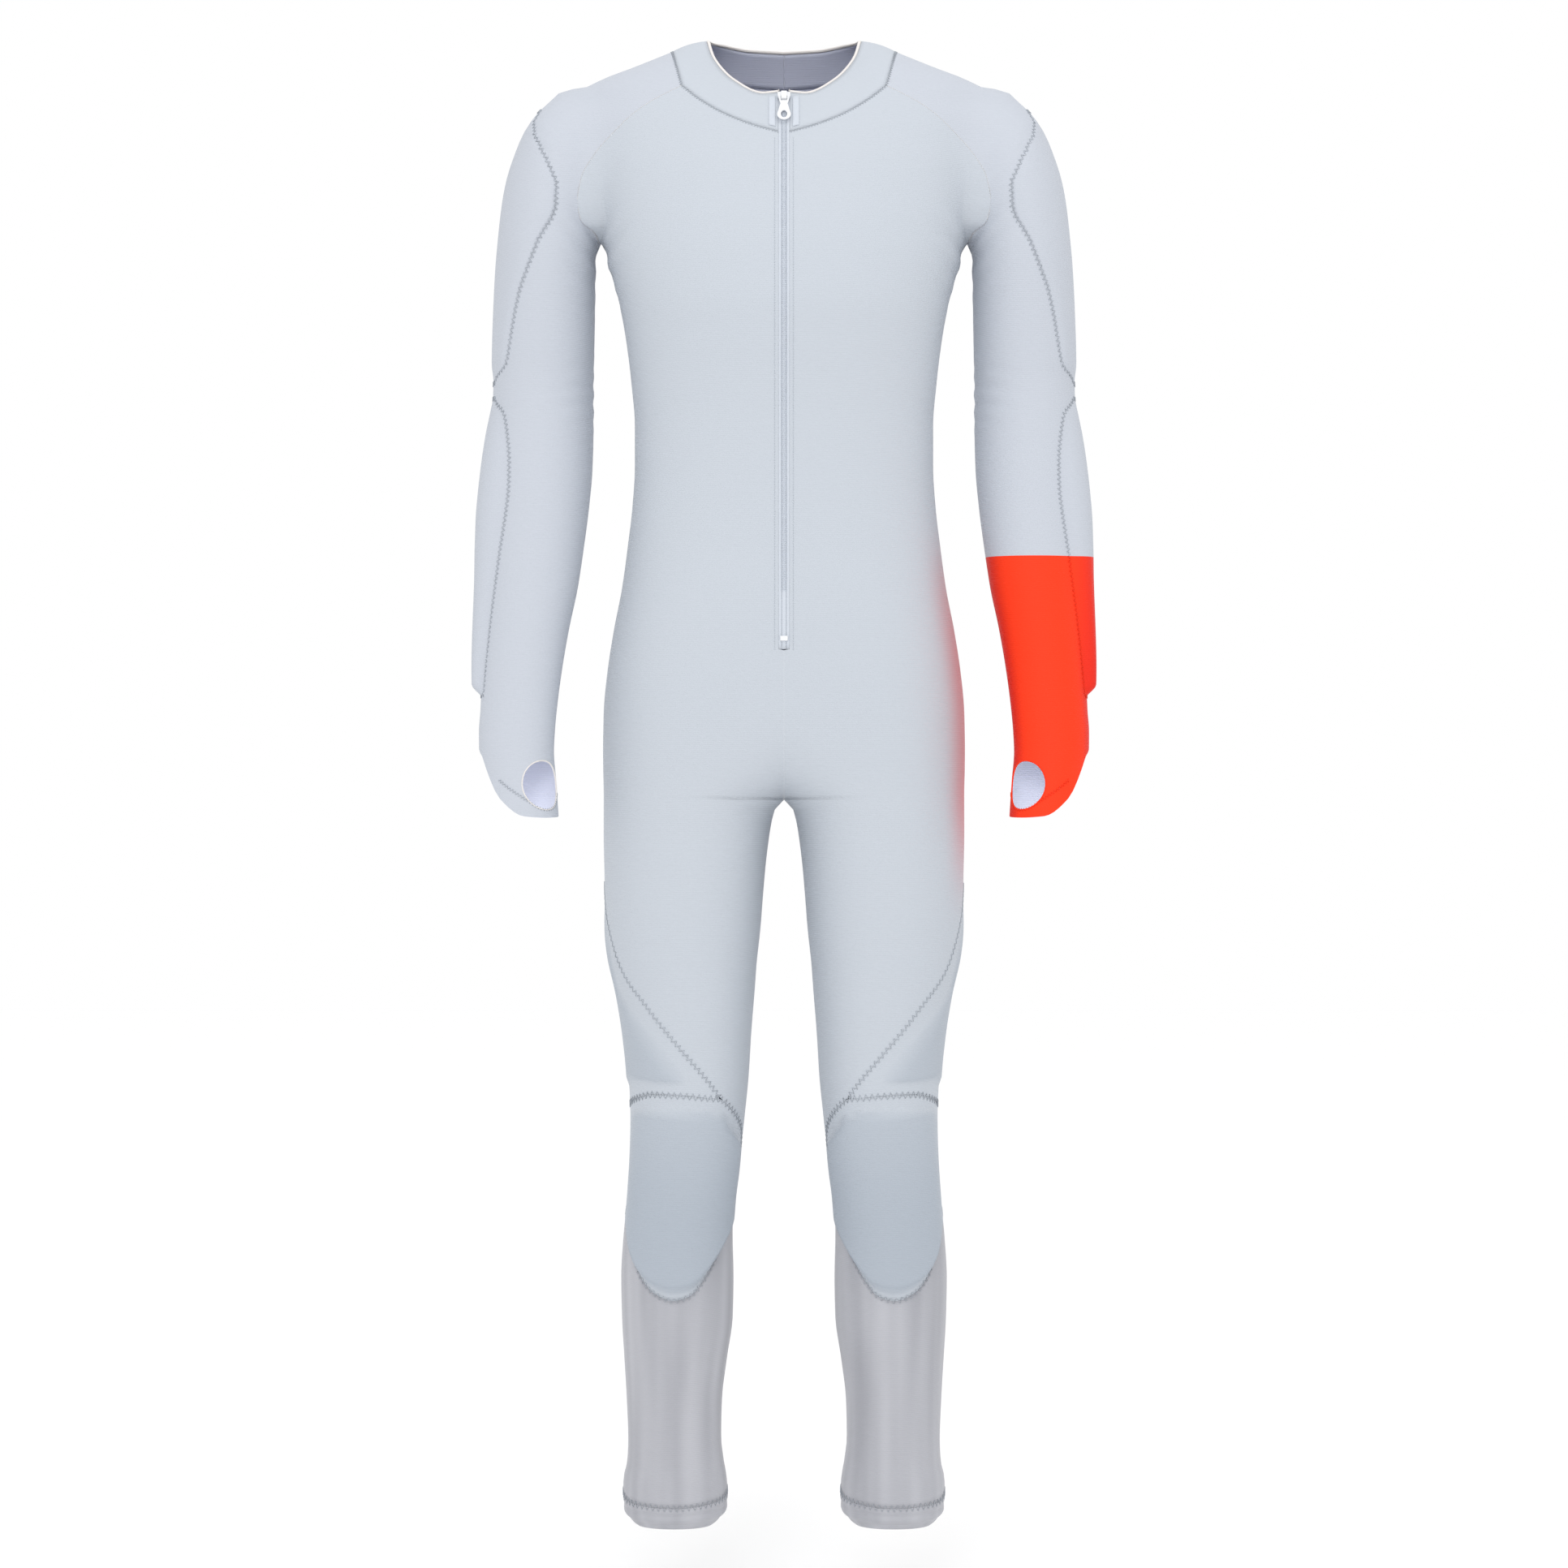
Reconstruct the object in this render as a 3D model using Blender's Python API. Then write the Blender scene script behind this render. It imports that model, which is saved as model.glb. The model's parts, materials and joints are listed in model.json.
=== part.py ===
"""Ski race suit: a one-piece stretch suit held up in its worn shape, sewn from thin cloth walls.

The front faces -Y and the left side of the suit lies at +X.  The origin is the middle of
the neck opening, at the height of its two side points.  Lengths are in metres.
"""

import math

import bmesh
import bpy
import numpy as np

MM = 0.001

CLOTH = 1.5 * MM            # thickness of the padded stretch cloth
TRIM = 0.8 * MM             # thickness of tapes and small patches
SEAM_HALF = 0.15 * MM       # each piece stops this far short of its seam line
SKIN_LIFT = 0.3 * MM        # a patch floats this far over the cloth under it

ARMPIT_Z = -0.207           # height of the underarm point
CROTCH_Z = -0.7496          # height where the two legs part
HEM_Z = -1.4647             # free edge of the ankle band
ZIP_BOTTOM = -0.604         # lower end of the zip
ZIP_HALF = 5.4 * MM         # half the slot between the cloth edges along the zip
CHAIN_HALF = 2.1 * MM       # half the width of the closed coil
CHAIN_RISE = 1.1 * MM       # how far the coil stands over the tapes
STOP_SIZE = (7.3 * MM, 4.8 * MM, 2.2 * MM)
STOP_SINK = 0.4 * MM        # how deep the stop is pressed into the coil
STOP_OFFSET = 8.0 * MM      # height of the stop over the zip's lower end
TAPE_EXTRA = 0.2 * MM       # how much thicker the woven tape is than a patch

COLLAR_BULGE = 2.0 * MM     # how far the collar bows out between its two edges
BINDING_HEIGHT = 3.2 * MM   # height of the binding over the neck edge
BINDING_LIFT = 0.4 * MM     # how far the binding stands out of each face of the collar

KNEE_PAD = 9.0 * MM         # rise of the knee pad over the cloth
THIGH_PAD = 2.5 * MM        # rise of the thin pad on the outer thigh
ARM_PAD = 2.0 * MM          # rise of the upper arm guard

# Columns round one half of the body, degrees: 0 is the outer side, -90 the front.
FRONT_ANGLES = (-180, -158, -137, -118, -97, -76, -56, -37, -18, 0)
BACK_ANGLES = (0, 14, 28, 42, 60, 80, 100, 120, 140, 160, 180)
GUARD_FIRST = -118          # the thigh guard runs between these two columns
GUARD_LAST = 42

# Half of the body and one leg, by height.
# height, outer side, section centre, inner reach, front, back, squareness
BODY = (
    (0.012, 0.052, 0.0, 0.500, -0.022, 0.047, 2.2),
    (0.000, 0.080, 0.0, 0.500, -0.030, 0.058, 2.2),
    (-0.0096, 0.107, 0.0, 0.500, -0.038, 0.066, 2.2),
    (-0.019, 0.130, 0.0, 0.500, -0.046, 0.074, 2.2),
    (-0.029, 0.155, 0.0, 0.500, -0.053, 0.081, 2.2),
    (-0.038, 0.179, 0.0, 0.500, -0.058, 0.087, 2.2),
    (-0.048, 0.198, 0.0, 0.500, -0.063, 0.092, 2.2),
    (-0.058, 0.209, 0.0, 0.500, -0.068, 0.097, 2.2),
    (-0.075, 0.209, 0.0, 0.500, -0.076, 0.103, 2.3),
    (-0.100, 0.201, 0.0, 0.500, -0.087, 0.110, 2.4),
    (-0.130, 0.194, 0.0, 0.500, -0.100, 0.115, 2.4),
    (-0.160, 0.187, 0.0, 0.500, -0.109, 0.118, 2.4),
    (-0.190, 0.180, 0.0, 0.500, -0.117, 0.120, 2.4),
    (-0.2216, 0.1732, 0.0, 0.500, -0.122, 0.119, 2.4),
    (-0.2616, 0.1620, 0.0, 0.500, -0.124, 0.114, 2.4),
    (-0.3016, 0.1548, 0.0, 0.500, -0.118, 0.107, 2.4),
    (-0.3416, 0.1500, 0.0, 0.500, -0.110, 0.099, 2.4),
    (-0.3816, 0.1468, 0.0, 0.500, -0.104, 0.092, 2.4),
    (-0.4216, 0.1468, 0.0, 0.500, -0.101, 0.088, 2.4),
    (-0.4616, 0.1492, 0.0, 0.500, -0.100, 0.088, 2.4),
    (-0.5016, 0.1540, 0.012, 0.500, -0.100, 0.093, 2.4),
    (-0.5416, 0.1596, 0.028, 0.500, -0.102, 0.101, 2.4),
    (-0.5816, 0.1676, 0.046, 0.500, -0.103, 0.111, 2.4),
    (-0.6216, 0.1740, 0.062, 0.490, -0.103, 0.120, 2.4),
    (-0.6616, 0.1780, 0.075, 0.460, -0.101, 0.127, 2.4),
    (-0.6800, 0.1785, 0.080, 0.350, -0.099, 0.127, 2.4),
    (-0.7000, 0.1788, 0.084, 0.218, -0.097, 0.126, 2.3),
    (-0.7200, 0.1786, 0.087, 0.153, -0.0945, 0.122, 2.3),
    (-0.7350, 0.1782, 0.0893, 0.118, -0.0925, 0.118, 2.3),
    (-0.7450, 0.1780, 0.0905, 0.0975, -0.0915, 0.1145, 2.3),
    (-0.7496, 0.1780, 0.091, 0.091, -0.091, 0.113, 2.25),
    (-0.7616, 0.1780, 0.094, 0.084, -0.090, 0.110, 2.2),
    (-0.7816, 0.1780, 0.096, 0.082, -0.088, 0.105, 2.2),
    (-0.8216, 0.1772, 0.098, 0.0792, -0.086, 0.098, 2.2),
    (-0.8616, 0.1764, 0.0992, 0.0772, -0.083, 0.093, 2.2),
    (-0.9016, 0.1724, 0.0992, 0.0732, -0.079, 0.089, 2.2),
    (-0.9416, 0.1636, 0.0964, 0.0672, -0.075, 0.085, 2.2),
    (-0.9816, 0.1572, 0.0948, 0.0624, -0.070, 0.080, 2.2),
    (-1.0216, 0.1532, 0.0940, 0.0592, -0.065, 0.074, 2.2),
    (-1.0616, 0.1516, 0.0952, 0.0564, -0.060, 0.069, 2.2),
    (-1.1016, 0.1524, 0.0980, 0.0544, -0.056, 0.066, 2.2),
    (-1.1416, 0.1548, 0.1020, 0.0528, -0.052, 0.068, 2.2),
    (-1.1816, 0.1588, 0.1048, 0.0540, -0.048, 0.076, 2.1),
    (-1.2216, 0.1612, 0.1056, 0.0556, -0.045, 0.083, 2.1),
    (-1.2616, 0.1604, 0.1056, 0.0548, -0.043, 0.082, 2.1),
    (-1.3016, 0.1580, 0.1072, 0.0508, -0.040, 0.075, 2.1),
    (-1.3416, 0.1556, 0.1084, 0.0472, -0.037, 0.066, 2.1),
    (-1.3816, 0.1540, 0.1080, 0.0460, -0.036, 0.059, 2.1),
    (-1.4016, 0.1548, 0.1072, 0.0476, -0.036, 0.057, 2.1),
    (-1.4216, 0.1588, 0.1076, 0.0512, -0.038, 0.058, 2.1),
    (-1.4416, 0.1588, 0.1072, 0.0516, -0.038, 0.058, 2.1),
    (-1.4512, 0.1568, 0.1074, 0.0494, -0.037, 0.056, 2.1),
    (-1.4580, 0.1530, 0.1076, 0.0452, -0.034, 0.052, 2.1),
    (-1.4647, 0.1450, 0.1078, 0.0370, -0.028, 0.045, 2.1),
)

# One arm, by height.
# height, outer side, inner side, middle depth, half depth, squareness
ARM = (
    (-0.0500, 0.2150, 0.2110, 0.004, 0.002, 2.0),
    (-0.0600, 0.2270, 0.2000, 0.004, 0.018, 2.0),
    (-0.0700, 0.2405, 0.1900, 0.004, 0.032, 2.0),
    (-0.0800, 0.2490, 0.1830, 0.004, 0.041, 2.1),
    (-0.0950, 0.2580, 0.1800, 0.004, 0.049, 2.1),
    (-0.1150, 0.2655, 0.1795, 0.004, 0.055, 2.1),
    (-0.1400, 0.2725, 0.1805, 0.005, 0.059, 2.1),
    (-0.1700, 0.2775, 0.1820, 0.006, 0.061, 2.1),
    (-0.2000, 0.2808, 0.1845, 0.007, 0.061, 2.1),
    (-0.2216, 0.2828, 0.1860, 0.008, 0.060, 2.1),
    (-0.2616, 0.2852, 0.1868, 0.011, 0.057, 2.1),
    (-0.3016, 0.2868, 0.1876, 0.014, 0.054, 2.1),
    (-0.3416, 0.2876, 0.1884, 0.016, 0.051, 2.1),
    (-0.3816, 0.2888, 0.1884, 0.014, 0.050, 2.1),
    (-0.4216, 0.2898, 0.1892, 0.009, 0.050, 2.1),
    (-0.4616, 0.2910, 0.1924, 0.002, 0.049, 2.1),
    (-0.5016, 0.2921, 0.1972, -0.006, 0.047, 2.1),
    (-0.5416, 0.2932, 0.2028, -0.015, 0.044, 2.1),
    (-0.5816, 0.2944, 0.2108, -0.024, 0.040, 2.1),
    (-0.6216, 0.2955, 0.2172, -0.033, 0.036, 2.1),
    (-0.6616, 0.2966, 0.2220, -0.041, 0.033, 2.1),
    (-0.6816, 0.2978, 0.2236, -0.045, 0.033, 2.1),
    (-0.7016, 0.2974, 0.2244, -0.049, 0.034, 2.1),
    (-0.7300, 0.2950, 0.2220, -0.054, 0.036, 2.1),
    (-0.7700, 0.2930, 0.2190, -0.060, 0.038, 2.1),
)

# Raglan seam, from the collar to the underarm point; both seams cross the body at the
# same stations.  Each point is looked up from inside, straight ahead or tilted down.
# front x, front height, front tilt, back x, back height, back tilt
RAGLAN = (
    (0.0999, -0.0540, 0.0, 0.0860, -0.0230, 0.0),
    (0.1304, -0.0697, 0.0, 0.1230, -0.0520, 0.0),
    (0.1618, -0.0946, 0.0, 0.1560, -0.0820, 0.0),
    (0.1842, -0.1184, 0.0, 0.1810, -0.1110, 0.0),
    (0.1980, -0.1426, 0.0, 0.1960, -0.1380, 0.0),
    (0.2017, -0.1643, 0.0, 0.2010, -0.1610, 0.0),
    (0.1980, -0.1750, 12.0, 0.1980, -0.1740, 12.0),
    (0.1865, -0.1750, 36.0, 0.1880, -0.1700, 28.0),
)
UNDERARM = (0.1805, 0.008, -0.150)
# How widely the arm and the trunk flow together, by height.
BLEND_HEIGHTS = (-0.214, -0.206, -0.190, -0.150)
BLEND_WIDTHS = (0.0005, 0.006, 0.026, 0.042)

# Sleeve rows over the shoulder: the point the row is looked up from and its outward lean.
# x, height, lean from level, guard half angle
SHOULDER_ROWS = (
    (0.0950, -0.0850, 78.0, 26.0),
    (0.1250, -0.1000, 70.0, 23.0),
    (0.1520, -0.1200, 60.0, 18.0),
    (0.1800, -0.1350, 46.0, 13.0),
    (0.2020, -0.1500, 32.0, 58.0),
    (0.2180, -0.1650, 19.0, 88.0),
    (0.2270, -0.1800, 9.0, 92.0),
    (0.2310, -0.1950, 3.0, 88.0),
)
GUARD_START_ROW = 3

# Sleeve rings below the underarm: height and the half angle of the guard columns.
SLEEVE_ROWS = (
    (-0.2070, 83.0), (-0.2270, 76.0), (-0.2500, 67.0), (-0.2750, 60.0), (-0.3000, 54.0),
    (-0.3220, 47.0), (-0.3390, 20.0), (-0.3540, 22.0), (-0.3700, 44.0), (-0.3900, 50.0),
    (-0.4150, 54.0), (-0.4450, 55.0), (-0.4750, 52.0), (-0.5050, 47.0), (-0.5350, 42.0),
    (-0.5650, 37.0), (-0.5950, 32.0), (-0.6200, 27.0), (-0.6370, 24.0), (-0.6480, 22.0),
    (-0.6620, 26.0),
)
UPPER_GUARD_END = 6         # row of SLEEVE_ROWS where the upper arm guard stops
FOREARM_FIRST = 7           # rows between which the forearm guard lies
FOREARM_LAST = 19

# How far the forearm guard stands out, by height.
# height, rise in millimetres
FOREARM_RISE = (
    (-0.354, 0.0), (-0.370, 2.8), (-0.390, 6.2), (-0.415, 9.2), (-0.445, 11.5),
    (-0.475, 12.7), (-0.505, 12.4), (-0.535, 11.6), (-0.595, 11.1), (-0.637, 9.6),
    (-0.648, 0.0),
)
GUARD_SHARES = (0.0, 0.13, 0.34, 0.5, 0.66, 0.87, 1.0)
SLEEVE_SIDE_COLUMNS = 5

# The cuff below the last sleeve ring: share of the way down to the free edge.
CUFF_SHARES = (0.22, 0.47, 0.63, 0.79, 1.0)
CUFF_FRONT_ANGLES = (-180, -171, -135, -98, -62, -28)
HOLE_COLUMNS = (1, 2)
HOLE_ROWS = (2, 3)
STRAP_COLUMNS = (0, 1, 2, 3)
# angle, height of the free edge
CUFF_EDGE = (
    (-180, -0.7650), (-171, -0.7660), (-135, -0.7665), (-98, -0.7650), (-76, -0.7630),
    (-62, -0.7480), (-28, -0.7080), (0, -0.7000), (28, -0.7080), (62, -0.7360),
    (98, -0.7520), (135, -0.7600), (180, -0.7650),
)
# Rim of the thumb hole, by row: angle and height at its inner, middle and front column.
HOLE_RIM = (
    ((-152, -0.7200), (-130, -0.7112), (-104, -0.7180)),
    ((-174, -0.7330), (-135, -0.7340), (-98, -0.7300)),
    ((-150, -0.7520), (-130, -0.7590), (-103, -0.7490)),
)

# Seams round the leg: angle and height.
THIGH_SEAM = (
    (-180, -1.1000), (-172, -1.0896), (-160, -1.0736), (-137, -1.0544), (-118, -1.0384),
    (-106, -1.0224), (-91, -1.0008), (-74, -0.9736), (-58, -0.9464), (-42, -0.9224),
    (-30, -0.8928), (-19, -0.8656), (0, -0.8328), (14, -0.8600), (28, -0.9300),
    (42, -1.0450), (60, -1.0560), (100, -1.0760), (140, -1.0920), (180, -1.1000),
)
KNEE_SEAM = (
    (-180, -1.1000), (-172, -1.0896), (-160, -1.0736), (-137, -1.0544), (-118, -1.0408),
    (-107, -1.0400), (-86, -1.0376), (-60, -1.0368), (-35, -1.0424), (0, -1.0496),
    (28, -1.0500), (42, -1.0478), (60, -1.0560), (100, -1.0760), (140, -1.0920),
    (180, -1.1000),
)
SHIN_SEAM = (
    (-180, -1.1480), (-172, -1.1512), (-150, -1.1672), (-131, -1.1952), (-115, -1.2200),
    (-102, -1.2352), (-87, -1.2392), (-72, -1.2336), (-58, -1.2200), (-47, -1.2008),
    (-35, -1.1760), (0, -1.1544), (40, -1.1450), (140, -1.1450), (180, -1.1480),
)
BAND_SEAM = (
    (-180, -1.4300), (-150, -1.4380), (-90, -1.4430), (-30, -1.4400), (0, -1.4320),
    (90, -1.4300), (180, -1.4300),
)
KNEE_SHARES = (0.0, 0.08, 0.25, 0.42, 0.59, 0.76, 0.91, 1.0)
SHIN_STEPS = 8
BAND_SHARES = (0.0, 0.4, 0.75, 1.0)
GUARD_STEPS = 6

# Rows of the body walls below the underarm, down to the crotch.
BODY_LEVELS = (
    -0.2070, -0.2260, -0.2550, -0.2850, -0.3150, -0.3450, -0.3750, -0.4050, -0.4350,
    -0.4650, -0.4950, -0.5250, -0.5550, -0.5800, -0.6040, -0.6080, -0.6350, -0.6620,
    -0.6880, -0.7120, -0.7320, -0.7496,
)
LEG_STEPS = 9

# Neck edge, by bearing from the front: bearing, x, y, height.
NECK_EDGE = (
    (0, 0.0000, -0.0630, -0.0605), (20, 0.0200, -0.0600, -0.0620),
    (50, 0.0510, -0.0430, -0.0455), (75, 0.0712, -0.0190, -0.0184),
    (92, 0.0764, 0.0040, -0.0008), (120, 0.0640, 0.0370, 0.0000),
    (150, 0.0350, 0.0570, -0.0030), (180, 0.0000, 0.0630, -0.0043),
)
# Collar seam on the front: x and height.
COLLAR_FRONT = (
    (0.0054, -0.1034), (0.0300, -0.0960), (0.0580, -0.0840), (0.0820, -0.0690),
    (0.0999, -0.0540),
)
COLLAR_BACK = (
    (0.0860, -0.0230), (0.0600, -0.0300), (0.0300, -0.0350), (0.0, -0.0370),
)

# Zip slider and its pull tab, laid along the zip.
SLIDER_LENGTH = 11.0 * MM
SLIDER_DROP = 9.0 * MM      # middle of the slider below the neck edge
SLIDER_GAP = 1.3 * MM       # height of the slider over the coil where the cloth is bowed
SLIDER_TOP_HALF = 6.2 * MM
SLIDER_END_HALF = 4.2 * MM
SLIDER_THICK = 2.0 * MM
BRIDGE_HALF = 2.8 * MM
BRIDGE_THICK = 1.4 * MM
BRIDGE_HEIGHT = 3.6 * MM
BRIDGE_INSET = 0.8 * MM     # the bridge starts this far from the ends of the slider
BRIDGE_FOOT = 1.8 * MM      # length of each foot of the bridge
BRIDGE_CORNER = 1.0 * MM    # cut across the bridge's upper corners
BRIDGE_SINK = 0.5 * MM      # how deep the feet are pressed into the slider
SLIDER_SHOULDER = 1.0 * MM  # height at which the slider starts to narrow
PULL_PIN = 0.7 * MM         # radius of the round end that turns under the bridge
PULL_LENGTH = 30.0 * MM
PULL_ARM_HALF = 4.6 * MM    # half width where the two arms pass the bridge
PULL_SLOT_HALF = 3.2 * MM
PULL_SLOT_LENGTH = 6.6 * MM
PULL_TAPER = 3.5 * MM       # length over which the arms run into the narrow neck
PULL_NECK_HALF = 3.4 * MM
RING_STEPS = 14             # corners of the pull tab's round end
PULL_RING_HALF = 6.7 * MM
PULL_HOLE = (4.5 * MM, 3.0 * MM)

# Patches beside the slider: distance from the middle, share of the collar height.
PATCH_INNER = 8.2 * MM
PATCH_OUTER = 14.8 * MM


GREY = (0.62, 0.65, 0.70, 1.0)
SHIN_GREY = (0.50, 0.51, 0.55, 1.0)
WHITE = (0.86, 0.85, 0.84, 1.0)
TAPE = (0.66, 0.68, 0.72, 1.0)


def column(table, index):
    """One named column of a table as an array."""
    return np.array([row[index] for row in table], dtype=float)


def smooth(stations, values, at):
    """Smooth curve through the table's points, without overshoot between them."""
    stations = np.asarray(stations, dtype=float)
    values = np.asarray(values, dtype=float)
    if stations[0] > stations[-1]:
        stations = stations[::-1]
        values = values[::-1]
    at = np.clip(np.asarray(at, dtype=float), stations[0], stations[-1])
    step = np.diff(stations)
    slope = np.diff(values) / step
    tangent = np.empty_like(values)
    tangent[0] = slope[0]
    tangent[-1] = slope[-1]
    left, right = slope[:-1], slope[1:]
    flat = left * right <= 0.0
    safe = np.where(flat, 1.0, left + right)
    tangent[1:-1] = np.where(flat, 0.0, 2.0 * left * right / safe)
    place = np.clip(np.searchsorted(stations, at) - 1, 0, len(step) - 1)
    share = (at - stations[place]) / step[place]
    a = values[place]
    b = values[place + 1]
    ta = tangent[place] * step[place]
    tb = tangent[place + 1] * step[place]
    s2 = share * share
    s3 = s2 * share
    return ((2 * s3 - 3 * s2 + 1) * a + (s3 - 2 * s2 + share) * ta
            + (-2 * s3 + 3 * s2) * b + (s3 - s2) * tb)


def body_section(z):
    """Centre, reaches and squareness of the half-body section at the heights."""
    heights = column(BODY, 0)
    outer, centre, inner, front, back, square = (
        smooth(heights, column(BODY, i), z) for i in range(1, 7))
    middle = 0.5 * (front + back)
    return centre, middle, outer - centre, inner, middle - front, back - middle, square


def arm_section(z):
    """Centre, half width, half depth and squareness of the arm section."""
    heights = column(ARM, 0)
    outer, inner, middle, depth, square = (
        smooth(heights, column(ARM, i), z) for i in range(1, 6))
    return 0.5 * (outer + inner), middle, 0.5 * (outer - inner), depth, square


def rounded_distance(dx, dy, reach_x, reach_y, square):
    """Distance outside an oval, measured along the line from its centre."""
    dist = np.hypot(dx, dy)
    norm = ((np.abs(dx) / reach_x) ** square + (np.abs(dy) / reach_y) ** square)
    norm = np.maximum(norm, 1e-12) ** (1.0 / square)
    return dist - dist / norm


def body_field(p):
    """Signed distance of points from the trunk and legs."""
    centre, middle, out, inner, front, back, square = body_section(p[:, 2])
    dx = np.abs(p[:, 0]) - centre
    dy = p[:, 1] - middle
    return rounded_distance(dx, dy, np.where(dx > 0, out, inner),
                            np.where(dy > 0, back, front), square)


def arm_field(p):
    """Signed distance of points from the arms, with a domed top."""
    centre, middle, half, depth, square = arm_section(p[:, 2])
    dist = rounded_distance(np.abs(p[:, 0]) - centre, p[:, 1] - middle, half, depth, square)
    return dist + np.maximum(p[:, 2] - ARM[0][0], 0.0) * 4.0


def suit_field(p):
    """Trunk and arms flowing into one another above the underarm."""
    trunk = body_field(p)
    arm = arm_field(p)
    blend = np.interp(p[:, 2], BLEND_HEIGHTS, BLEND_WIDTHS)
    mix = np.maximum(blend - np.abs(trunk - arm), 0.0) / blend
    return np.minimum(trunk, arm) - mix * mix * blend * 0.25


def look_out(start, heading, field):
    """First points where rays from inside meet the surface."""
    start = np.atleast_2d(np.asarray(start, dtype=float))
    heading = np.atleast_2d(np.asarray(heading, dtype=float))
    count = max(len(start), len(heading))
    start = np.broadcast_to(start, (count, 3))
    heading = np.broadcast_to(heading, (count, 3))
    heading = heading / np.linalg.norm(heading, axis=1, keepdims=True)
    near = np.zeros(count)
    far = np.full(count, np.nan)
    step = 0.004
    for i in range(1, 90):
        reach = i * step
        value = field(start + heading * reach)
        hit = np.isnan(far) & (value > 0.0)
        far[hit] = reach
        near[np.isnan(far)] = reach
    far = np.where(np.isnan(far), near, far)
    near = far - step
    for _ in range(26):
        mid = 0.5 * (near + far)
        outside = field(start + heading * mid[:, None]) > 0.0
        far = np.where(outside, mid, far)
        near = np.where(outside, near, mid)
    return start + heading * far[:, None]


def surface_normals(points, field):
    """Outward directions of the surface at the points."""
    eps = 0.0008
    grads = []
    for axis in range(3):
        shift = np.zeros(3)
        shift[axis] = eps
        grads.append(field(points + shift) - field(points - shift))
    grad = np.stack(grads, axis=1)
    return grad / np.linalg.norm(grad, axis=1, keepdims=True)


def leg_points(angles, heights):
    """Points of the trunk or leg at the angles round its section centre."""
    angles = np.radians(np.asarray(angles, dtype=float))
    heights = np.asarray(heights, dtype=float)
    centre, middle, out, inner, front, back, square = body_section(heights)
    c, s = np.cos(angles), np.sin(angles)
    reach_x = np.where(c > 0, out, inner)
    reach_y = np.where(s > 0, back, front)
    radius = ((np.abs(c) / reach_x) ** square + (np.abs(s) / reach_y) ** square)
    radius = radius ** (-1.0 / square)
    x = np.maximum(centre + radius * c, 0.0)
    return np.stack([x, middle + radius * s, heights], axis=1)


def seam_height(table, angles):
    """Height of a seam round the leg at the angles."""
    return smooth(column(table, 0), column(table, 1), angles)


def knee_heights(angles):
    """Height of the seam over the knee guard: its own under the thigh guard."""
    angles = np.asarray(angles, dtype=float)
    under = (angles >= GUARD_FIRST) & (angles <= GUARD_LAST)
    return np.where(under, seam_height(KNEE_SEAM, angles), seam_height(THIGH_SEAM, angles))


def row_fan(start, end, origin, shares, field):
    """Row of surface points between two of its points, seen from inside."""
    first = np.asarray(start) - origin
    last = np.asarray(end) - origin
    first = first / np.linalg.norm(first)
    last = last / np.linalg.norm(last)
    turn = math.acos(max(-1.0, min(1.0, float(first @ last))))
    shares = np.asarray(shares, dtype=float)[:, None]
    heading = (np.sin((1 - shares) * turn) * first + np.sin(shares * turn) * last)
    row = look_out(np.asarray(origin), heading / math.sin(turn), field)
    row[0] = start
    row[-1] = end
    return row


def merge_points(points, cells, tolerance=2e-6):
    """Points with equal places joined, and cells renumbered without repeats."""
    keys = {}
    order = []
    new_id = []
    for place in points:
        key = tuple(int(round(v / tolerance)) for v in place)
        if key not in keys:
            keys[key] = len(order)
            order.append(len(new_id))
        new_id.append(keys[key])
    kept = []
    for cell in cells:
        ring = []
        for vertex in cell:
            number = new_id[vertex]
            if number not in ring:
                ring.append(number)
        if len(ring) > 2:
            kept.append(tuple(ring))
    used = sorted({v for cell in kept for v in cell})
    slot = {v: i for i, v in enumerate(used)}
    kept = [tuple(slot[v] for v in cell) for cell in kept]
    return [order[v] for v in used], kept


def boundary_edges(cells):
    """Edges that belong to one cell only, in the direction of that cell."""
    seen = {}
    for cell in cells:
        for a, b in zip(cell, cell[1:] + cell[:1]):
            seen[(a, b)] = True
    return [edge for edge in seen if (edge[1], edge[0]) not in seen]


def wall_mesh(points, normals, cells, thickness, rise=None, lift=0.0, inset=SEAM_HALF):
    """Vertices and faces of a closed cloth wall over the cells."""
    keep, cells = merge_points(points, cells)
    base = np.asarray(points)[keep]
    out = np.asarray(normals)[keep]
    relief = np.zeros(len(keep)) if rise is None else np.asarray(rise, dtype=float)[keep]
    edges = boundary_edges(cells)
    inward = {}
    for a, b in edges:
        along = base[b] - base[a]
        for vertex in (a, b):
            side = np.cross(out[vertex], along)
            side = side / np.linalg.norm(side)
            inward.setdefault(vertex, []).append(side)
    shift = np.zeros_like(base)
    for vertex, sides in inward.items():
        total = np.sum(sides, axis=0)
        if len(sides) == 2:
            spread = max(1.0 + float(sides[0] @ sides[1]), 0.25)
            total = total / spread
        shift[vertex] = total * inset
        relief[vertex] = 0.0
    base = base + shift
    outer = base + out * (relief + lift)[:, None]
    inner = base + out * (lift - thickness)
    count = len(base)
    faces = [tuple(cell) for cell in cells]
    faces += [tuple(v + count for v in reversed(cell)) for cell in cells]
    faces += [(b, a, a + count, b + count) for a, b in edges]
    return np.vstack([outer, inner]), faces


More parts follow.
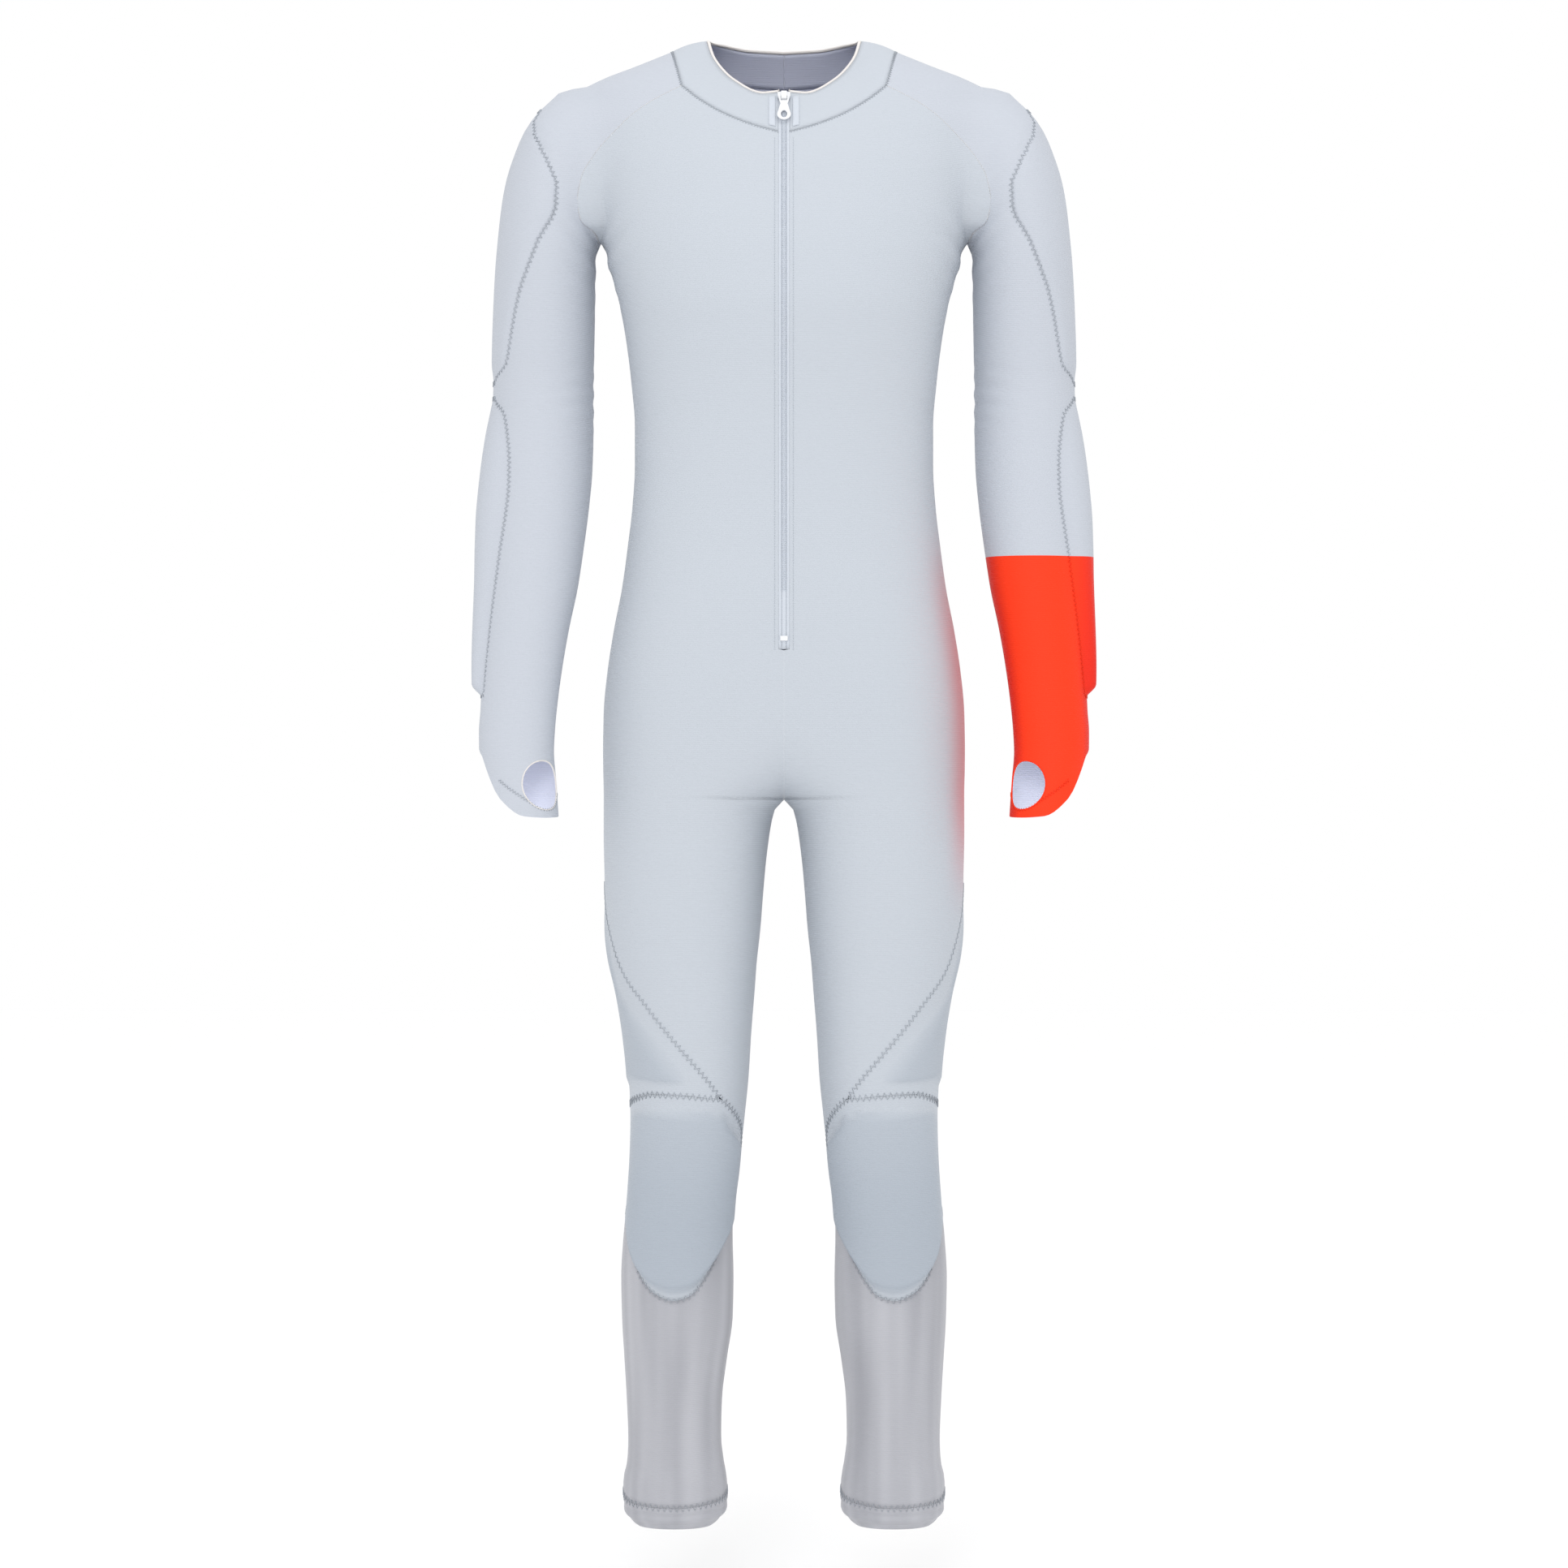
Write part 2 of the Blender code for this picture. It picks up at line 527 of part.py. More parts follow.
def add_object(name, vertices, faces, colour, group):
    """Closed mesh object with its own plain material."""
    mesh = bpy.data.meshes.new(name)
    mesh.from_pydata([tuple(v) for v in vertices], [], faces)
    shape = bmesh.new()
    shape.from_mesh(mesh)
    bmesh.ops.triangulate(shape, faces=shape.faces[:])
    shape.to_mesh(mesh)
    shape.free()
    item = bpy.data.objects.new(name, mesh)
    material = bpy.data.materials.new(name + "_mat")
    material.use_nodes = True
    shader = material.node_tree.nodes["Principled BSDF"]
    shader.inputs["Base Color"].default_value = colour
    shader.inputs["Roughness"].default_value = 0.7
    mesh.materials.append(material)
    group.objects.link(item)
    return item


def add_wall(name, grid, group, colour, mask=None, rise=None, thickness=CLOTH, lift=0.0,
             side=1, normals=None, field=suit_field, shut=False):
    """Cloth wall over the masked cells of a grid of points, on one side of the suit."""
    rows, cols = grid.shape[:2]
    points = grid.reshape(-1, 3)
    if normals is None:
        out = surface_normals(points, field)
    else:
        out = normals.reshape(-1, 3)
    cells = []
    last = cols if shut else cols - 1
    for r in range(rows - 1):
        for c in range(last):
            if mask is not None and not mask[r][c]:
                continue
            d = (c + 1) % cols
            cells.append((r * cols + c, (r + 1) * cols + c, (r + 1) * cols + d, r * cols + d))
    relief = None if rise is None else np.asarray(rise).reshape(-1)
    points = points.copy()
    out = out.copy()
    if side < 0:
        points[:, 0] *= -1.0
        out[:, 0] *= -1.0
        cells = [tuple(reversed(cell)) for cell in cells]
    vertices, faces = wall_mesh(points, out, cells, thickness, relief, lift)
    return add_object(name, vertices, faces, colour, group)


def raglan_points(sign):
    """Points of the front (-1) or back (+1) raglan seam, collar first."""
    first = 0 if sign < 0 else 3
    points = []
    for row in RAGLAN:
        x, z, tilt = row[first:first + 3]
        tilt = math.radians(tilt)
        heading = (0.0, sign * math.cos(tilt), -math.sin(tilt))
        points.append(look_out((x, 0.0, z), heading, suit_field)[0])
    points.append(look_out(UNDERARM, (0.0, 0.0, -1.0), suit_field)[0])
    return np.array(points)


def centre_x(z):
    """Distance of the cloth edge from the middle: the zip slot, then the centre seam."""
    return np.interp(z, (ZIP_BOTTOM - 0.0001, ZIP_BOTTOM), (0.0, ZIP_HALF))


def trunk_grid(sign):
    """Grid of one front (-1) or back (+1) wall, collar to thigh seam, middle to side."""
    angles = FRONT_ANGLES if sign < 0 else tuple(reversed(BACK_ANGLES))
    shares = np.abs(np.array(angles, dtype=float) - angles[0]) / 180.0
    raglan = raglan_points(sign)
    collar = COLLAR_FRONT if sign < 0 else tuple(reversed(COLLAR_BACK))
    rows = []
    xs = shares * collar[-1][0] + (1.0 - shares) * collar[0][0]
    zs = np.interp(xs, column(collar, 0), column(collar, 1))
    start = np.stack([xs, np.zeros_like(xs), zs], axis=1)
    top = look_out(start, (0.0, float(sign), 0.0), suit_field)
    rows.append(top)
    steps = len(RAGLAN)
    for i in range(1, steps):
        share = i / steps
        z = top[0][2] + (ARMPIT_Z - top[0][2]) * share
        x = ZIP_HALF if sign < 0 else 0.0
        middle = look_out((x, 0.0, z), (0.0, float(sign), 0.0), suit_field)[0]
        origin = np.array([0.0, 0.0, z + (raglan[i][2] - z) * 0.2])
        rows.append(row_fan(middle, raglan[i], origin, shares, suit_field))
    for z in BODY_LEVELS:
        centre, depth = body_section(np.array([z]))[:2]
        origin = np.array([centre[0], depth[0], z])
        middle = middle_point(z, sign)
        if z == BODY_LEVELS[0]:
            side = raglan[-1]
        else:
            side = leg_points([0.0], [z])[0]
        first = math.atan2(middle[1] - depth[0], middle[0] - centre[0])
        if sign > 0 and first < 0:
            first += 2.0 * math.pi
        if sign < 0 and first > 0:
            first -= 2.0 * math.pi
        row = leg_points(np.degrees(first * (1.0 - shares)), np.full(len(shares), z))
        row[0] = middle
        row[-1] = side
        rows.append(row)
    seam = seam_height(THIGH_SEAM, angles)
    for i in range(1, LEG_STEPS + 1):
        heights = CROTCH_Z + (seam - CROTCH_Z) * i / LEG_STEPS
        rows.append(leg_points(angles, heights))
    grid = np.array(rows)
    return grid if sign < 0 else grid[:, ::-1]


def middle_point(z, sign):
    """Point of the front or back centre line at a height above the crotch."""
    x = float(centre_x(z)) if sign < 0 else 0.0
    if z <= CROTCH_Z:
        depth = body_section(np.array([z]))[1][0]
        return np.array([0.0, depth, z])
    centre, depth, out, inner, front, back, square = (
        v[0] for v in body_section(np.array([z])))
    reach = out if x > centre else inner
    rest = max(1.0 - (abs(x - centre) / reach) ** square, 0.0) ** (1.0 / square)
    half = back if sign > 0 else front
    return np.array([x, depth + sign * half * rest, z])


def sleeve_grid():
    """Grid of one sleeve: rows from the collar to the cuff edge, columns round the arm."""
    front = raglan_points(-1)
    back = raglan_points(1)
    guard = np.array(GUARD_SHARES)
    side = np.linspace(0.0, 1.0, SLEEVE_SIDE_COLUMNS + 1)
    rows = []
    for i, (x, z, lean, half) in enumerate(SHOULDER_ROWS):
        origin = np.array([x, 0.004, z])
        lean = math.radians(lean)
        outward = np.array([math.cos(lean), 0.0, math.sin(lean)])
        across = np.array([0.0, 1.0, 0.0])
        third = np.cross(outward, across)
        ends = []
        for point in (front[i], back[i]):
            d = point - origin
            d = d / np.linalg.norm(d)
            flat = math.hypot(d @ outward, d @ across)
            ends.append((math.atan2(d @ across, d @ outward), (d @ third) / flat))
        half = math.radians(half)
        half = min(half, -ends[0][0] * 0.8, ends[1][0] * 0.8)
        angles = np.concatenate([
            ends[0][0] + (-half - ends[0][0]) * side[:-1],
            -half + 2.0 * half * guard,
            (half + (ends[1][0] - half) * side)[1:]])
        share_front = np.clip(angles / ends[0][0], 0.0, 1.0) ** 2
        share_back = np.clip(angles / ends[1][0], 0.0, 1.0) ** 2
        tilt = ends[0][1] * share_front + ends[1][1] * share_back
        heading = (np.cos(angles)[:, None] * outward + np.sin(angles)[:, None] * across
                   + tilt[:, None] * third)
        row = look_out(origin, heading, suit_field)
        row[0] = front[i]
        row[-1] = back[i]
        rows.append(row)
    for i, (z, half) in enumerate(SLEEVE_ROWS):
        angles = ring_angles(half, i / (len(SLEEVE_ROWS) - 1))
        ring = arm_points(angles, np.full(len(angles), z))
        if i == 0:
            ring[0] = front[-1]
            ring[-1] = front[-1]
        rows.append(ring)
    angles = ring_angles(SLEEVE_ROWS[-1][1], 1.0)
    top = SLEEVE_ROWS[-1][0]
    edge = np.interp(angles, column(CUFF_EDGE, 0), column(CUFF_EDGE, 1))
    for k, share in enumerate(CUFF_SHARES):
        heights = top + (edge - top) * share
        turned = angles.copy()
        place = k - (HOLE_ROWS[0] - 1)
        if 0 <= place < len(HOLE_RIM):
            for j, (angle, height) in enumerate(HOLE_RIM[place]):
                turned[HOLE_COLUMNS[0] + j] = angle
                heights[HOLE_COLUMNS[0] + j] = height
        rows.append(arm_points(turned, heights))
    return np.array(rows)


def ring_angles(half, share):
    """Column angles of a sleeve ring, turning into the cuff's columns near the end."""
    guard = np.array(GUARD_SHARES)
    side = np.linspace(0.0, 1.0, SLEEVE_SIDE_COLUMNS + 1)
    front = -180.0 + (180.0 - half) * side[:-1]
    blend = np.clip((share - 0.6) / 0.4, 0.0, 1.0)
    front = front * (1.0 - blend) + np.array(CUFF_FRONT_ANGLES[:-1]) * blend
    back = (half + (180.0 - half) * side)[1:]
    return np.concatenate([front, -half + 2.0 * half * guard, back])


def arm_points(angles, heights):
    """Points of the arm at the angles round its middle line."""
    angles = np.radians(np.asarray(angles, dtype=float))
    centre, middle, half, depth, square = arm_section(heights)
    c, s = np.cos(angles), np.sin(angles)
    radius = (np.abs(c) / half) ** square + (np.abs(s) / depth) ** square
    radius = radius ** (-1.0 / square)
    return np.stack([centre + radius * c, middle + radius * s, heights], axis=1)


def leg_grid(angles, top, bottom, shares):
    """Grid between two seams round the leg."""
    angles = np.asarray(angles, dtype=float)
    upper = seam_height(top, angles) if isinstance(top, tuple) else top
    lower = seam_height(bottom, angles) if isinstance(bottom, tuple) else bottom
    return np.array([leg_points(angles, upper + (lower - upper) * s) for s in shares])


def ramp(value, low, high):
    """Straight rise from 0 to 1 between two limits."""
    return np.clip((np.asarray(value, dtype=float) - low) / (high - low), 0.0, 1.0)


def build_trunk(group):
    """Fronts and backs, from the collar to the thigh."""
    for sign, word in ((-1, "front"), (1, "back")):
        grid = trunk_grid(sign)
        for side, hand in ((1, "left"), (-1, "right")):
            add_wall("%s_%s" % (word, hand), grid, group, GREY, side=side)


def build_legs(group):
    """Thigh guards, knee guards, shins and ankle bands."""
    ring = FRONT_ANGLES + BACK_ANGLES[1:-1]
    guard = [a for a in ring if GUARD_FIRST <= a <= GUARD_LAST]
    shares = np.linspace(0.0, 1.0, GUARD_STEPS + 1)
    thigh = leg_grid(guard, THIGH_SEAM, knee_heights(guard), shares)
    rise = np.zeros(thigh.shape[:2])
    for r, share in enumerate(shares):
        inside = ramp(share, 0.05, 0.3) * ramp(-share, -0.97, -0.8)
        rise[r] = THIGH_PAD * inside * ramp(-np.array(guard), -28, 0) * ramp(guard, -90, -60)
    knee = leg_grid(ring, knee_heights(ring), SHIN_SEAM, KNEE_SHARES)
    pad = np.zeros(knee.shape[:2])
    angles = np.array(ring, dtype=float)
    for r, share in enumerate(KNEE_SHARES):
        inside = ramp(share, 0.0, 0.08) * ramp(-share, -1.0, -0.91)
        pad[r] = KNEE_PAD * inside * ramp(angles, -180, -159) * ramp(-angles, 0, 32)
    shin = leg_grid(ring, SHIN_SEAM, BAND_SEAM, np.linspace(0.0, 1.0, SHIN_STEPS + 1))
    hem = np.full(len(ring), HEM_Z)
    band = leg_grid(ring, BAND_SEAM, hem, BAND_SHARES)
    for side, hand in ((1, "left"), (-1, "right")):
        add_wall("thigh_guard_" + hand, thigh, group, GREY, rise=rise, side=side,
                 field=body_field)
        add_wall("knee_guard_" + hand, knee, group, GREY, rise=pad, side=side,
                 field=body_field, shut=True)
        add_wall("shin_" + hand, shin, group, SHIN_GREY, side=side, field=body_field,
                 shut=True)
        add_wall("hem_" + hand, band, group, SHIN_GREY, side=side, field=body_field,
                 shut=True)


def build_sleeves(group):
    """Sleeves with their guards and thumb straps."""
    grid = sleeve_grid()
    rows, cols = grid.shape[0] - 1, grid.shape[1] - 1
    lead = len(SHOULDER_ROWS)
    first = SLEEVE_SIDE_COLUMNS
    last = first + len(GUARD_SHARES) - 1
    upper = np.zeros((rows, cols), dtype=bool)
    upper[GUARD_START_ROW:lead + UPPER_GUARD_END, first:last] = True
    lower = np.zeros((rows, cols), dtype=bool)
    lower[lead + FOREARM_FIRST:lead + FOREARM_LAST, first:last] = True
    cuff = lead + len(SLEEVE_ROWS) - 1
    hole = np.zeros((rows, cols), dtype=bool)
    hole[cuff + HOLE_ROWS[0]:cuff + HOLE_ROWS[-1] + 1,
         HOLE_COLUMNS[0]:HOLE_COLUMNS[-1] + 1] = True
    strap = np.zeros((rows, cols), dtype=bool)
    strap[cuff + len(CUFF_SHARES) - 1, STRAP_COLUMNS[0]:STRAP_COLUMNS[-1] + 1] = True
    main = ~(upper | lower | hole | strap)
    heights = grid[:, :, 2]
    rise = smooth(column(FOREARM_RISE, 0), column(FOREARM_RISE, 1) * MM, heights)
    thin = np.full(grid.shape[:2], ARM_PAD)
    for side, hand in ((1, "left"), (-1, "right")):
        add_wall("sleeve_" + hand, grid, group, GREY, mask=main, side=side)
        add_wall("arm_guard_" + hand, grid, group, GREY, mask=upper, rise=thin, side=side)
        add_wall("forearm_guard_" + hand, grid, group, GREY, mask=lower, rise=rise,
                 side=side)
        add_wall("thumb_strap_" + hand, grid, group, GREY, mask=strap, side=side)


def collar_lines():
    """Collar seam and neck edge on one side, front to back, at matching points."""
    front = trunk_grid(-1)[0]
    back = trunk_grid(1)[:, ::-1][0]
    over = sleeve_grid()[0]
    seam = np.vstack([front, over[1:-1], back[::-1]])
    bearing = np.degrees(np.arctan2(seam[:, 0], -seam[:, 1]))
    bearing = bearing * 180.0 / bearing[-1]
    angles = column(NECK_EDGE, 0)
    edge = np.stack([smooth(angles, column(NECK_EDGE, i), bearing) for i in (1, 2, 3)],
                    axis=1)
    edge[0, 0] = ZIP_HALF
    edge[-1, 0] = 0.0
    return seam, edge


def grid_normals(grid):
    """Outward directions of an open grid, from its own rows and columns."""
    down = np.gradient(grid, axis=0)
    along = np.gradient(grid, axis=1)
    normal = np.cross(down, along)
    return normal / np.linalg.norm(normal, axis=2, keepdims=True)


def collar_grid():
    """Grid of one half of the collar, neck edge first, with its outward directions."""
    seam, edge = collar_lines()
    shares = (0.0, 0.5, 1.0)
    grid = np.array([edge + (seam - edge) * s for s in shares])
    normals = grid_normals(grid)
    normals[:, (0, -1), 0] = 0.0
    normals = normals / np.linalg.norm(normals, axis=2, keepdims=True)
    for r, share in enumerate(shares):
        grid[r] = grid[r] + normals[r] * COLLAR_BULGE * 4.0 * share * (1.0 - share)
    normals[-1] = surface_normals(seam, suit_field)
    return grid, normals


def build_collar(group):
    """Collar halves and the binding over the neck edge."""
    grid, normals = collar_grid()
    for side, hand in ((1, "left"), (-1, "right")):
        add_wall("collar_" + hand, grid, group, GREY, side=side, normals=normals)
    edge = grid[0]
    out = normals[0]
    up = edge - grid[1]
    up = up / np.linalg.norm(up, axis=1, keepdims=True)
    gap = 2.0 * SEAM_HALF
    strip = np.array([edge + up * (gap + BINDING_HEIGHT), edge + up * gap])
    facing = np.array([out, out])
    mirror = np.array([-1.0, 1.0, 1.0])
    whole = np.concatenate([strip[:, :-1] * mirror, strip[:, -1:], strip[:, -2::-1]], axis=1)
    whole_out = np.concatenate(
        [facing[:, :-1] * mirror, facing[:, -1:], facing[:, -2::-1]], axis=1)
    add_wall("neck_binding", whole[:, ::-1], group, WHITE, normals=whole_out[:, ::-1],
             thickness=CLOTH + 2.0 * BINDING_LIFT, lift=BINDING_LIFT)


def zip_line():
    """Middle of the zip from the neck edge down, with directions out of the cloth."""
    grid, normals = collar_grid()
    body = trunk_grid(-1)
    points = list(grid[:, 0]) + [row[0] for row in body[1:] if row[0][2] >= ZIP_BOTTOM]
    points = np.array(points)
    points[:, 0] = 0.0
    along = np.gradient(points, axis=0)
    out = np.cross(along, (1.0, 0.0, 0.0))
    out = out / np.linalg.norm(out, axis=1, keepdims=True)
    out = out * np.sign(-out[:, 1:2])
    return points, out


def strip_grid(line, low, high):
    """Grid of a strip beside the zip's middle, between two distances from it."""
    shift = np.array([low, high])
    grid = np.repeat(line[:, None, :], len(shift), axis=1)
    grid[:, :, 0] = shift
    return grid


def build_zip(group):
    """Tapes, coil, bottom stop and the patches beside the slider."""
    line, out = zip_line()
    both = np.repeat(out[:, None, :], 2, axis=1)
    tape = strip_grid(line, CHAIN_HALF, ZIP_HALF)
    for side, hand in ((1, "left"), (-1, "right")):
        add_wall("zip_tape_" + hand, tape, group, TAPE, side=side, normals=both,
                 thickness=TRIM + TAPE_EXTRA)
    chain = strip_grid(line, -CHAIN_HALF, CHAIN_HALF)
    coil = add_wall("zip_chain", chain, group, TAPE, normals=both,
                    thickness=TRIM + CHAIN_RISE, lift=CHAIN_RISE)
    end = line[-1]
    half_x, half_z, depth = (0.5 * v for v in STOP_SIZE)
    y = end[1] - CHAIN_RISE - depth + STOP_SINK
    centre = np.array([0.0, y, end[2] + half_z + STOP_OFFSET])
    stop = add_block("stop_tool", centre, (half_x, depth, half_z), WHITE, group)
    join(coil, stop)
    grid, normals = collar_grid()
    for side, hand in ((1, "left"), (-1, "right")):
        patch = strip_between(grid, PATCH_INNER, PATCH_OUTER)
        flat = np.repeat(normals[:, :1], 2, axis=1)
        add_wall("zip_patch_" + hand, patch, group, TAPE, side=side, normals=flat,
                 thickness=TRIM, lift=TRIM + 2.0 * SKIN_LIFT)


def strip_between(grid, low, high):
    """Part of the collar grid between two distances from the middle."""
    rows = []
    for row in grid:
        near = row[:6]
        rows.append([np.array([np.interp(x, near[:, 0], near[:, i]) for i in range(3)])
                     for x in (low, high)])
    rows = np.array(rows)
    trimmed = rows.copy()
    trimmed[0] = rows[0] + (rows[1] - rows[0]) * 0.2
    trimmed[-1] = rows[-1] + (rows[-2] - rows[-1]) * 0.2
    return trimmed


def add_block(name, centre, half, colour, group):
    """Box with its faces along the axes."""
    hx, hy, hz = half
    corners = [(sx * hx, sy * hy, sz * hz)
               for sx in (-1, 1) for sy in (-1, 1) for sz in (-1, 1)]
    vertices = np.array(corners) + centre
    faces = [(0, 1, 3, 2), (4, 6, 7, 5), (0, 4, 5, 1), (2, 3, 7, 6), (0, 2, 6, 4),
             (1, 5, 7, 3)]
    return add_object(name, vertices, faces, colour, group)


def plate(outline, holes, low, high):
    """Flat plate with its holes, standing between two levels of its own frame."""
    loops = [outline] + list(holes)
    shape = bmesh.new()
    edges = []
    for loop in loops:
        verts = [shape.verts.new((x, y, low)) for x, y in loop]
        edges += [shape.edges.new((a, b)) for a, b in zip(verts, verts[1:] + verts[:1])]
    made = bmesh.ops.triangle_fill(shape, edges=edges, use_beauty=True)
    flat = [g for g in made["geom"] if isinstance(g, bmesh.types.BMFace)]
    raised = bmesh.ops.extrude_face_region(shape, geom=flat)
    verts = [g for g in raised["geom"] if isinstance(g, bmesh.types.BMVert)]
    bmesh.ops.translate(shape, verts=verts, vec=(0.0, 0.0, high - low))
    bmesh.ops.recalc_face_normals(shape, faces=shape.faces[:])
    return shape


def zip_frame():
    """Place and axes at the slider: across the zip, up along it, and out of it."""
    line, out = zip_line()
    top = line[0]
    lower = line[2]
    up = top - lower
    up = up / np.linalg.norm(up)
    outward = np.cross((1.0, 0.0, 0.0), up)
    outward = outward * math.copysign(1.0, -outward[1])
    centre = top - up * SLIDER_DROP + outward * (CHAIN_RISE + SLIDER_GAP)
    return centre, np.array([1.0, 0.0, 0.0]), up, outward


def place_shape(shape, centre, across, up, outward):
    """Vertices of a flat shape carried onto the zip."""
    shape.verts.ensure_lookup_table()
    vertices = np.array([centre + across * v.co.x + up * v.co.y + outward * v.co.z
                         for v in shape.verts])
    faces = [tuple(v.index for v in f.verts) for f in shape.faces]
    shape.free()
    return vertices, faces


def join(item, tool):
    """Join a second solid to an object for good."""
    weld = item.modifiers.new("join", "BOOLEAN")
    weld.operation = "UNION"
    weld.solver = "EXACT"
    weld.object = tool
    bpy.context.view_layer.update()
    finished = bpy.data.meshes.new_from_object(
        item.evaluated_get(bpy.context.evaluated_depsgraph_get()))
    item.modifiers.clear()
    old = item.data
    item.data = finished
    bpy.data.meshes.remove(old)
    bpy.data.objects.remove(tool)


def build_slider(group):
    """Slider of the zip, one moulded piece, and its swinging pull tab."""
    centre, across, up, outward = zip_frame()
    half = SLIDER_LENGTH / 2.0
    outline = [(-SLIDER_TOP_HALF, half), (-SLIDER_TOP_HALF, SLIDER_SHOULDER),
               (-SLIDER_END_HALF, -half), (SLIDER_END_HALF, -half),
               (SLIDER_TOP_HALF, SLIDER_SHOULDER), (SLIDER_TOP_HALF, half)]
    base = plate(outline, (), 0.0, SLIDER_THICK)
    vertices, faces = place_shape(base, centre, across, up, outward)
    slider = add_object("zip_slider", vertices, faces, WHITE, group)
    top = SLIDER_THICK + BRIDGE_HEIGHT
    low = SLIDER_THICK - BRIDGE_SINK
    end = half - BRIDGE_INSET
    inner = end - BRIDGE_FOOT
    profile = [(end, low), (end, top - BRIDGE_CORNER), (end - BRIDGE_CORNER, top),
               (-end + BRIDGE_CORNER, top), (-end, top - BRIDGE_CORNER), (-end, low),
               (-inner, low), (-inner, top - BRIDGE_THICK),
               (inner, top - BRIDGE_THICK), (inner, low)]
    arch = plate(profile, (), -BRIDGE_HALF, BRIDGE_HALF)
    vertices, faces = place_shape(arch, centre, up, outward, across)
    bridge = add_object("bridge_tool", vertices, faces, WHITE, group)
    join(slider, bridge)
    build_pull(group, centre, across, up, outward)


def build_pull(group, centre, across, up, outward):
    """Pull tab: a loop round the bridge, a plate and a ring at its end."""
    tie = SLIDER_THICK + (BRIDGE_HEIGHT - BRIDGE_THICK) / 2.0
    pivot = centre + outward * tie
    steps = RING_STEPS
    ring_y = -PULL_LENGTH + PULL_RING_HALF
    waist = -PULL_SLOT_LENGTH - PULL_TAPER
    outline = [(-PULL_ARM_HALF, PULL_PIN), (-PULL_ARM_HALF, -PULL_SLOT_LENGTH),
               (-PULL_NECK_HALF, waist)]
    for k in range(steps + 1):
        turn = math.pi * (1.0 + k / steps)
        outline.append((PULL_RING_HALF * math.cos(turn),
                        ring_y + PULL_RING_HALF * math.sin(turn)))
    outline += [(PULL_NECK_HALF, waist), (PULL_ARM_HALF, -PULL_SLOT_LENGTH),
                (PULL_ARM_HALF, PULL_PIN)]
    oval = [(PULL_HOLE[1] * math.cos(2 * math.pi * k / steps),
             ring_y + PULL_HOLE[0] * math.sin(2 * math.pi * k / steps))
            for k in range(steps)]
    slot = [(-PULL_SLOT_HALF, -PULL_PIN), (PULL_SLOT_HALF, -PULL_PIN),
            (PULL_SLOT_HALF, -PULL_SLOT_LENGTH), (-PULL_SLOT_HALF, -PULL_SLOT_LENGTH)]
    shape = plate(outline, (oval, slot), -PULL_PIN, PULL_PIN)
    vertices, faces = place_shape(shape, np.zeros(3), across, up, outward)
    tab = add_object("zip_pull", vertices, faces, WHITE, group)
    tab.location = tuple(pivot)
    return tab


def main():
    """Build the suit in its own collection."""
    for item in list(bpy.data.objects):
        bpy.data.objects.remove(item, do_unlink=True)
    group = bpy.data.collections.new("ski_race_suit")
    bpy.context.scene.collection.children.link(group)
    build_trunk(group)
    build_legs(group)
    build_sleeves(group)
    build_collar(group)
    build_zip(group)
    build_slider(group)


main()
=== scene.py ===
"""Looks of the ski race suit: stretched cloth shells, stitches, zip and studio."""

import json
import logging
import math
from dataclasses import dataclass, field as part_field
from enum import Enum
from typing import Callable

import bmesh
import bpy
import numpy as np
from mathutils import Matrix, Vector

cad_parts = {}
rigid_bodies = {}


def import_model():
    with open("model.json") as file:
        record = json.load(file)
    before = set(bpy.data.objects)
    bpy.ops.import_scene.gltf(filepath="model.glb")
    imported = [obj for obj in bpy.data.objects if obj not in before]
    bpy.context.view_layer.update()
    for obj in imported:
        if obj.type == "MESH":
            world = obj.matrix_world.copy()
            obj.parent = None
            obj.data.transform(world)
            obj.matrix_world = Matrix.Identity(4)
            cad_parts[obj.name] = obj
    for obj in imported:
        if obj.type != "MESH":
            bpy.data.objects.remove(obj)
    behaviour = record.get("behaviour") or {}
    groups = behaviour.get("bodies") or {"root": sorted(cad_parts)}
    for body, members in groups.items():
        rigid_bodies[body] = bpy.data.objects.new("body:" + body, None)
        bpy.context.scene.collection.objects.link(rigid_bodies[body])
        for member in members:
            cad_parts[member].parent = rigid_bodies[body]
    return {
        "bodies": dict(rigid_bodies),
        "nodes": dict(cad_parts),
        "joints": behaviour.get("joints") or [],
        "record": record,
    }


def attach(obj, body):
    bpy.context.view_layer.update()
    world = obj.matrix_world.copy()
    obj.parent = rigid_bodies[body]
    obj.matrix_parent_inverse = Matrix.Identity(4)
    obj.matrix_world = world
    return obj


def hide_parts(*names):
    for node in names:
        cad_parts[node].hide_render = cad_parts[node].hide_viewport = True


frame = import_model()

Array = np.ndarray
Item = bpy.types.Object
Nodes = bpy.types.Nodes
Links = bpy.types.NodeLinks
LOG = logging.getLogger("suit")
MM = 0.001
CLOTH = 1.3 * MM            # thickness of the body cloth
TRIM = 0.7 * MM             # thickness of tapes and patches
SEAM_HALF = 0.03 * MM       # half the gap between two sewn panels
STRETCH = 1.06              # how much the cloth is stretched when worn, by area
PROBE = 0.8 * MM            # how far apart the form is felt for its slope
RAY_STEP = 4.0 * MM         # step of the first search along a ray
FORK_REACH = 14.0 * MM      # how far from the fork the shading is taken from the form
SUIT = "suit"
PULL = "pull_tab"
ARMPIT_Z = -0.207           # height of the underarm point
CROTCH_Z = -0.7496          # height where the two legs part
HEM_Z = -1.4647             # free edge of the ankle band
ZIP_BOTTOM = -0.604         # lower end of the zip
ZIP_HALF = 5.4 * MM         # half the slot between the cloth edges along the zip
CHAIN_HALF = 2.1 * MM       # half the width of the closed coil
CHAIN_RISE = 1.1 * MM       # how far the coil stands over the tapes
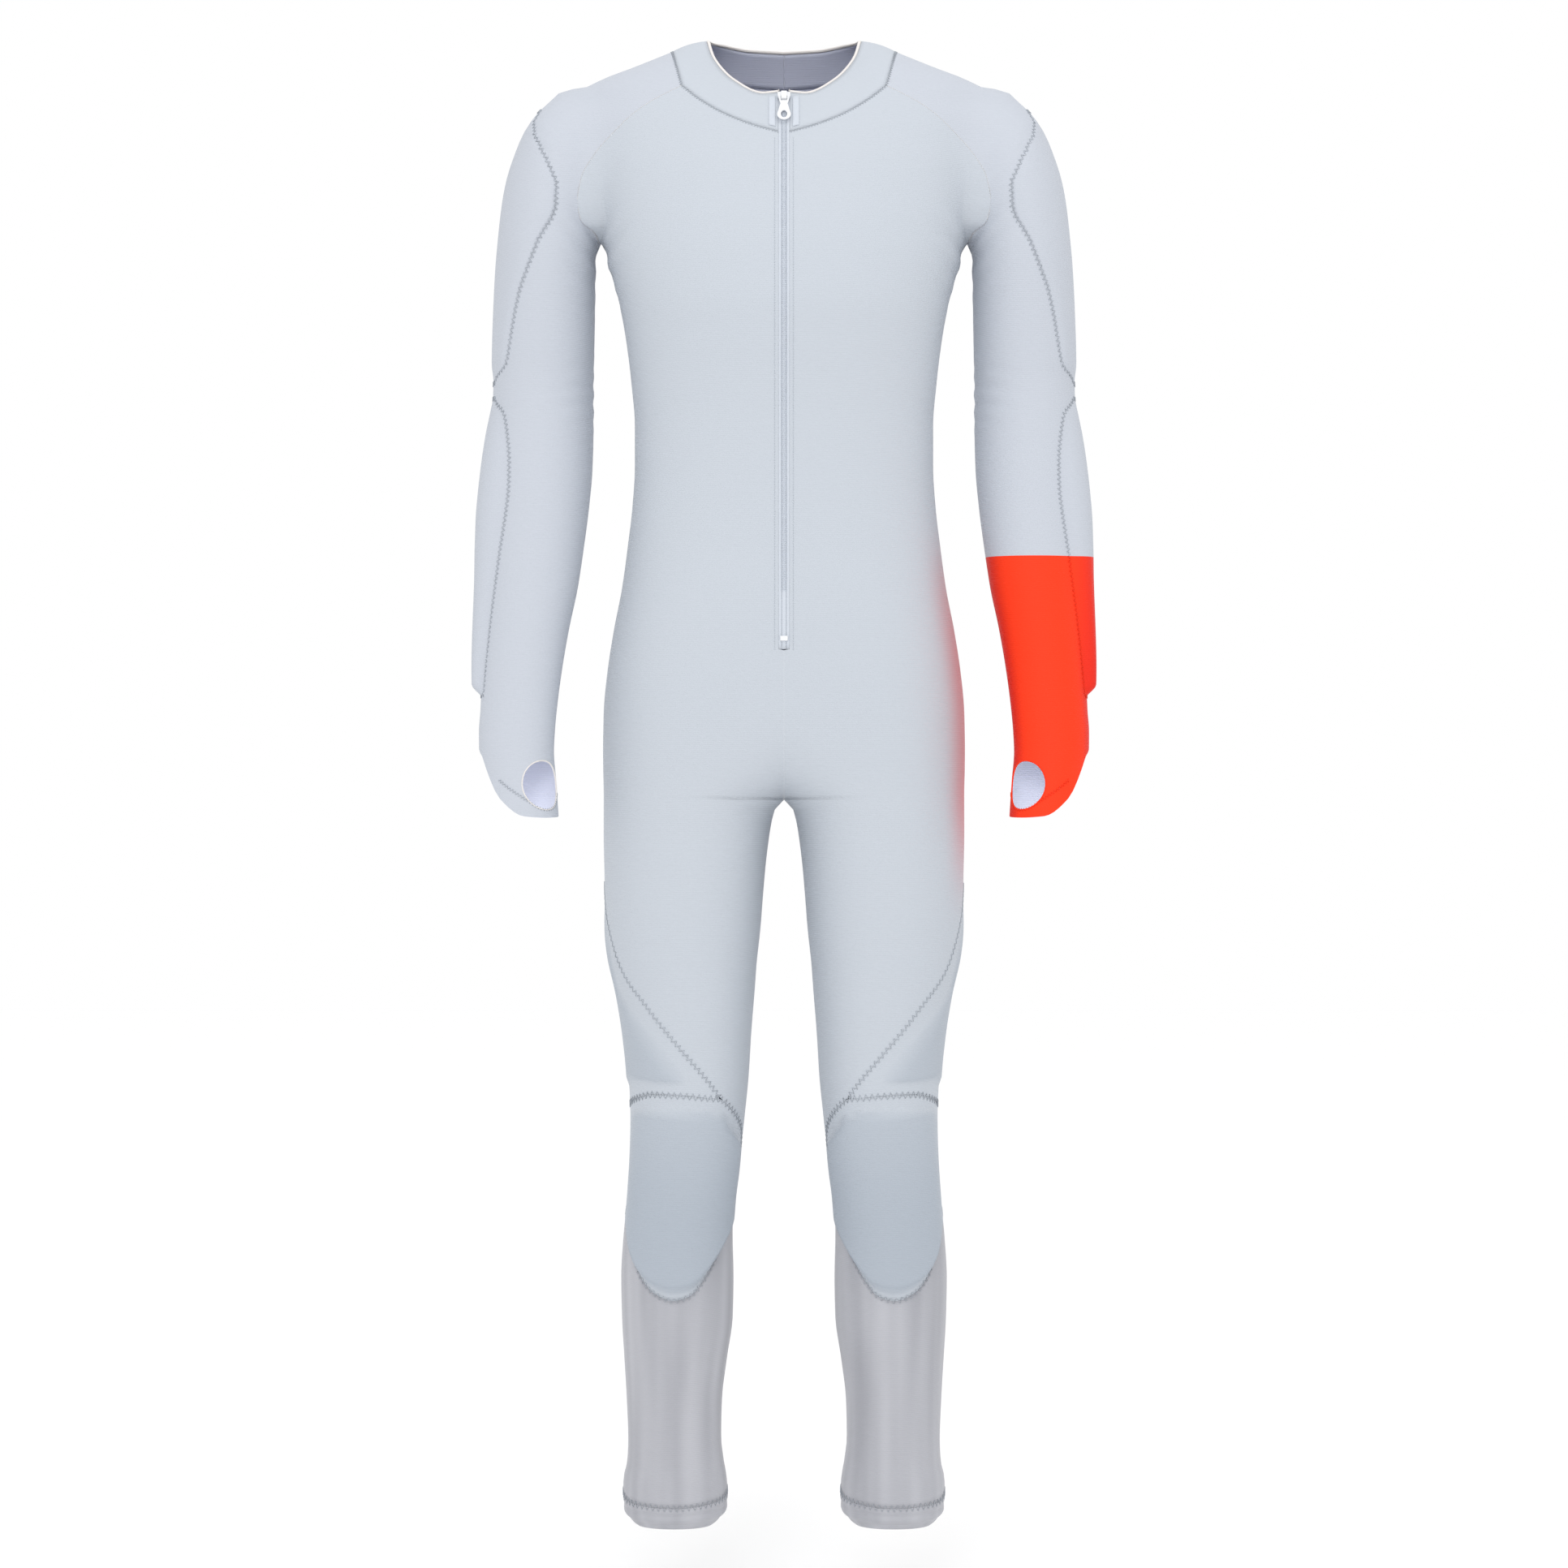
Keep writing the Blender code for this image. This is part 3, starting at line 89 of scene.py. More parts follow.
STOP_SIZE = (7.3 * MM, 4.8 * MM, 2.2 * MM)
STOP_SINK = 0.4 * MM        # how deep the stop is pressed into the coil
STOP_OFFSET = 8.0 * MM      # height of the stop over the zip's lower end

KNEE_PAD = 9.0 * MM         # rise of the knee pad over the cloth
THIGH_PAD = 2.5 * MM        # rise of the thin pad on the outer thigh
ARM_PAD = 2.0 * MM          # rise of the upper arm guard

# Columns round one half of the body, degrees: 0 is the outer side, -90 the front.
FRONT_ANGLES = (-180, -158, -137, -118, -97, -76, -56, -37, -18, 0)
BACK_ANGLES = (0, 14, 28, 42, 60, 80, 100, 120, 140, 160, 180)
GUARD_FIRST = -118          # the thigh guard runs between these two columns
GUARD_LAST = 42

# Half of the body and one leg, by height.
# height, outer side, section centre, inner reach, front, back, squareness
BODY = (
    (0.012, 0.052, 0.0, 0.500, -0.022, 0.047, 2.2),
    (0.000, 0.080, 0.0, 0.500, -0.030, 0.058, 2.2),
    (-0.0096, 0.107, 0.0, 0.500, -0.038, 0.066, 2.2),
    (-0.019, 0.130, 0.0, 0.500, -0.046, 0.074, 2.2),
    (-0.029, 0.155, 0.0, 0.500, -0.053, 0.081, 2.2),
    (-0.038, 0.179, 0.0, 0.500, -0.058, 0.087, 2.2),
    (-0.048, 0.198, 0.0, 0.500, -0.063, 0.092, 2.2),
    (-0.058, 0.209, 0.0, 0.500, -0.068, 0.097, 2.2),
    (-0.075, 0.209, 0.0, 0.500, -0.076, 0.103, 2.3),
    (-0.100, 0.201, 0.0, 0.500, -0.087, 0.110, 2.4),
    (-0.130, 0.194, 0.0, 0.500, -0.100, 0.115, 2.4),
    (-0.160, 0.187, 0.0, 0.500, -0.109, 0.118, 2.4),
    (-0.190, 0.180, 0.0, 0.500, -0.117, 0.120, 2.4),
    (-0.2216, 0.1732, 0.0, 0.500, -0.122, 0.119, 2.4),
    (-0.2616, 0.1620, 0.0, 0.500, -0.124, 0.114, 2.4),
    (-0.3016, 0.1548, 0.0, 0.500, -0.118, 0.107, 2.4),
    (-0.3416, 0.1500, 0.0, 0.500, -0.110, 0.099, 2.4),
    (-0.3816, 0.1468, 0.0, 0.500, -0.104, 0.092, 2.4),
    (-0.4216, 0.1468, 0.0, 0.500, -0.101, 0.088, 2.4),
    (-0.4616, 0.1492, 0.0, 0.500, -0.100, 0.088, 2.4),
    (-0.5016, 0.1540, 0.012, 0.500, -0.100, 0.093, 2.4),
    (-0.5416, 0.1596, 0.028, 0.500, -0.102, 0.101, 2.4),
    (-0.5816, 0.1676, 0.046, 0.500, -0.103, 0.111, 2.4),
    (-0.6216, 0.1740, 0.062, 0.490, -0.103, 0.120, 2.4),
    (-0.6616, 0.1780, 0.075, 0.460, -0.101, 0.127, 2.37),
    (-0.6800, 0.1785, 0.080, 0.350, -0.099, 0.127, 2.35),
    (-0.7000, 0.1788, 0.084, 0.218, -0.097, 0.126, 2.33),
    (-0.7200, 0.1786, 0.087, 0.153, -0.0945, 0.122, 2.31),
    (-0.7350, 0.1782, 0.0893, 0.118, -0.0925, 0.118, 2.29),
    (-0.7450, 0.1780, 0.0905, 0.0975, -0.0915, 0.1145, 2.28),
    (-0.7496, 0.1780, 0.091, 0.091, -0.091, 0.113, 2.275),
    (-0.7616, 0.1780, 0.0925, 0.0825, -0.090, 0.110, 2.26),
    (-0.7816, 0.1780, 0.0950, 0.0810, -0.088, 0.105, 2.24),
    (-0.8216, 0.1772, 0.098, 0.0792, -0.086, 0.098, 2.21),
    (-0.8616, 0.1764, 0.0992, 0.0772, -0.083, 0.093, 2.2),
    (-0.9016, 0.1724, 0.0992, 0.0732, -0.079, 0.089, 2.2),
    (-0.9416, 0.1636, 0.0964, 0.0672, -0.075, 0.085, 2.2),
    (-0.9816, 0.1572, 0.0948, 0.0624, -0.070, 0.080, 2.2),
    (-1.0216, 0.1532, 0.0940, 0.0592, -0.065, 0.074, 2.2),
    (-1.0616, 0.1516, 0.0952, 0.0564, -0.060, 0.069, 2.2),
    (-1.1016, 0.1524, 0.0980, 0.0544, -0.056, 0.066, 2.2),
    (-1.1416, 0.1548, 0.1020, 0.0528, -0.052, 0.068, 2.2),
    (-1.1816, 0.1588, 0.1048, 0.0540, -0.048, 0.076, 2.1),
    (-1.2216, 0.1612, 0.1056, 0.0556, -0.045, 0.083, 2.1),
    (-1.2616, 0.1604, 0.1056, 0.0548, -0.043, 0.082, 2.1),
    (-1.3016, 0.1580, 0.1072, 0.0508, -0.040, 0.075, 2.1),
    (-1.3416, 0.1556, 0.1084, 0.0472, -0.037, 0.066, 2.1),
    (-1.3816, 0.1540, 0.1080, 0.0460, -0.036, 0.059, 2.1),
    (-1.4016, 0.1548, 0.1072, 0.0476, -0.036, 0.057, 2.1),
    (-1.4216, 0.1588, 0.1076, 0.0512, -0.038, 0.058, 2.1),
    (-1.4416, 0.1588, 0.1072, 0.0516, -0.038, 0.058, 2.1),
    (-1.4512, 0.1568, 0.1074, 0.0494, -0.037, 0.056, 2.1),
    (-1.4580, 0.1530, 0.1076, 0.0452, -0.034, 0.052, 2.1),
    (-1.4647, 0.1450, 0.1078, 0.0370, -0.028, 0.045, 2.1),
)

# One arm, by height.
# height, outer side, inner side, middle depth, half depth, squareness
ARM = (
    (-0.0500, 0.2150, 0.2110, 0.004, 0.002, 2.0),
    (-0.0600, 0.2270, 0.2000, 0.004, 0.018, 2.0),
    (-0.0700, 0.2405, 0.1900, 0.004, 0.032, 2.0),
    (-0.0800, 0.2490, 0.1830, 0.004, 0.041, 2.1),
    (-0.0950, 0.2580, 0.1800, 0.004, 0.049, 2.1),
    (-0.1150, 0.2655, 0.1795, 0.004, 0.055, 2.1),
    (-0.1400, 0.2725, 0.1805, 0.005, 0.059, 2.1),
    (-0.1700, 0.2775, 0.1820, 0.006, 0.061, 2.1),
    (-0.2000, 0.2808, 0.1845, 0.007, 0.061, 2.1),
    (-0.2216, 0.2828, 0.1860, 0.008, 0.060, 2.1),
    (-0.2616, 0.2852, 0.1868, 0.011, 0.057, 2.1),
    (-0.3016, 0.2868, 0.1876, 0.014, 0.054, 2.1),
    (-0.3416, 0.2876, 0.1884, 0.016, 0.051, 2.1),
    (-0.3816, 0.2888, 0.1884, 0.014, 0.050, 2.1),
    (-0.4216, 0.2898, 0.1892, 0.009, 0.050, 2.1),
    (-0.4616, 0.2910, 0.1924, 0.002, 0.049, 2.1),
    (-0.5016, 0.2921, 0.1972, -0.006, 0.047, 2.1),
    (-0.5416, 0.2932, 0.2028, -0.015, 0.044, 2.1),
    (-0.5816, 0.2944, 0.2108, -0.024, 0.040, 2.1),
    (-0.6216, 0.2955, 0.2172, -0.033, 0.036, 2.1),
    (-0.6616, 0.2966, 0.2220, -0.041, 0.033, 2.1),
    (-0.6816, 0.2978, 0.2236, -0.045, 0.033, 2.1),
    (-0.7016, 0.2974, 0.2244, -0.049, 0.034, 2.1),
    (-0.7300, 0.2950, 0.2220, -0.054, 0.036, 2.1),
    (-0.7700, 0.2930, 0.2190, -0.060, 0.038, 2.1),
)

# Raglan seam, from the collar to the underarm point; both seams cross the body at the
# same stations.  Each point is looked up from inside, straight ahead or tilted down.
# front x, front height, front tilt, back x, back height, back tilt
RAGLAN = (
    (0.0999, -0.0540, 0.0, 0.0860, -0.0230, 0.0),
    (0.1304, -0.0697, 0.0, 0.1230, -0.0520, 0.0),
    (0.1618, -0.0946, 0.0, 0.1560, -0.0820, 0.0),
    (0.1842, -0.1184, 0.0, 0.1810, -0.1110, 0.0),
    (0.1980, -0.1426, 0.0, 0.1960, -0.1380, 0.0),
    (0.2017, -0.1643, 0.0, 0.2010, -0.1610, 0.0),
    (0.1980, -0.1750, 12.0, 0.1980, -0.1740, 12.0),
    (0.1865, -0.1750, 36.0, 0.1880, -0.1700, 28.0),
)
UNDERARM = (0.1805, 0.008, -0.150)
# How widely the arm and the trunk flow together, by height.
BLEND_HEIGHTS = (-0.214, -0.206, -0.190, -0.150)
BLEND_WIDTHS = (0.0005, 0.006, 0.026, 0.042)

# Sleeve rows over the shoulder: the point the row is looked up from and its outward lean.
# x, height, lean from level, guard half angle
SHOULDER_ROWS = (
    (0.0950, -0.0850, 78.0, 26.0),
    (0.1250, -0.1000, 70.0, 23.0),
    (0.1520, -0.1200, 60.0, 18.0),
    (0.1800, -0.1350, 46.0, 13.0),
    (0.2020, -0.1500, 32.0, 58.0),
    (0.2180, -0.1650, 19.0, 88.0),
    (0.2270, -0.1800, 9.0, 92.0),
    (0.2310, -0.1950, 3.0, 88.0),
)
GUARD_START_ROW = 3

# Sleeve rings below the underarm: height and the half angle of the guard columns.
SLEEVE_ROWS = (
    (-0.2070, 83.0), (-0.2270, 76.0), (-0.2500, 67.0), (-0.2750, 60.0), (-0.3000, 54.0),
    (-0.3220, 47.0), (-0.3390, 20.0), (-0.3540, 22.0), (-0.3700, 44.0), (-0.3900, 50.0),
    (-0.4150, 54.0), (-0.4450, 55.0), (-0.4750, 52.0), (-0.5050, 47.0), (-0.5350, 42.0),
    (-0.5650, 37.0), (-0.5950, 32.0), (-0.6200, 27.0), (-0.6370, 24.0), (-0.6480, 22.0),
    (-0.6620, 26.0),
)
UPPER_GUARD_END = 6         # row of SLEEVE_ROWS where the upper arm guard stops
FOREARM_FIRST = 7           # rows between which the forearm guard lies
FOREARM_LAST = 19

# How far the forearm guard stands out, by height.
# height, rise in millimetres
FOREARM_RISE = (
    (-0.354, 0.0), (-0.370, 2.8), (-0.390, 6.2), (-0.415, 9.2), (-0.445, 11.5),
    (-0.475, 12.7), (-0.505, 12.4), (-0.535, 11.6), (-0.595, 11.1), (-0.637, 9.6),
    (-0.648, 0.0),
)
GUARD_SHARES = (0.0, 0.13, 0.34, 0.5, 0.66, 0.87, 1.0)
SLEEVE_SIDE_COLUMNS = 5

# The cuff below the last sleeve ring: share of the way down to the free edge.
CUFF_SHARES = (0.22, 0.47, 0.63, 0.79, 1.0)
CUFF_FRONT_ANGLES = (-180, -171, -135, -98, -62, -28)
HOLE_COLUMNS = (1, 2)
HOLE_ROWS = (2, 3)
STRAP_COLUMNS = (0, 1, 2, 3)
# angle, height of the free edge
CUFF_EDGE = (
    (-180, -0.7650), (-171, -0.7660), (-135, -0.7665), (-98, -0.7650), (-76, -0.7630),
    (-62, -0.7480), (-28, -0.7080), (0, -0.7000), (28, -0.7080), (62, -0.7360),
    (98, -0.7520), (135, -0.7600), (180, -0.7650),
)
# Rim of the thumb hole, by row: angle and height at its inner, middle and front column.
HOLE_RIM = (
    ((-152, -0.7200), (-130, -0.7112), (-104, -0.7180)),
    ((-174, -0.7330), (-135, -0.7340), (-98, -0.7300)),
    ((-150, -0.7520), (-130, -0.7590), (-103, -0.7490)),
)

# Seams round the leg: angle and height.
THIGH_SEAM = (
    (-180, -1.1000), (-172, -1.0896), (-160, -1.0736), (-137, -1.0544), (-118, -1.0384),
    (-106, -1.0224), (-91, -1.0008), (-74, -0.9736), (-58, -0.9464), (-42, -0.9224),
    (-30, -0.8928), (-19, -0.8656), (0, -0.8328), (14, -0.8600), (28, -0.9300),
    (42, -1.0450), (60, -1.0560), (100, -1.0760), (140, -1.0920), (180, -1.1000),
)
KNEE_SEAM = (
    (-180, -1.1000), (-172, -1.0896), (-160, -1.0736), (-137, -1.0544), (-118, -1.0408),
    (-107, -1.0400), (-86, -1.0376), (-60, -1.0368), (-35, -1.0424), (0, -1.0496),
    (28, -1.0500), (42, -1.0478), (60, -1.0560), (100, -1.0760), (140, -1.0920),
    (180, -1.1000),
)
SHIN_SEAM = (
    (-180, -1.1480), (-172, -1.1512), (-150, -1.1672), (-131, -1.1952), (-115, -1.2200),
    (-102, -1.2352), (-87, -1.2392), (-72, -1.2336), (-58, -1.2200), (-47, -1.2008),
    (-35, -1.1760), (0, -1.1544), (40, -1.1450), (140, -1.1450), (180, -1.1480),
)
BAND_SEAM = (
    (-180, -1.4300), (-150, -1.4380), (-90, -1.4430), (-30, -1.4400), (0, -1.4320),
    (90, -1.4300), (180, -1.4300),
)
KNEE_SHARES = (0.0, 0.08, 0.25, 0.42, 0.59, 0.76, 0.91, 1.0)
# Upper edge of the knee pad: angle and height.
PAD_TOP = (
    (-180, -1.0980), (-150, -1.0830), (-135, -1.0720), (-120, -1.0570), (-105, -1.0520),
    (-60, -1.0510), (-30, -1.0560), (0, -1.0600), (180, -1.0980),
)
# Front edge of the thigh pad: height and distance from the suit's middle plane.
PAD_EDGE = (
    (-1.0272, 0.0975), (-1.0168, 0.0964), (-1.0032, 0.1044), (-0.9736, 0.1316),
    (-0.9408, 0.1580), (-0.9144, 0.1676), (-0.8900, 0.1790),
)
PAD_FOOT = -1.0262          # lower edge of the thigh pad
SHIN_STEPS = 8
BAND_SHARES = (0.0, 0.4, 0.75, 1.0)
GUARD_STEPS = 6

# Rows of the body walls below the underarm, down to the crotch.
BODY_LEVELS = (
    -0.2070, -0.2260, -0.2550, -0.2850, -0.3150, -0.3450, -0.3750, -0.4050, -0.4350,
    -0.4650, -0.4950, -0.5250, -0.5550, -0.5800, -0.6040, -0.6080, -0.6350, -0.6620,
    -0.6880, -0.7120, -0.7320, -0.7496,
)
LEG_STEPS = 9

# Neck edge, by bearing from the front: bearing, x, y, height.
NECK_EDGE = (
    (0, 0.0000, -0.0630, -0.0605), (20, 0.0200, -0.0600, -0.0620),
    (50, 0.0510, -0.0430, -0.0455), (75, 0.0712, -0.0190, -0.0184),
    (92, 0.0764, 0.0040, -0.0008), (120, 0.0640, 0.0370, 0.0000),
    (150, 0.0350, 0.0570, -0.0030), (180, 0.0000, 0.0630, -0.0043),
)
# Collar seam on the front: x and height.
COLLAR_FRONT = (
    (0.0054, -0.1034), (0.0300, -0.0960), (0.0580, -0.0840), (0.0820, -0.0690),
    (0.0999, -0.0540),
)
COLLAR_BACK = (
    (0.0860, -0.0230), (0.0600, -0.0300), (0.0300, -0.0350), (0.0, -0.0370),
)

# Zip slider and its pull tab, laid along the zip.
SLIDER_LENGTH = 11.0 * MM
SLIDER_GAP = 1.3 * MM       # height of the slider over the coil where the cloth is bowed
SLIDER_TOP_HALF = 6.2 * MM
SLIDER_END_HALF = 4.2 * MM
SLIDER_THICK = 2.0 * MM
BRIDGE_HALF = 2.8 * MM
BRIDGE_THICK = 1.4 * MM
BRIDGE_HEIGHT = 3.6 * MM
PULL_PIN = 0.7 * MM         # radius of the round end that turns under the bridge
PULL_LENGTH = 30.0 * MM
PULL_ARM_HALF = 4.6 * MM    # half width where the two arms pass the bridge
PULL_SLOT_HALF = 3.2 * MM
PULL_SLOT_LENGTH = 6.6 * MM
PULL_NECK_HALF = 3.4 * MM
PULL_RING_HALF = 6.7 * MM
PULL_HOLE = (4.5 * MM, 3.0 * MM)

# Section of the binding over the neck edge, millimetres: outwards and upwards.
BINDING_PROFILE = (
    (-1.7, 0.3), (-1.9, 1.6), (-1.3, 2.9), (-0.5, 3.4), (0.3, 2.9), (0.6, 1.6), (0.4, 0.3),
)

TOPSTITCH_OUT = 9.0 * MM    # distance of the topstitch from the middle
TOOTH_OUT = 1.15 * MM       # distance of the coil's turns from the middle
FLOOR_DROP = 0.09           # height of the hem over the floor
CAMERA_PLACE = (0.0, -4.5, -0.734)
CAMERA_ANGLE = 19.5

# Patches beside the slider: distance from the middle, share of the collar height.
PATCH_INNER = 8.2 * MM
PATCH_OUTER = 14.8 * MM


def column(table: tuple, index: int) -> Array:
    """One named column of a table as an array."""
    return np.array([row[index] for row in table], dtype=float)


def smooth(stations: Array, values: Array, at: Array) -> Array:
    """Smooth curve through the table's points, without overshoot between them.

    Args:
        stations: places of the known values.
        values: the known values.
        at: where values are wanted.

    Returns:
        The curve's values there.
    """
    stations = np.asarray(stations, dtype=float)
    values = np.asarray(values, dtype=float)
    if stations[0] > stations[-1]:
        stations = stations[::-1]
        values = values[::-1]
    at = np.clip(np.asarray(at, dtype=float), stations[0], stations[-1])
    step = np.diff(stations)
    slope = np.diff(values) / step
    tangent = np.empty_like(values)
    tangent[0] = slope[0]
    tangent[-1] = slope[-1]
    left, right = slope[:-1], slope[1:]
    flat = left * right <= 0.0
    safe = np.where(flat, 1.0, left + right)
    tangent[1:-1] = np.where(flat, 0.0, 2.0 * left * right / safe)
    place = np.clip(np.searchsorted(stations, at) - 1, 0, len(step) - 1)
    share = (at - stations[place]) / step[place]
    a = values[place]
    b = values[place + 1]
    ta = tangent[place] * step[place]
    tb = tangent[place + 1] * step[place]
    s2 = share * share
    s3 = s2 * share
    return ((2 * s3 - 3 * s2 + 1) * a + (s3 - 2 * s2 + share) * ta
            + (-2 * s3 + 3 * s2) * b + (s3 - s2) * tb)


def body_section(z: Array) -> tuple:
    """Centre, reaches and squareness of the half-body section at the heights.

    Args:
        z: heights.

    Returns:
        Centre, middle depth, reach out, in, front and back, squareness.
    """
    heights = column(BODY, 0)
    outer, centre, inner, front, back, square = (
        smooth(heights, column(BODY, i), z) for i in range(1, 7))
    middle = 0.5 * (front + back)
    return centre, middle, outer - centre, inner, middle - front, back - middle, square


def arm_section(z: Array) -> tuple:
    """Centre, half width, half depth and squareness of the arm section.

    Args:
        z: heights.

    Returns:
        Centre, middle depth, half width, half depth, squareness.
    """
    heights = column(ARM, 0)
    outer, inner, middle, depth, square = (
        smooth(heights, column(ARM, i), z) for i in range(1, 6))
    return 0.5 * (outer + inner), middle, 0.5 * (outer - inner), depth, square


def rounded_distance(dx: Array, dy: Array, reach_x: Array, reach_y: Array,
                     square: Array) -> Array:
    """Distance outside an oval, measured along the line from its centre.

    Args:
        dx: distance from the centre across.
        dy: distance from the centre in depth.
        reach_x: half width.
        reach_y: half depth.
        square: squareness.

    Returns:
        The distances.
    """
    dist = np.hypot(dx, dy)
    norm = ((np.abs(dx) / reach_x) ** square + (np.abs(dy) / reach_y) ** square)
    norm = np.maximum(norm, 1e-12) ** (1.0 / square)
    return dist - dist / norm


def body_field(p: Array) -> Array:
    """Signed distance of points from the trunk and legs.

    Args:
        p: points, one a row.

    Returns:
        The distances.
    """
    centre, middle, out, inner, front, back, square = body_section(p[:, 2])
    dx = np.abs(p[:, 0]) - centre
    dy = p[:, 1] - middle
    return rounded_distance(dx, dy, np.where(dx > 0, out, inner),
                            np.where(dy > 0, back, front), square)


def arm_field(p: Array) -> Array:
    """Signed distance of points from the arms, with a domed top.

    Args:
        p: points, one a row.

    Returns:
        The distances.
    """
    centre, middle, half, depth, square = arm_section(p[:, 2])
    dist = rounded_distance(np.abs(p[:, 0]) - centre, p[:, 1] - middle, half, depth, square)
    return dist + np.maximum(p[:, 2] - ARM[0][0], 0.0) * 4.0


def suit_field(p: Array) -> Array:
    """Trunk and arms flowing into one another above the underarm.

    Args:
        p: points, one a row.

    Returns:
        The distances.
    """
    trunk = body_field(p)
    arm = arm_field(p)
    blend = np.interp(p[:, 2], BLEND_HEIGHTS, BLEND_WIDTHS)
    mix = np.maximum(blend - np.abs(trunk - arm), 0.0) / blend
    return np.minimum(trunk, arm) - mix * mix * blend * 0.25


def look_out(start: Array, heading: Array, field: Callable) -> Array:
    """First points where rays from inside meet the surface.

    Args:
        start: where the rays start.
        heading: directions of the rays.
        field: signed distance of points from the surface.

    Returns:
        The points.
    """
    start = np.atleast_2d(np.asarray(start, dtype=float))
    heading = np.atleast_2d(np.asarray(heading, dtype=float))
    count = max(len(start), len(heading))
    start = np.broadcast_to(start, (count, 3))
    heading = np.broadcast_to(heading, (count, 3))
    heading = heading / np.linalg.norm(heading, axis=1, keepdims=True)
    near = np.zeros(count)
    far = np.full(count, np.nan)
    for i in range(1, 90):
        reach = i * RAY_STEP
        value = field(start + heading * reach)
        hit = np.isnan(far) & (value > 0.0)
        far[hit] = reach
        near[np.isnan(far)] = reach
    far = np.where(np.isnan(far), near, far)
    near = far - RAY_STEP
    for _ in range(26):
        mid = 0.5 * (near + far)
        outside = field(start + heading * mid[:, None]) > 0.0
        far = np.where(outside, mid, far)
        near = np.where(outside, near, mid)
    return start + heading * far[:, None]


def surface_normals(points: Array, field: Callable) -> Array:
    """Outward directions of the surface at the points.

    Args:
        points: points, one a row.
        field: signed distance of points from the surface.

    Returns:
        Directions of length 1.
    """
    grads = []
    for axis in range(3):
        shift = np.zeros(3)
        shift[axis] = PROBE
        grads.append(field(points + shift) - field(points - shift))
    grad = np.stack(grads, axis=1)
    return grad / np.linalg.norm(grad, axis=1, keepdims=True)


def leg_points(angles: Array, heights: Array) -> Array:
    """Points of the trunk or leg at the angles round its section centre.

    Args:
        angles: angles in degrees.
        heights: heights.

    Returns:
        The points.
    """
    angles = np.radians(np.asarray(angles, dtype=float))
    heights = np.asarray(heights, dtype=float)
    centre, middle, out, inner, front, back, square = body_section(heights)
    c, s = np.cos(angles), np.sin(angles)
    reach_x = np.where(c > 0, out, inner)
    reach_y = np.where(s > 0, back, front)
    radius = ((np.abs(c) / reach_x) ** square + (np.abs(s) / reach_y) ** square)
    radius = radius ** (-1.0 / square)
    x = np.maximum(centre + radius * c, 0.0)
    return np.stack([x, middle + radius * s, heights], axis=1)


def seam_height(table: tuple, angles: Array) -> Array:
    """Height of a seam round the leg at the angles."""
    return smooth(column(table, 0), column(table, 1), angles)


def knee_heights(angles: Array) -> Array:
    """Height of the seam over the knee guard: its own under the thigh guard.

    Args:
        angles: angles in degrees.

    Returns:
        The heights.
    """
    angles = np.asarray(angles, dtype=float)
    under = (angles >= GUARD_FIRST) & (angles <= GUARD_LAST)
    return np.where(under, seam_height(KNEE_SEAM, angles), seam_height(THIGH_SEAM, angles))


def row_fan(start: Array, end: Array, origin: Array, shares: Array, field: Callable) -> Array:
    """Row of surface points between two of its points, seen from inside.

    Args:
        start: first point.
        end: last point.
        origin: point inside that the row is seen from.
        shares: share of the way of each column.
        field: signed distance of points from the surface.

    Returns:
        The row.
    """
    first = np.asarray(start) - origin
    last = np.asarray(end) - origin
    first = first / np.linalg.norm(first)
    last = last / np.linalg.norm(last)
    turn = math.acos(max(-1.0, min(1.0, float(first @ last))))
    shares = np.asarray(shares, dtype=float)[:, None]
    heading = (np.sin((1 - shares) * turn) * first + np.sin(shares * turn) * last)
    row = look_out(np.asarray(origin), heading / math.sin(turn), field)
    row[0] = start
    row[-1] = end
    return row


def centre_x(z: float) -> float:
    """Distance of the cloth edge from the middle: the zip slot, then the centre seam."""
    return np.interp(z, (ZIP_BOTTOM - 0.0001, ZIP_BOTTOM), (0.0, ZIP_HALF))


def middle_point(z: float, sign: int) -> Array:
    """Point of the front or back centre line at a height above the crotch.

    Args:
        z: height.
        sign: -1 for the front, 1 for the back.

    Returns:
        The point.
    """
    x = float(centre_x(z)) if sign < 0 else 0.0
    if z <= CROTCH_Z:
        depth = body_section(np.array([z]))[1][0]
        return np.array([0.0, depth, z])
    centre, depth, out, inner, front, back, square = (
        v[0] for v in body_section(np.array([z])))
    reach = out if x > centre else inner
    rest = max(1.0 - (abs(x - centre) / reach) ** square, 0.0) ** (1.0 / square)
    half = back if sign > 0 else front
    return np.array([x, depth + sign * half * rest, z])


def arm_points(angles: Array, heights: Array) -> Array:
    """Points of the arm at the angles round its middle line.

    Args:
        angles: angles in degrees.
        heights: heights.

    Returns:
        The points.
    """
    angles = np.radians(np.asarray(angles, dtype=float))
    centre, middle, half, depth, square = arm_section(heights)
    c, s = np.cos(angles), np.sin(angles)
    radius = (np.abs(c) / half) ** square + (np.abs(s) / depth) ** square
    radius = radius ** (-1.0 / square)
    return np.stack([centre + radius * c, middle + radius * s, heights], axis=1)


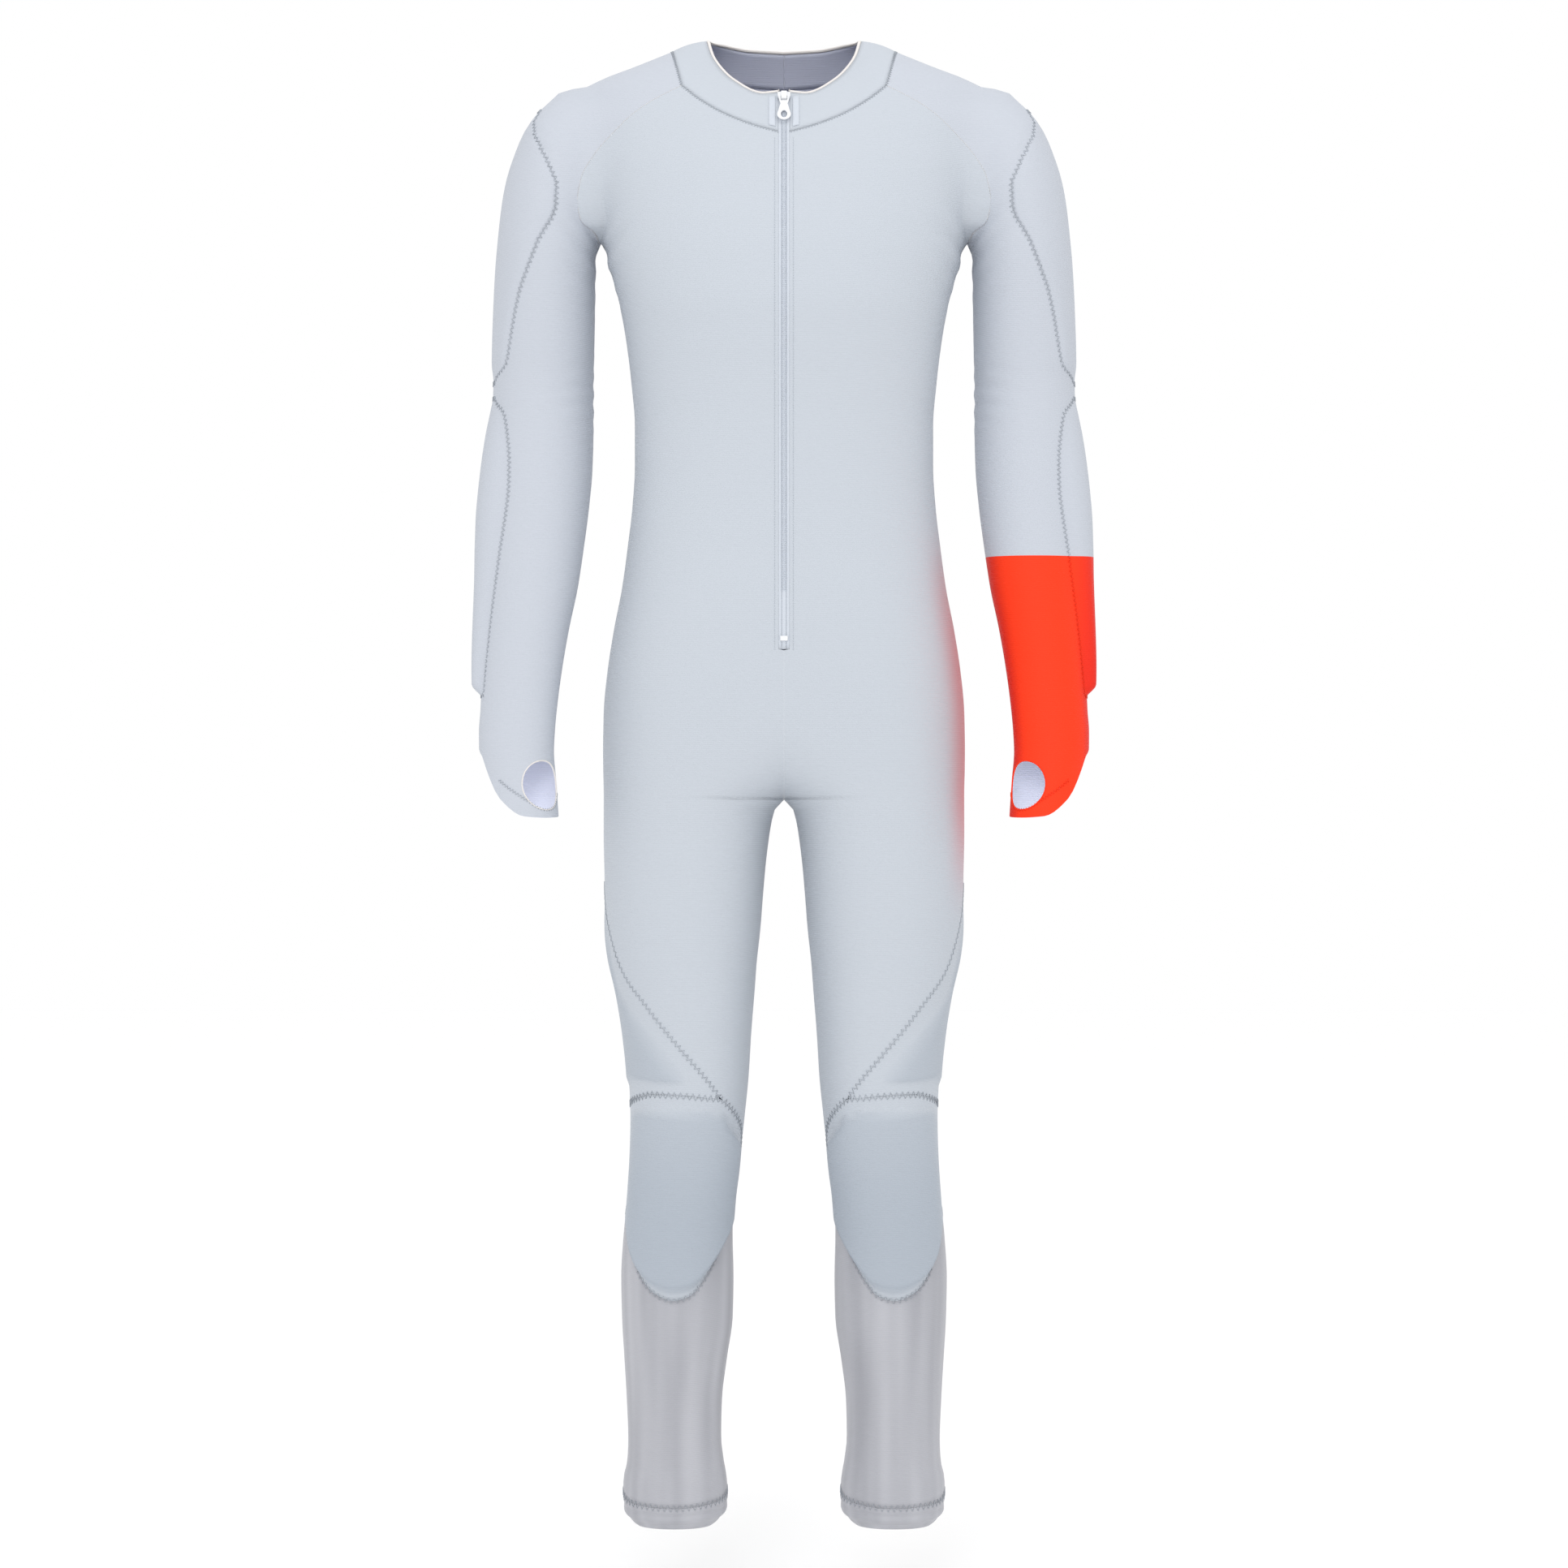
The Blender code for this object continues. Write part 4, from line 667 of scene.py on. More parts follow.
def settle(points: Array, field: Callable, rounds: int = 3) -> Array:
    """Move points along the slope of a field until they lie on its surface.

    Args:
        points: places near the surface, one a row.
        field: signed distance of points from the surface.
        rounds: how many corrections are made.

    Returns:
        The places on the surface.
    """
    points = np.asarray(points, dtype=float).copy()
    flat = points.reshape(-1, 3)
    for _ in range(rounds):
        value = field(flat)
        grad = np.stack([(field(flat + e) - field(flat - e)) / (2.0 * PROBE)
                         for e in np.eye(3) * PROBE], axis=1)
        flat = flat - grad * (value / np.maximum((grad * grad).sum(1), 0.05))[:, None]
    return flat.reshape(points.shape)


def between(values: Array, parts: int) -> Array:
    """Extra values placed evenly between each pair.

    Args:
        values: the known values, in order.
        parts: number of steps from one value to the next.

    Returns:
        The known values with the extra ones between them.
    """
    values = np.asarray(values, dtype=float)
    index = np.arange(len(values))
    fine = np.linspace(0, len(values) - 1, (len(values) - 1) * parts + 1)
    return np.interp(fine, index, values)


def between_smooth(values: Array, parts: int) -> Array:
    """Extra values placed on a smooth curve through the known ones.

    Args:
        values: the known values.
        parts: number of steps from one value to the next.

    Returns:
        The values with the extra ones.
    """
    values = np.asarray(values, dtype=float)
    index = np.arange(len(values))
    fine = np.linspace(0, len(values) - 1, (len(values) - 1) * parts + 1)
    return smooth(index, values, fine)


def ease(value: Array, low: float, high: float) -> Array:
    """Soft rise from 0 to 1 between two limits."""
    share = np.clip((np.asarray(value, dtype=float) - low) / (high - low), 0.0, 1.0)
    return share * share * (3.0 - 2.0 * share)


def srgb(red: float, green: float, blue: float) -> tuple:
    """Linear colour of a screen colour given from 0 to 255.

    Args:
        red: 0 to 255.
        green: 0 to 255.
        blue: 0 to 255.

    Returns:
        The colour, with an alpha of 1.
    """
    shares = [v / 255.0 for v in (red, green, blue)]
    linear = [v / 12.92 if v <= 0.04045 else ((v + 0.055) / 1.055) ** 2.4 for v in shares]
    return (*linear, 1.0)


class Cover(Enum):
    """Kinds of cloth and trim on the suit."""

    BODY = "body"
    SHIN = "shin"
    ARM = "arm"
    BINDING = "binding"
    TAPE = "tape"
    THREAD = "thread"
    PLASTIC = "plastic"


@dataclass(frozen=True)
class Finish:
    """Plain values of one finish."""

    name: str
    base: tuple
    rough: float
    sheen: float
    rib: float
    slot: str


FINISHES = {
    Cover.BODY: Finish("suit_cloth", srgb(187, 193, 201), 0.62, 0.04, 0.10, "suit_cloth"),
    Cover.SHIN: Finish("shin_cloth", srgb(176, 177, 184), 0.50, 0.06, 0.06, "shin_cloth"),
    Cover.ARM: Finish("arm_cloth", srgb(188, 193, 202), 0.62, 0.04, 0.10, "suit_cloth"),
    Cover.BINDING: Finish("binding", srgb(226, 222, 219), 0.75, 0.05, 0.12, "binding"),
    Cover.TAPE: Finish("zip_tape", srgb(196, 202, 211), 0.6, 0.05, 0.1, "zip_tape"),
    Cover.THREAD: Finish("thread", srgb(176, 182, 190), 0.6, 0.03, 0.0, "suit_cloth"),
    Cover.PLASTIC: Finish("zip_plastic", srgb(224, 225, 228), 0.35, 0.0, 0.0, "zip_white"),
}
ORANGE = srgb(246, 55, 12)
# Darker red: painted shade at the orange forearm's sides.
ORANGE_SIDE_SHADE = srgb(222, 36, 18)
# Rose tint at the left hip's side: printed colour, with painted reflection.
ROSE = srgb(214, 60, 70)
# Inner face: cooler grey of the lining, made paler as painted light for the shadowed inside.
LINING_WITH_PAINTED_LIGHT = srgb(222, 226, 244)
# Painted shade laid over the knee and thigh pads.
PAD_PAINTED_SHADE = srgb(166, 174, 184)
# Shin grey in darker and lighter bands: painted shade and painted sheen over the shin's own
# darker grey.
SHIN_SHADED_BAND = srgb(146, 147, 154)
SHIN_SHEEN_BAND = srgb(190, 191, 197)
ORANGE_Z = -0.5112


@dataclass(frozen=True)
class Cut:
    """A panel and its cut before sewing."""

    item: object
    area: float
    width: float
    length: float


def add_node(nodes: Nodes, kind: str, inputs: dict | None = None,
             **settings: object) -> bpy.types.Node:
    """New node, set up.

    Args:
        nodes: nodes of the tree.
        kind: Blender's name of the node.
        inputs: plain values by input.
        settings: the node's own settings, which come before its inputs.

    Returns:
        The node.
    """
    node = nodes.new(kind)
    for name, value in settings.items():
        setattr(node, name, value)
    for name, value in (inputs or {}).items():
        node.inputs[name].default_value = value
    return node


@dataclass
class Materials:
    """Makes and keeps the suit's materials."""

    made: dict = part_field(default_factory=dict)

    def __post_init__(self) -> None:
        """Make what the materials share."""
        self.rib_group = self.make_rib_group()

    def make_rib_group(self) -> bpy.types.NodeTree:
        """Node group of the knit's fine ribs: a height from object places.

        Returns:
            The group.
        """
        group = bpy.data.node_groups.new("knit_height", "ShaderNodeTree")
        group.interface.new_socket("Place", in_out="INPUT", socket_type="NodeSocketVector")
        group.interface.new_socket("Height", in_out="OUTPUT", socket_type="NodeSocketFloat")
        nodes, links = group.nodes, group.links
        start = nodes.new("NodeGroupInput")
        end = nodes.new("NodeGroupOutput")
        wave = add_node(nodes, "ShaderNodeTexWave",
                        {"Scale": 240.0, "Distortion": 1.2, "Detail": 1.0}, bands_direction="Z")
        grain = add_node(nodes, "ShaderNodeTexNoise", {"Scale": 900.0, "Detail": 2.0})
        mix = add_node(nodes, "ShaderNodeMath", {1: 0.6}, operation="MULTIPLY_ADD")
        links.new(start.outputs["Place"], wave.inputs["Vector"])
        links.new(start.outputs["Place"], grain.inputs["Vector"])
        links.new(grain.outputs["Fac"], mix.inputs[0])
        links.new(wave.outputs["Fac"], mix.inputs[2])
        links.new(mix.outputs["Value"], end.inputs["Height"])
        return group

    def get(self, cover: Cover, tint: str | None = None) -> bpy.types.Material:
        """Material of a finish; tint names a colour pattern laid over it.

        Args:
            cover: which finish.
            tint: "forearm", "hip" or None.

        Returns:
            The material.
        """
        key = (cover, tint)
        if key in self.made:
            return self.made[key]
        finish = FINISHES[cover]
        name = finish.name + ("_" + tint if tint else "")
        material = bpy.data.materials.new(name)
        material.use_nodes = True
        nodes, links = material.node_tree.nodes, material.node_tree.links
        shader = nodes["Principled BSDF"]
        shader.inputs["Base Color"].default_value = finish.base
        shader.inputs["Roughness"].default_value = finish.rough
        shader.inputs["Sheen Weight"].default_value = finish.sheen
        shader.inputs["Sheen Roughness"].default_value = 0.4
        shader.inputs["Specular IOR Level"].default_value = 0.25
        place = nodes.new("ShaderNodeTexCoord")
        if finish.rib > 0.0:
            ribs = add_node(nodes, "ShaderNodeGroup", node_tree=self.rib_group)
            bump = add_node(nodes, "ShaderNodeBump",
                            {"Strength": finish.rib * 4.0, "Distance": 0.0004})
            links.new(place.outputs["Object"], ribs.inputs["Place"])
            links.new(ribs.outputs["Height"], bump.inputs["Height"])
            links.new(bump.outputs["Normal"], shader.inputs["Normal"])
        colour = None
        # Orange forearm print, with painted shade at the arm's sides.
        if tint == "forearm":
            colour = self.forearm_print_and_side_shade(nodes, links, place, finish)
        # Rose side tint on the hip: print with painted reflection.
        if tint == "hip":
            colour = self.hip_print_and_painted_reflection(nodes, links, finish)
        # Painted sheen bands on the shins.
        if cover is Cover.SHIN:
            colour = self.painted_sheen_bands(nodes, links, place)
        # Painted shade over the pads.
        if cover in (Cover.BODY, Cover.ARM):
            colour = self.painted_pad_shade(nodes, links, colour, finish)
        # Inner face: lining grey with painted light.
        if cover in (Cover.BODY, Cover.ARM, Cover.SHIN):
            colour = self.lining_colour_and_painted_light(nodes, links, colour, finish)
        if colour is not None:
            links.new(colour, shader.inputs["Base Color"])
        self.made[key] = material
        return material

    def mix(self, nodes: Nodes, links: Links, factor: bpy.types.NodeSocket, first: object,
            second: object) -> bpy.types.NodeSocket:
        """Mix of two colours, each a socket or a plain colour.

        Args:
            nodes: nodes of the material.
            links: links of the material.
            factor: share of the second colour.
            first: first colour.
            second: second colour.

        Returns:
            The mixed colour.
        """
        node = add_node(nodes, "ShaderNodeMix", data_type="RGBA")
        links.new(factor, node.inputs[0])
        a = [s for s in node.inputs if s.name == "A" and s.type == "RGBA"][0]
        b = [s for s in node.inputs if s.name == "B" and s.type == "RGBA"][0]
        for socket, value in ((a, first), (b, second)):
            if isinstance(value, bpy.types.NodeSocket):
                links.new(value, socket)
            else:
                socket.default_value = value
        return [s for s in node.outputs if s.type == "RGBA"][0]

    def forearm_print_and_side_shade(self, nodes: Nodes, links: Links, place: bpy.types.Node,
                       finish: Finish) -> bpy.types.NodeSocket:
        """Orange print below a level line on the left sleeve, with painted shade making it
        redder towards the arm's sides.

        Args:
            nodes: nodes of the material.
            links: links of the material.
            place: texture coordinates.
            finish: plain values.

        Returns:
            The colour.
        """
        apart = nodes.new("ShaderNodeSeparateXYZ")
        links.new(place.outputs["Object"], apart.inputs["Vector"])
        below = add_node(nodes, "ShaderNodeMath", {1: ORANGE_Z}, operation="LESS_THAN")
        links.new(apart.outputs["Z"], below.inputs[0])
        edge = add_node(nodes, "ShaderNodeAttribute", attribute_name="side_print_and_painted_light")
        orange_with_side_shade = self.mix(nodes, links, edge.outputs["Fac"], ORANGE, ORANGE_SIDE_SHADE)
        return self.mix(nodes, links, below.outputs["Value"], finish.base, orange_with_side_shade)

    def hip_print_and_painted_reflection(self, nodes: Nodes, links: Links, finish: Finish) -> bpy.types.NodeSocket:
        """Rose tint fading in from the left side of the hips: printed colour, with painted
        reflection.

        Args:
            nodes: nodes of the material.
            links: links of the material.
            finish: plain values.

        Returns:
            The colour.
        """
        side_print_and_painted_light = add_node(nodes, "ShaderNodeAttribute", attribute_name="side_print_and_painted_light")
        return self.mix(nodes, links, side_print_and_painted_light.outputs["Fac"], finish.base, ROSE)

    def painted_pad_shade(self, nodes: Nodes, links: Links, colour: object,
                   finish: Finish) -> bpy.types.NodeSocket:
        """Stretched over a pad, the cloth is a shade darker.

        Args:
            nodes: nodes of the material.
            links: links of the material.
            colour: colour so far, or None.
            finish: plain values.

        Returns:
            The colour.
        """
        # Painted shade: the cloth over the pads is darkened to stand in for the shading of the
        # raised pads.
        raised = add_node(nodes, "ShaderNodeAttribute", attribute_name="pad")
        base = colour if colour is not None else finish.base
        return self.mix(nodes, links, raised.outputs["Fac"], base, PAD_PAINTED_SHADE)

    def painted_sheen_bands(self, nodes: Nodes, links: Links,
                    place: bpy.types.Node) -> bpy.types.NodeSocket:
        """Painted sheen: lighter and darker upright bands down the shins, from noise stretched
        along the height.

        Args:
            nodes: nodes of the material.
            links: links of the material.
            place: texture coordinates.

        Returns:
            The colour.
        """
        squash = add_node(nodes, "ShaderNodeMapping", {"Scale": (1.0, 1.0, 0.06)})
        cloud = add_node(nodes, "ShaderNodeTexNoise", {"Scale": 46.0, "Detail": 1.0})
        links.new(place.outputs["Object"], squash.inputs["Vector"])
        links.new(squash.outputs["Vector"], cloud.inputs["Vector"])
        return self.mix(nodes, links, cloud.outputs["Fac"], SHIN_SHADED_BAND, SHIN_SHEEN_BAND)

    def lining_colour_and_painted_light(self, nodes: Nodes, links: Links, colour: object,
                      finish: Finish) -> bpy.types.NodeSocket:
        """The cloth's inner face: its own cooler grey, made paler as painted light where the
        inside lies in shadow.

        Args:
            nodes: nodes of the material.
            links: links of the material.
            colour: colour so far, or None.
            finish: plain values.

        Returns:
            The colour.
        """
        side = add_node(nodes, "ShaderNodeAttribute", attribute_name="lining")
        outer = colour if colour is not None else finish.base
        return self.mix(nodes, links, side.outputs["Fac"], outer, LINING_WITH_PAINTED_LIGHT)


@dataclass
class Tailor:
    """Turns grids of points into closed cloth shells that stand for the solid's pieces."""

    materials: Materials
    last: Cut | None = None

    def shell(self, name: str, node: str, grid: Array, cover: Cover, mask: Array | None = None,
              rise: Array | None = None, side: int = 1, shut: bool = False,
              normals: Array | None = None, field: Callable = suit_field,
              thickness: float = CLOTH, lift: float = 0.0, tint: str | None = None,
              side_print_and_painted_light: Array | None = None, pad: Array | None = None, groove: float = 0.04 * MM,
              body: str = SUIT) -> Item:
        """Cloth shell over the masked cells of a grid.

        Args:
            name: name of the new object.
            node: node of the solid that it stands for.
            grid: points by row and column.
            cover: its finish.
            mask: which cells are cloth.
            rise: how far each point stands out from the form.
            side: 1 for the left half of the suit, -1 for the right.
            shut: whether the last column joins the first.
            normals: outward directions, or None to take them from the form.
            field: the form.
            thickness: thickness of the cloth.
            lift: how far the whole shell is moved out.
            tint: colour pattern.
            side_print_and_painted_light: strength of the pattern at each point; printed colour
                with painted reflection at the hip, painted shade at the orange forearm's sides.
            pad: share of the painted pad shade at each point.
            groove: how far a sewn edge is drawn in.
            body: the body it moves with.

        Returns:
            The object.
        """
        rows, cols = grid.shape[:2]
        points = grid.reshape(-1, 3).copy()
        out = surface_normals(points, field) if normals is None else normals.reshape(-1, 3)
        out = out.copy()
        number = np.arange(rows * cols).reshape(rows, cols)
        if shut:
            after = np.roll(number, -1, axis=1)
        else:
            after = number[:, 1:]
            number = number[:, :-1]
        cells = np.stack([number[:-1], number[1:], after[1:], after[:-1]], axis=2)
        if mask is not None:
            cells = cells[mask]
        cells = [tuple(int(v) for v in cell) for cell in cells.reshape(-1, 4)]
        relief = np.zeros(len(points)) if rise is None else np.asarray(rise).reshape(-1).copy()
        shine = np.zeros(len(points)) if side_print_and_painted_light is None else np.asarray(side_print_and_painted_light).reshape(-1)
        shade = np.zeros(len(points)) if pad is None else np.asarray(pad).reshape(-1)
        if side < 0:
            points[:, 0] *= -1.0
            out[:, 0] *= -1.0
            cells = [tuple(reversed(cell)) for cell in cells]
        keep, cells = merge_points(points, cells)
        base, out, relief, shine = points[keep], out[keep], relief[keep], shine[keep]
        shade = shade[keep]
        edges = boundary_edges(cells)
        shift = np.zeros_like(base)
        sides = {}
        for a, b in edges:
            along = base[b] - base[a]
            for vertex in (a, b):
                way = np.cross(out[vertex], along)
                sides.setdefault(vertex, []).append(way / max(np.linalg.norm(way), 1e-9))
        for vertex, ways in sides.items():
            total = np.sum(ways, axis=0)
            if len(ways) == 2:
                total = total / max(1.0 + float(ways[0] @ ways[1]), 0.25)
            shift[vertex] = total * SEAM_HALF
            relief[vertex] -= groove
        base = base + shift
        outer = base + out * (relief + lift)[:, None]
        inner = base + out * (lift - thickness - (groove if groove > 0 else 0.0))
        count = len(base)
        faces = list(cells) + [tuple(v + count for v in reversed(c)) for c in cells]
        rims = [(b, a, a + count, b + count) for a, b in edges]
        item = new_mesh(name, np.vstack([outer, inner]), faces + rims,
                        self.materials.get(cover, tint))
        mesh = item.data
        add_attribute(mesh, "side_print_and_painted_light", np.concatenate([shine, shine]))
        add_attribute(mesh, "pad", np.concatenate([shade, shade]))
        add_attribute(mesh, "lining", np.concatenate([np.zeros(count), np.ones(count)]))
        round_faces = np.ones(len(mesh.polygons), dtype=bool)
        round_faces[2 * len(cells):] = False
        mesh.polygons.foreach_set("use_smooth", round_faces)
        shade_fork(mesh, outer, out)
        area = sum(p.area for p in mesh.polygons[:len(cells)])
        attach(item, body)
        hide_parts(*([node] if isinstance(node, str) else node))
        closed = np.concatenate([grid, grid[:, :1]], axis=1) if shut else grid
        used = np.ones((rows - 1, closed.shape[1] - 1)) if mask is None else mask
        steps = np.linalg.norm(np.diff(closed[:, :, :2], axis=1), axis=2)[1:]
        width = (steps * used).sum(axis=1).max()
        steps = np.linalg.norm(np.diff(closed, axis=0), axis=2)[:, 1:]
        length = (steps * used).sum(axis=0).max()
        self.last = Cut(item, area / STRETCH, width / STRETCH ** 0.5, length / STRETCH ** 0.5)
        LOG.info("%s: %d faces", name, len(mesh.polygons))
        return item

    def sheet(self) -> None:
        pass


def merge_points(points: Array, cells: list, tolerance: float = 2e-6) -> tuple:
    """Points with equal places joined, and cells renumbered without repeats.

    Args:
        points: points, one a row.
        cells: faces as tuples of point numbers.
        tolerance: distance within which points are one.

    Returns:
        Numbers of the kept points, and the cells.
    """
    keys = np.round(points / tolerance).astype(np.int64)
    _, first, inverse = np.unique(keys, axis=0, return_index=True, return_inverse=True)
    inverse = inverse.reshape(-1)
    kept = []
    for cell in cells:
        ring = []
        for vertex in cell:
            number = int(inverse[vertex])
            if number not in ring:
                ring.append(number)
        if len(ring) > 2:
            kept.append(tuple(ring))
    used = sorted({v for cell in kept for v in cell})
    slot = {v: i for i, v in enumerate(used)}
    kept = [tuple(slot[v] for v in cell) for cell in kept]
    return first[used], kept


def boundary_edges(cells: list) -> list:
    """Edges that belong to one cell only, in the direction of that cell.

    Args:
        cells: faces as tuples of point numbers.

    Returns:
        Pairs of point numbers.
    """
    seen = set()
    for cell in cells:
        seen.update(zip(cell, cell[1:] + cell[:1]))
    return [edge for edge in seen if (edge[1], edge[0]) not in seen]


def new_mesh(name: str, vertices: Array, faces: list,
             material: bpy.types.Material | None) -> Item:
    """Mesh object in the scene with one material.

    Args:
        name: name of the new object.
        vertices: points, one a row.
        faces: faces as tuples of point numbers.
        material: its material.

    Returns:
        The object.
    """
    mesh = bpy.data.meshes.new(name)
    mesh.from_pydata([tuple(float(c) for c in v) for v in vertices], [], faces)
    if material is not None:
        mesh.materials.append(material)
    item = bpy.data.objects.new(name, mesh)
    bpy.context.scene.collection.objects.link(item)
    return item


def add_attribute(mesh: bpy.types.Mesh, name: str, values: Array) -> None:
    """Store one number a point on a mesh."""
    layer = mesh.attributes.new(name, "FLOAT", "POINT")
    layer.data.foreach_set("value", np.asarray(values, dtype=np.float32))


def shade_fork(mesh: bpy.types.Mesh, outer: Array, out: Array) -> None:
    """Shade the outer face by the form's own directions where the trunk forks.

    Args:
        mesh: the mesh.
        outer: points of the outer face.
        out: outward directions.
    """
    corner = np.zeros(len(mesh.loops), dtype=np.int32)
    mesh.loops.foreach_get("vertex_index", corner)
    near = np.zeros(len(mesh.vertices), dtype=bool)
    near[:len(outer)] = np.abs(outer[:, 2] - CROTCH_Z) < FORK_REACH
    if near.any():
        normals = np.zeros((len(corner), 3))
        normals[near[corner]] = out[corner[near[corner]]]
        mesh.normals_split_custom_set(normals.tolist())


def grid_normals(grid: Array) -> Array:
    """Outward directions of an open grid, from its own rows and columns.

    Args:
        grid: points by row and column.

    Returns:
        Directions of length 1.
    """
    down = np.gradient(grid, axis=0)
    along = np.gradient(grid, axis=1)
    normal = np.cross(down, along)
    return normal / np.linalg.norm(normal, axis=2, keepdims=True)


@dataclass
class Form:
    """Fine grids of the suit's panels, worked out from the tables."""

    down: int = 4
    across: int = 5

    def __post_init__(self) -> None:
        """Work out the grids that several parts share."""
        self.raglan = {sign: self.raglan_line(sign) for sign in (-1, 1)}
        self.trunks = {sign: self.make_trunk(sign) for sign in (-1, 1)}
        self.sleeve = self.make_sleeve()

    def raglan_line(self, sign: int) -> Array:
        """Fine points of the front (-1) or back (1) raglan seam, collar first.

        Args:
            sign: -1 for the front, 1 for the back.

        Returns:
            The points.
        """
        first = 0 if sign < 0 else 3
        points = []
        for row in RAGLAN:
            x, z, tilt = row[first:first + 3]
            tilt = math.radians(tilt)
            heading = (0.0, sign * math.cos(tilt), -math.sin(tilt))
            points.append(look_out((x, 0.0, z), heading, suit_field)[0])
        points.append(look_out(UNDERARM, (0.0, 0.0, -1.0), suit_field)[0])
        points = np.array(points)
        fine = np.stack([between_smooth(points[:, i], self.down) for i in range(3)], axis=1)
        placed = settle(fine, suit_field)
        placed[-1] = points[-1]
        return placed

    def collar_row(self, sign: int, shares: Array) -> Array:
        """Points of the collar seam on the front or back wall.

        Args:
            sign: -1 for the front, 1 for the back.
            shares: share of the way of each column.

        Returns:
            The points.
        """
        collar = COLLAR_FRONT if sign < 0 else tuple(reversed(COLLAR_BACK))
        xs = shares * collar[-1][0] + (1.0 - shares) * collar[0][0]
        zs = smooth(column(collar, 0), column(collar, 1), xs)
        start = np.stack([xs, np.zeros_like(xs), zs], axis=1)
        return look_out(start, (0.0, float(sign), 0.0), suit_field)

    def make_trunk(self, sign: int) -> Array:
        """Grid of one front (-1) or back (1) wall, collar to thigh seam, middle to side.

        Args:
            sign: -1 for the front, 1 for the back.

        Returns:
            The grid.
        """
        coarse = FRONT_ANGLES if sign < 0 else tuple(reversed(BACK_ANGLES))
        angles = between(coarse, self.across)
        shares = np.abs(angles - angles[0]) / 180.0
        raglan = self.raglan[sign]
        top = self.collar_row(sign, shares)
        rows = [top]
        steps = len(raglan) - 1
        x = ZIP_HALF if sign < 0 else 0.0
        drift = None
        for i in range(0, steps):
            share = i / steps
            z = top[0][2] + (ARMPIT_Z - top[0][2]) * share
            middle = look_out((x, 0.0, z), (0.0, float(sign), 0.0), suit_field)[0]
            origin = np.array([0.0, 0.0, z + (raglan[i][2] - z) * 0.2])
            row = row_fan(middle, raglan[i], origin, shares, suit_field)
            if i == 0:
                drift = top - row
                continue
            fade = max(0.0, 1.0 - i / (3.0 * self.down))
            rows.append(settle(row + drift * fade, suit_field) if fade > 0 else row)
            rows[-1][0] = middle
            rows[-1][-1] = raglan[i]
        for z in between(BODY_LEVELS, self.down):
            centre, depth = (v[0] for v in body_section(np.array([z]))[:2])
            middle = middle_point(z, sign)
            side = raglan[-1] if z == BODY_LEVELS[0] else leg_points([0.0], [z])[0]
            first = math.atan2(middle[1] - depth, middle[0] - centre)
            if sign > 0 and first < 0:
                first += 2.0 * math.pi
            if sign < 0 and first > 0:
                first -= 2.0 * math.pi
            whole, reach = 180.0 * (1.0 - shares), abs(math.degrees(first))
            fixed = max(reach - 90.0, 0.0)
            moved = fixed + (whole - fixed) * (reach - fixed) / (180.0 - fixed)
            turned = np.where(whole > fixed, moved, whole) * math.copysign(1.0, first)
            row = leg_points(turned, np.full(len(shares), z))
            row[0] = middle
            row[-1] = side
            rows.append(row)
        seam = seam_height(THIGH_SEAM, angles)
        count = LEG_STEPS * self.down
        for i in range(1, count + 1):
            rows.append(leg_points(angles, CROTCH_Z + (seam - CROTCH_Z) * i / count))
        grid = np.array(rows)
        return grid if sign < 0 else grid[:, ::-1]

    def ring(self) -> Array:
        """Fine column angles right round the leg."""
        whole = FRONT_ANGLES + BACK_ANGLES[1:]
        return between(whole, self.across)[:-1]

    def leg(self, angles: Array, upper: Array, lower: Array, steps: int) -> Array:
        """Grid between two seams round the leg."""
        return np.array([leg_points(angles, upper + (lower - upper) * s)
                         for s in np.linspace(0.0, 1.0, steps + 1)])

    def guard_shares(self) -> Array:
        """Fine columns over a guard."""
        return between(GUARD_SHARES, self.across)

    def make_sleeve(self) -> Array:
        """Grid of one sleeve from the collar to the cuff edge, columns round the arm.

        Returns:
            The grid.
        """
        down = self.down
        front, back = self.raglan[-1], self.raglan[1]
        guard = self.guard_shares()
        side = np.linspace(0.0, 1.0, SLEEVE_SIDE_COLUMNS * self.across + 1)
        table = SHOULDER_ROWS + ((0.2335, SLEEVE_ROWS[0][0], 0.0, SLEEVE_ROWS[0][1]),)
        xs, zs, leans, halves = (between_smooth(column(table, i), down) for i in range(4))
        rows = []
        across = np.array([0.0, 1.0, 0.0])
        for i in range(len(SHOULDER_ROWS) * down):
            origin = np.array([xs[i], 0.004 + 0.0035 * i / (len(SHOULDER_ROWS) * down), zs[i]])
            lean = math.radians(leans[i])
            outward = np.array([math.cos(lean), 0.0, math.sin(lean)])
            third = np.cross(outward, across)
            ends = []
            for point in (front[i], back[i]):
                d = point - origin
                flat = math.hypot(d @ outward, d @ across)
                ends.append((math.atan2(d @ across, d @ outward), (d @ third) / flat))
            half = min(math.radians(halves[i]), -ends[0][0] * 0.8, ends[1][0] * 0.8)
            angles = np.concatenate([
                ends[0][0] + (-half - ends[0][0]) * side[:-1],
                -half + 2.0 * half * guard,
                (half + (ends[1][0] - half) * side)[1:]])
            near = np.clip(angles / ends[0][0], 0.0, 1.0) ** 2
            far = np.clip(angles / ends[1][0], 0.0, 1.0) ** 2
            tilt = ends[0][1] * near + ends[1][1] * far
            heading = (np.cos(angles)[:, None] * outward + np.sin(angles)[:, None] * across
                       + tilt[:, None] * third)
            row = look_out(origin, heading, suit_field)
            row[0], row[-1] = front[i], back[i]
            rows.append(row)
        levels = between(column(SLEEVE_ROWS, 0), down)
        halves = between_smooth(column(SLEEVE_ROWS, 1), down)
        for i, (z, half) in enumerate(zip(levels, halves)):
            angles = self.ring_angles(half, i / (len(levels) - 1))
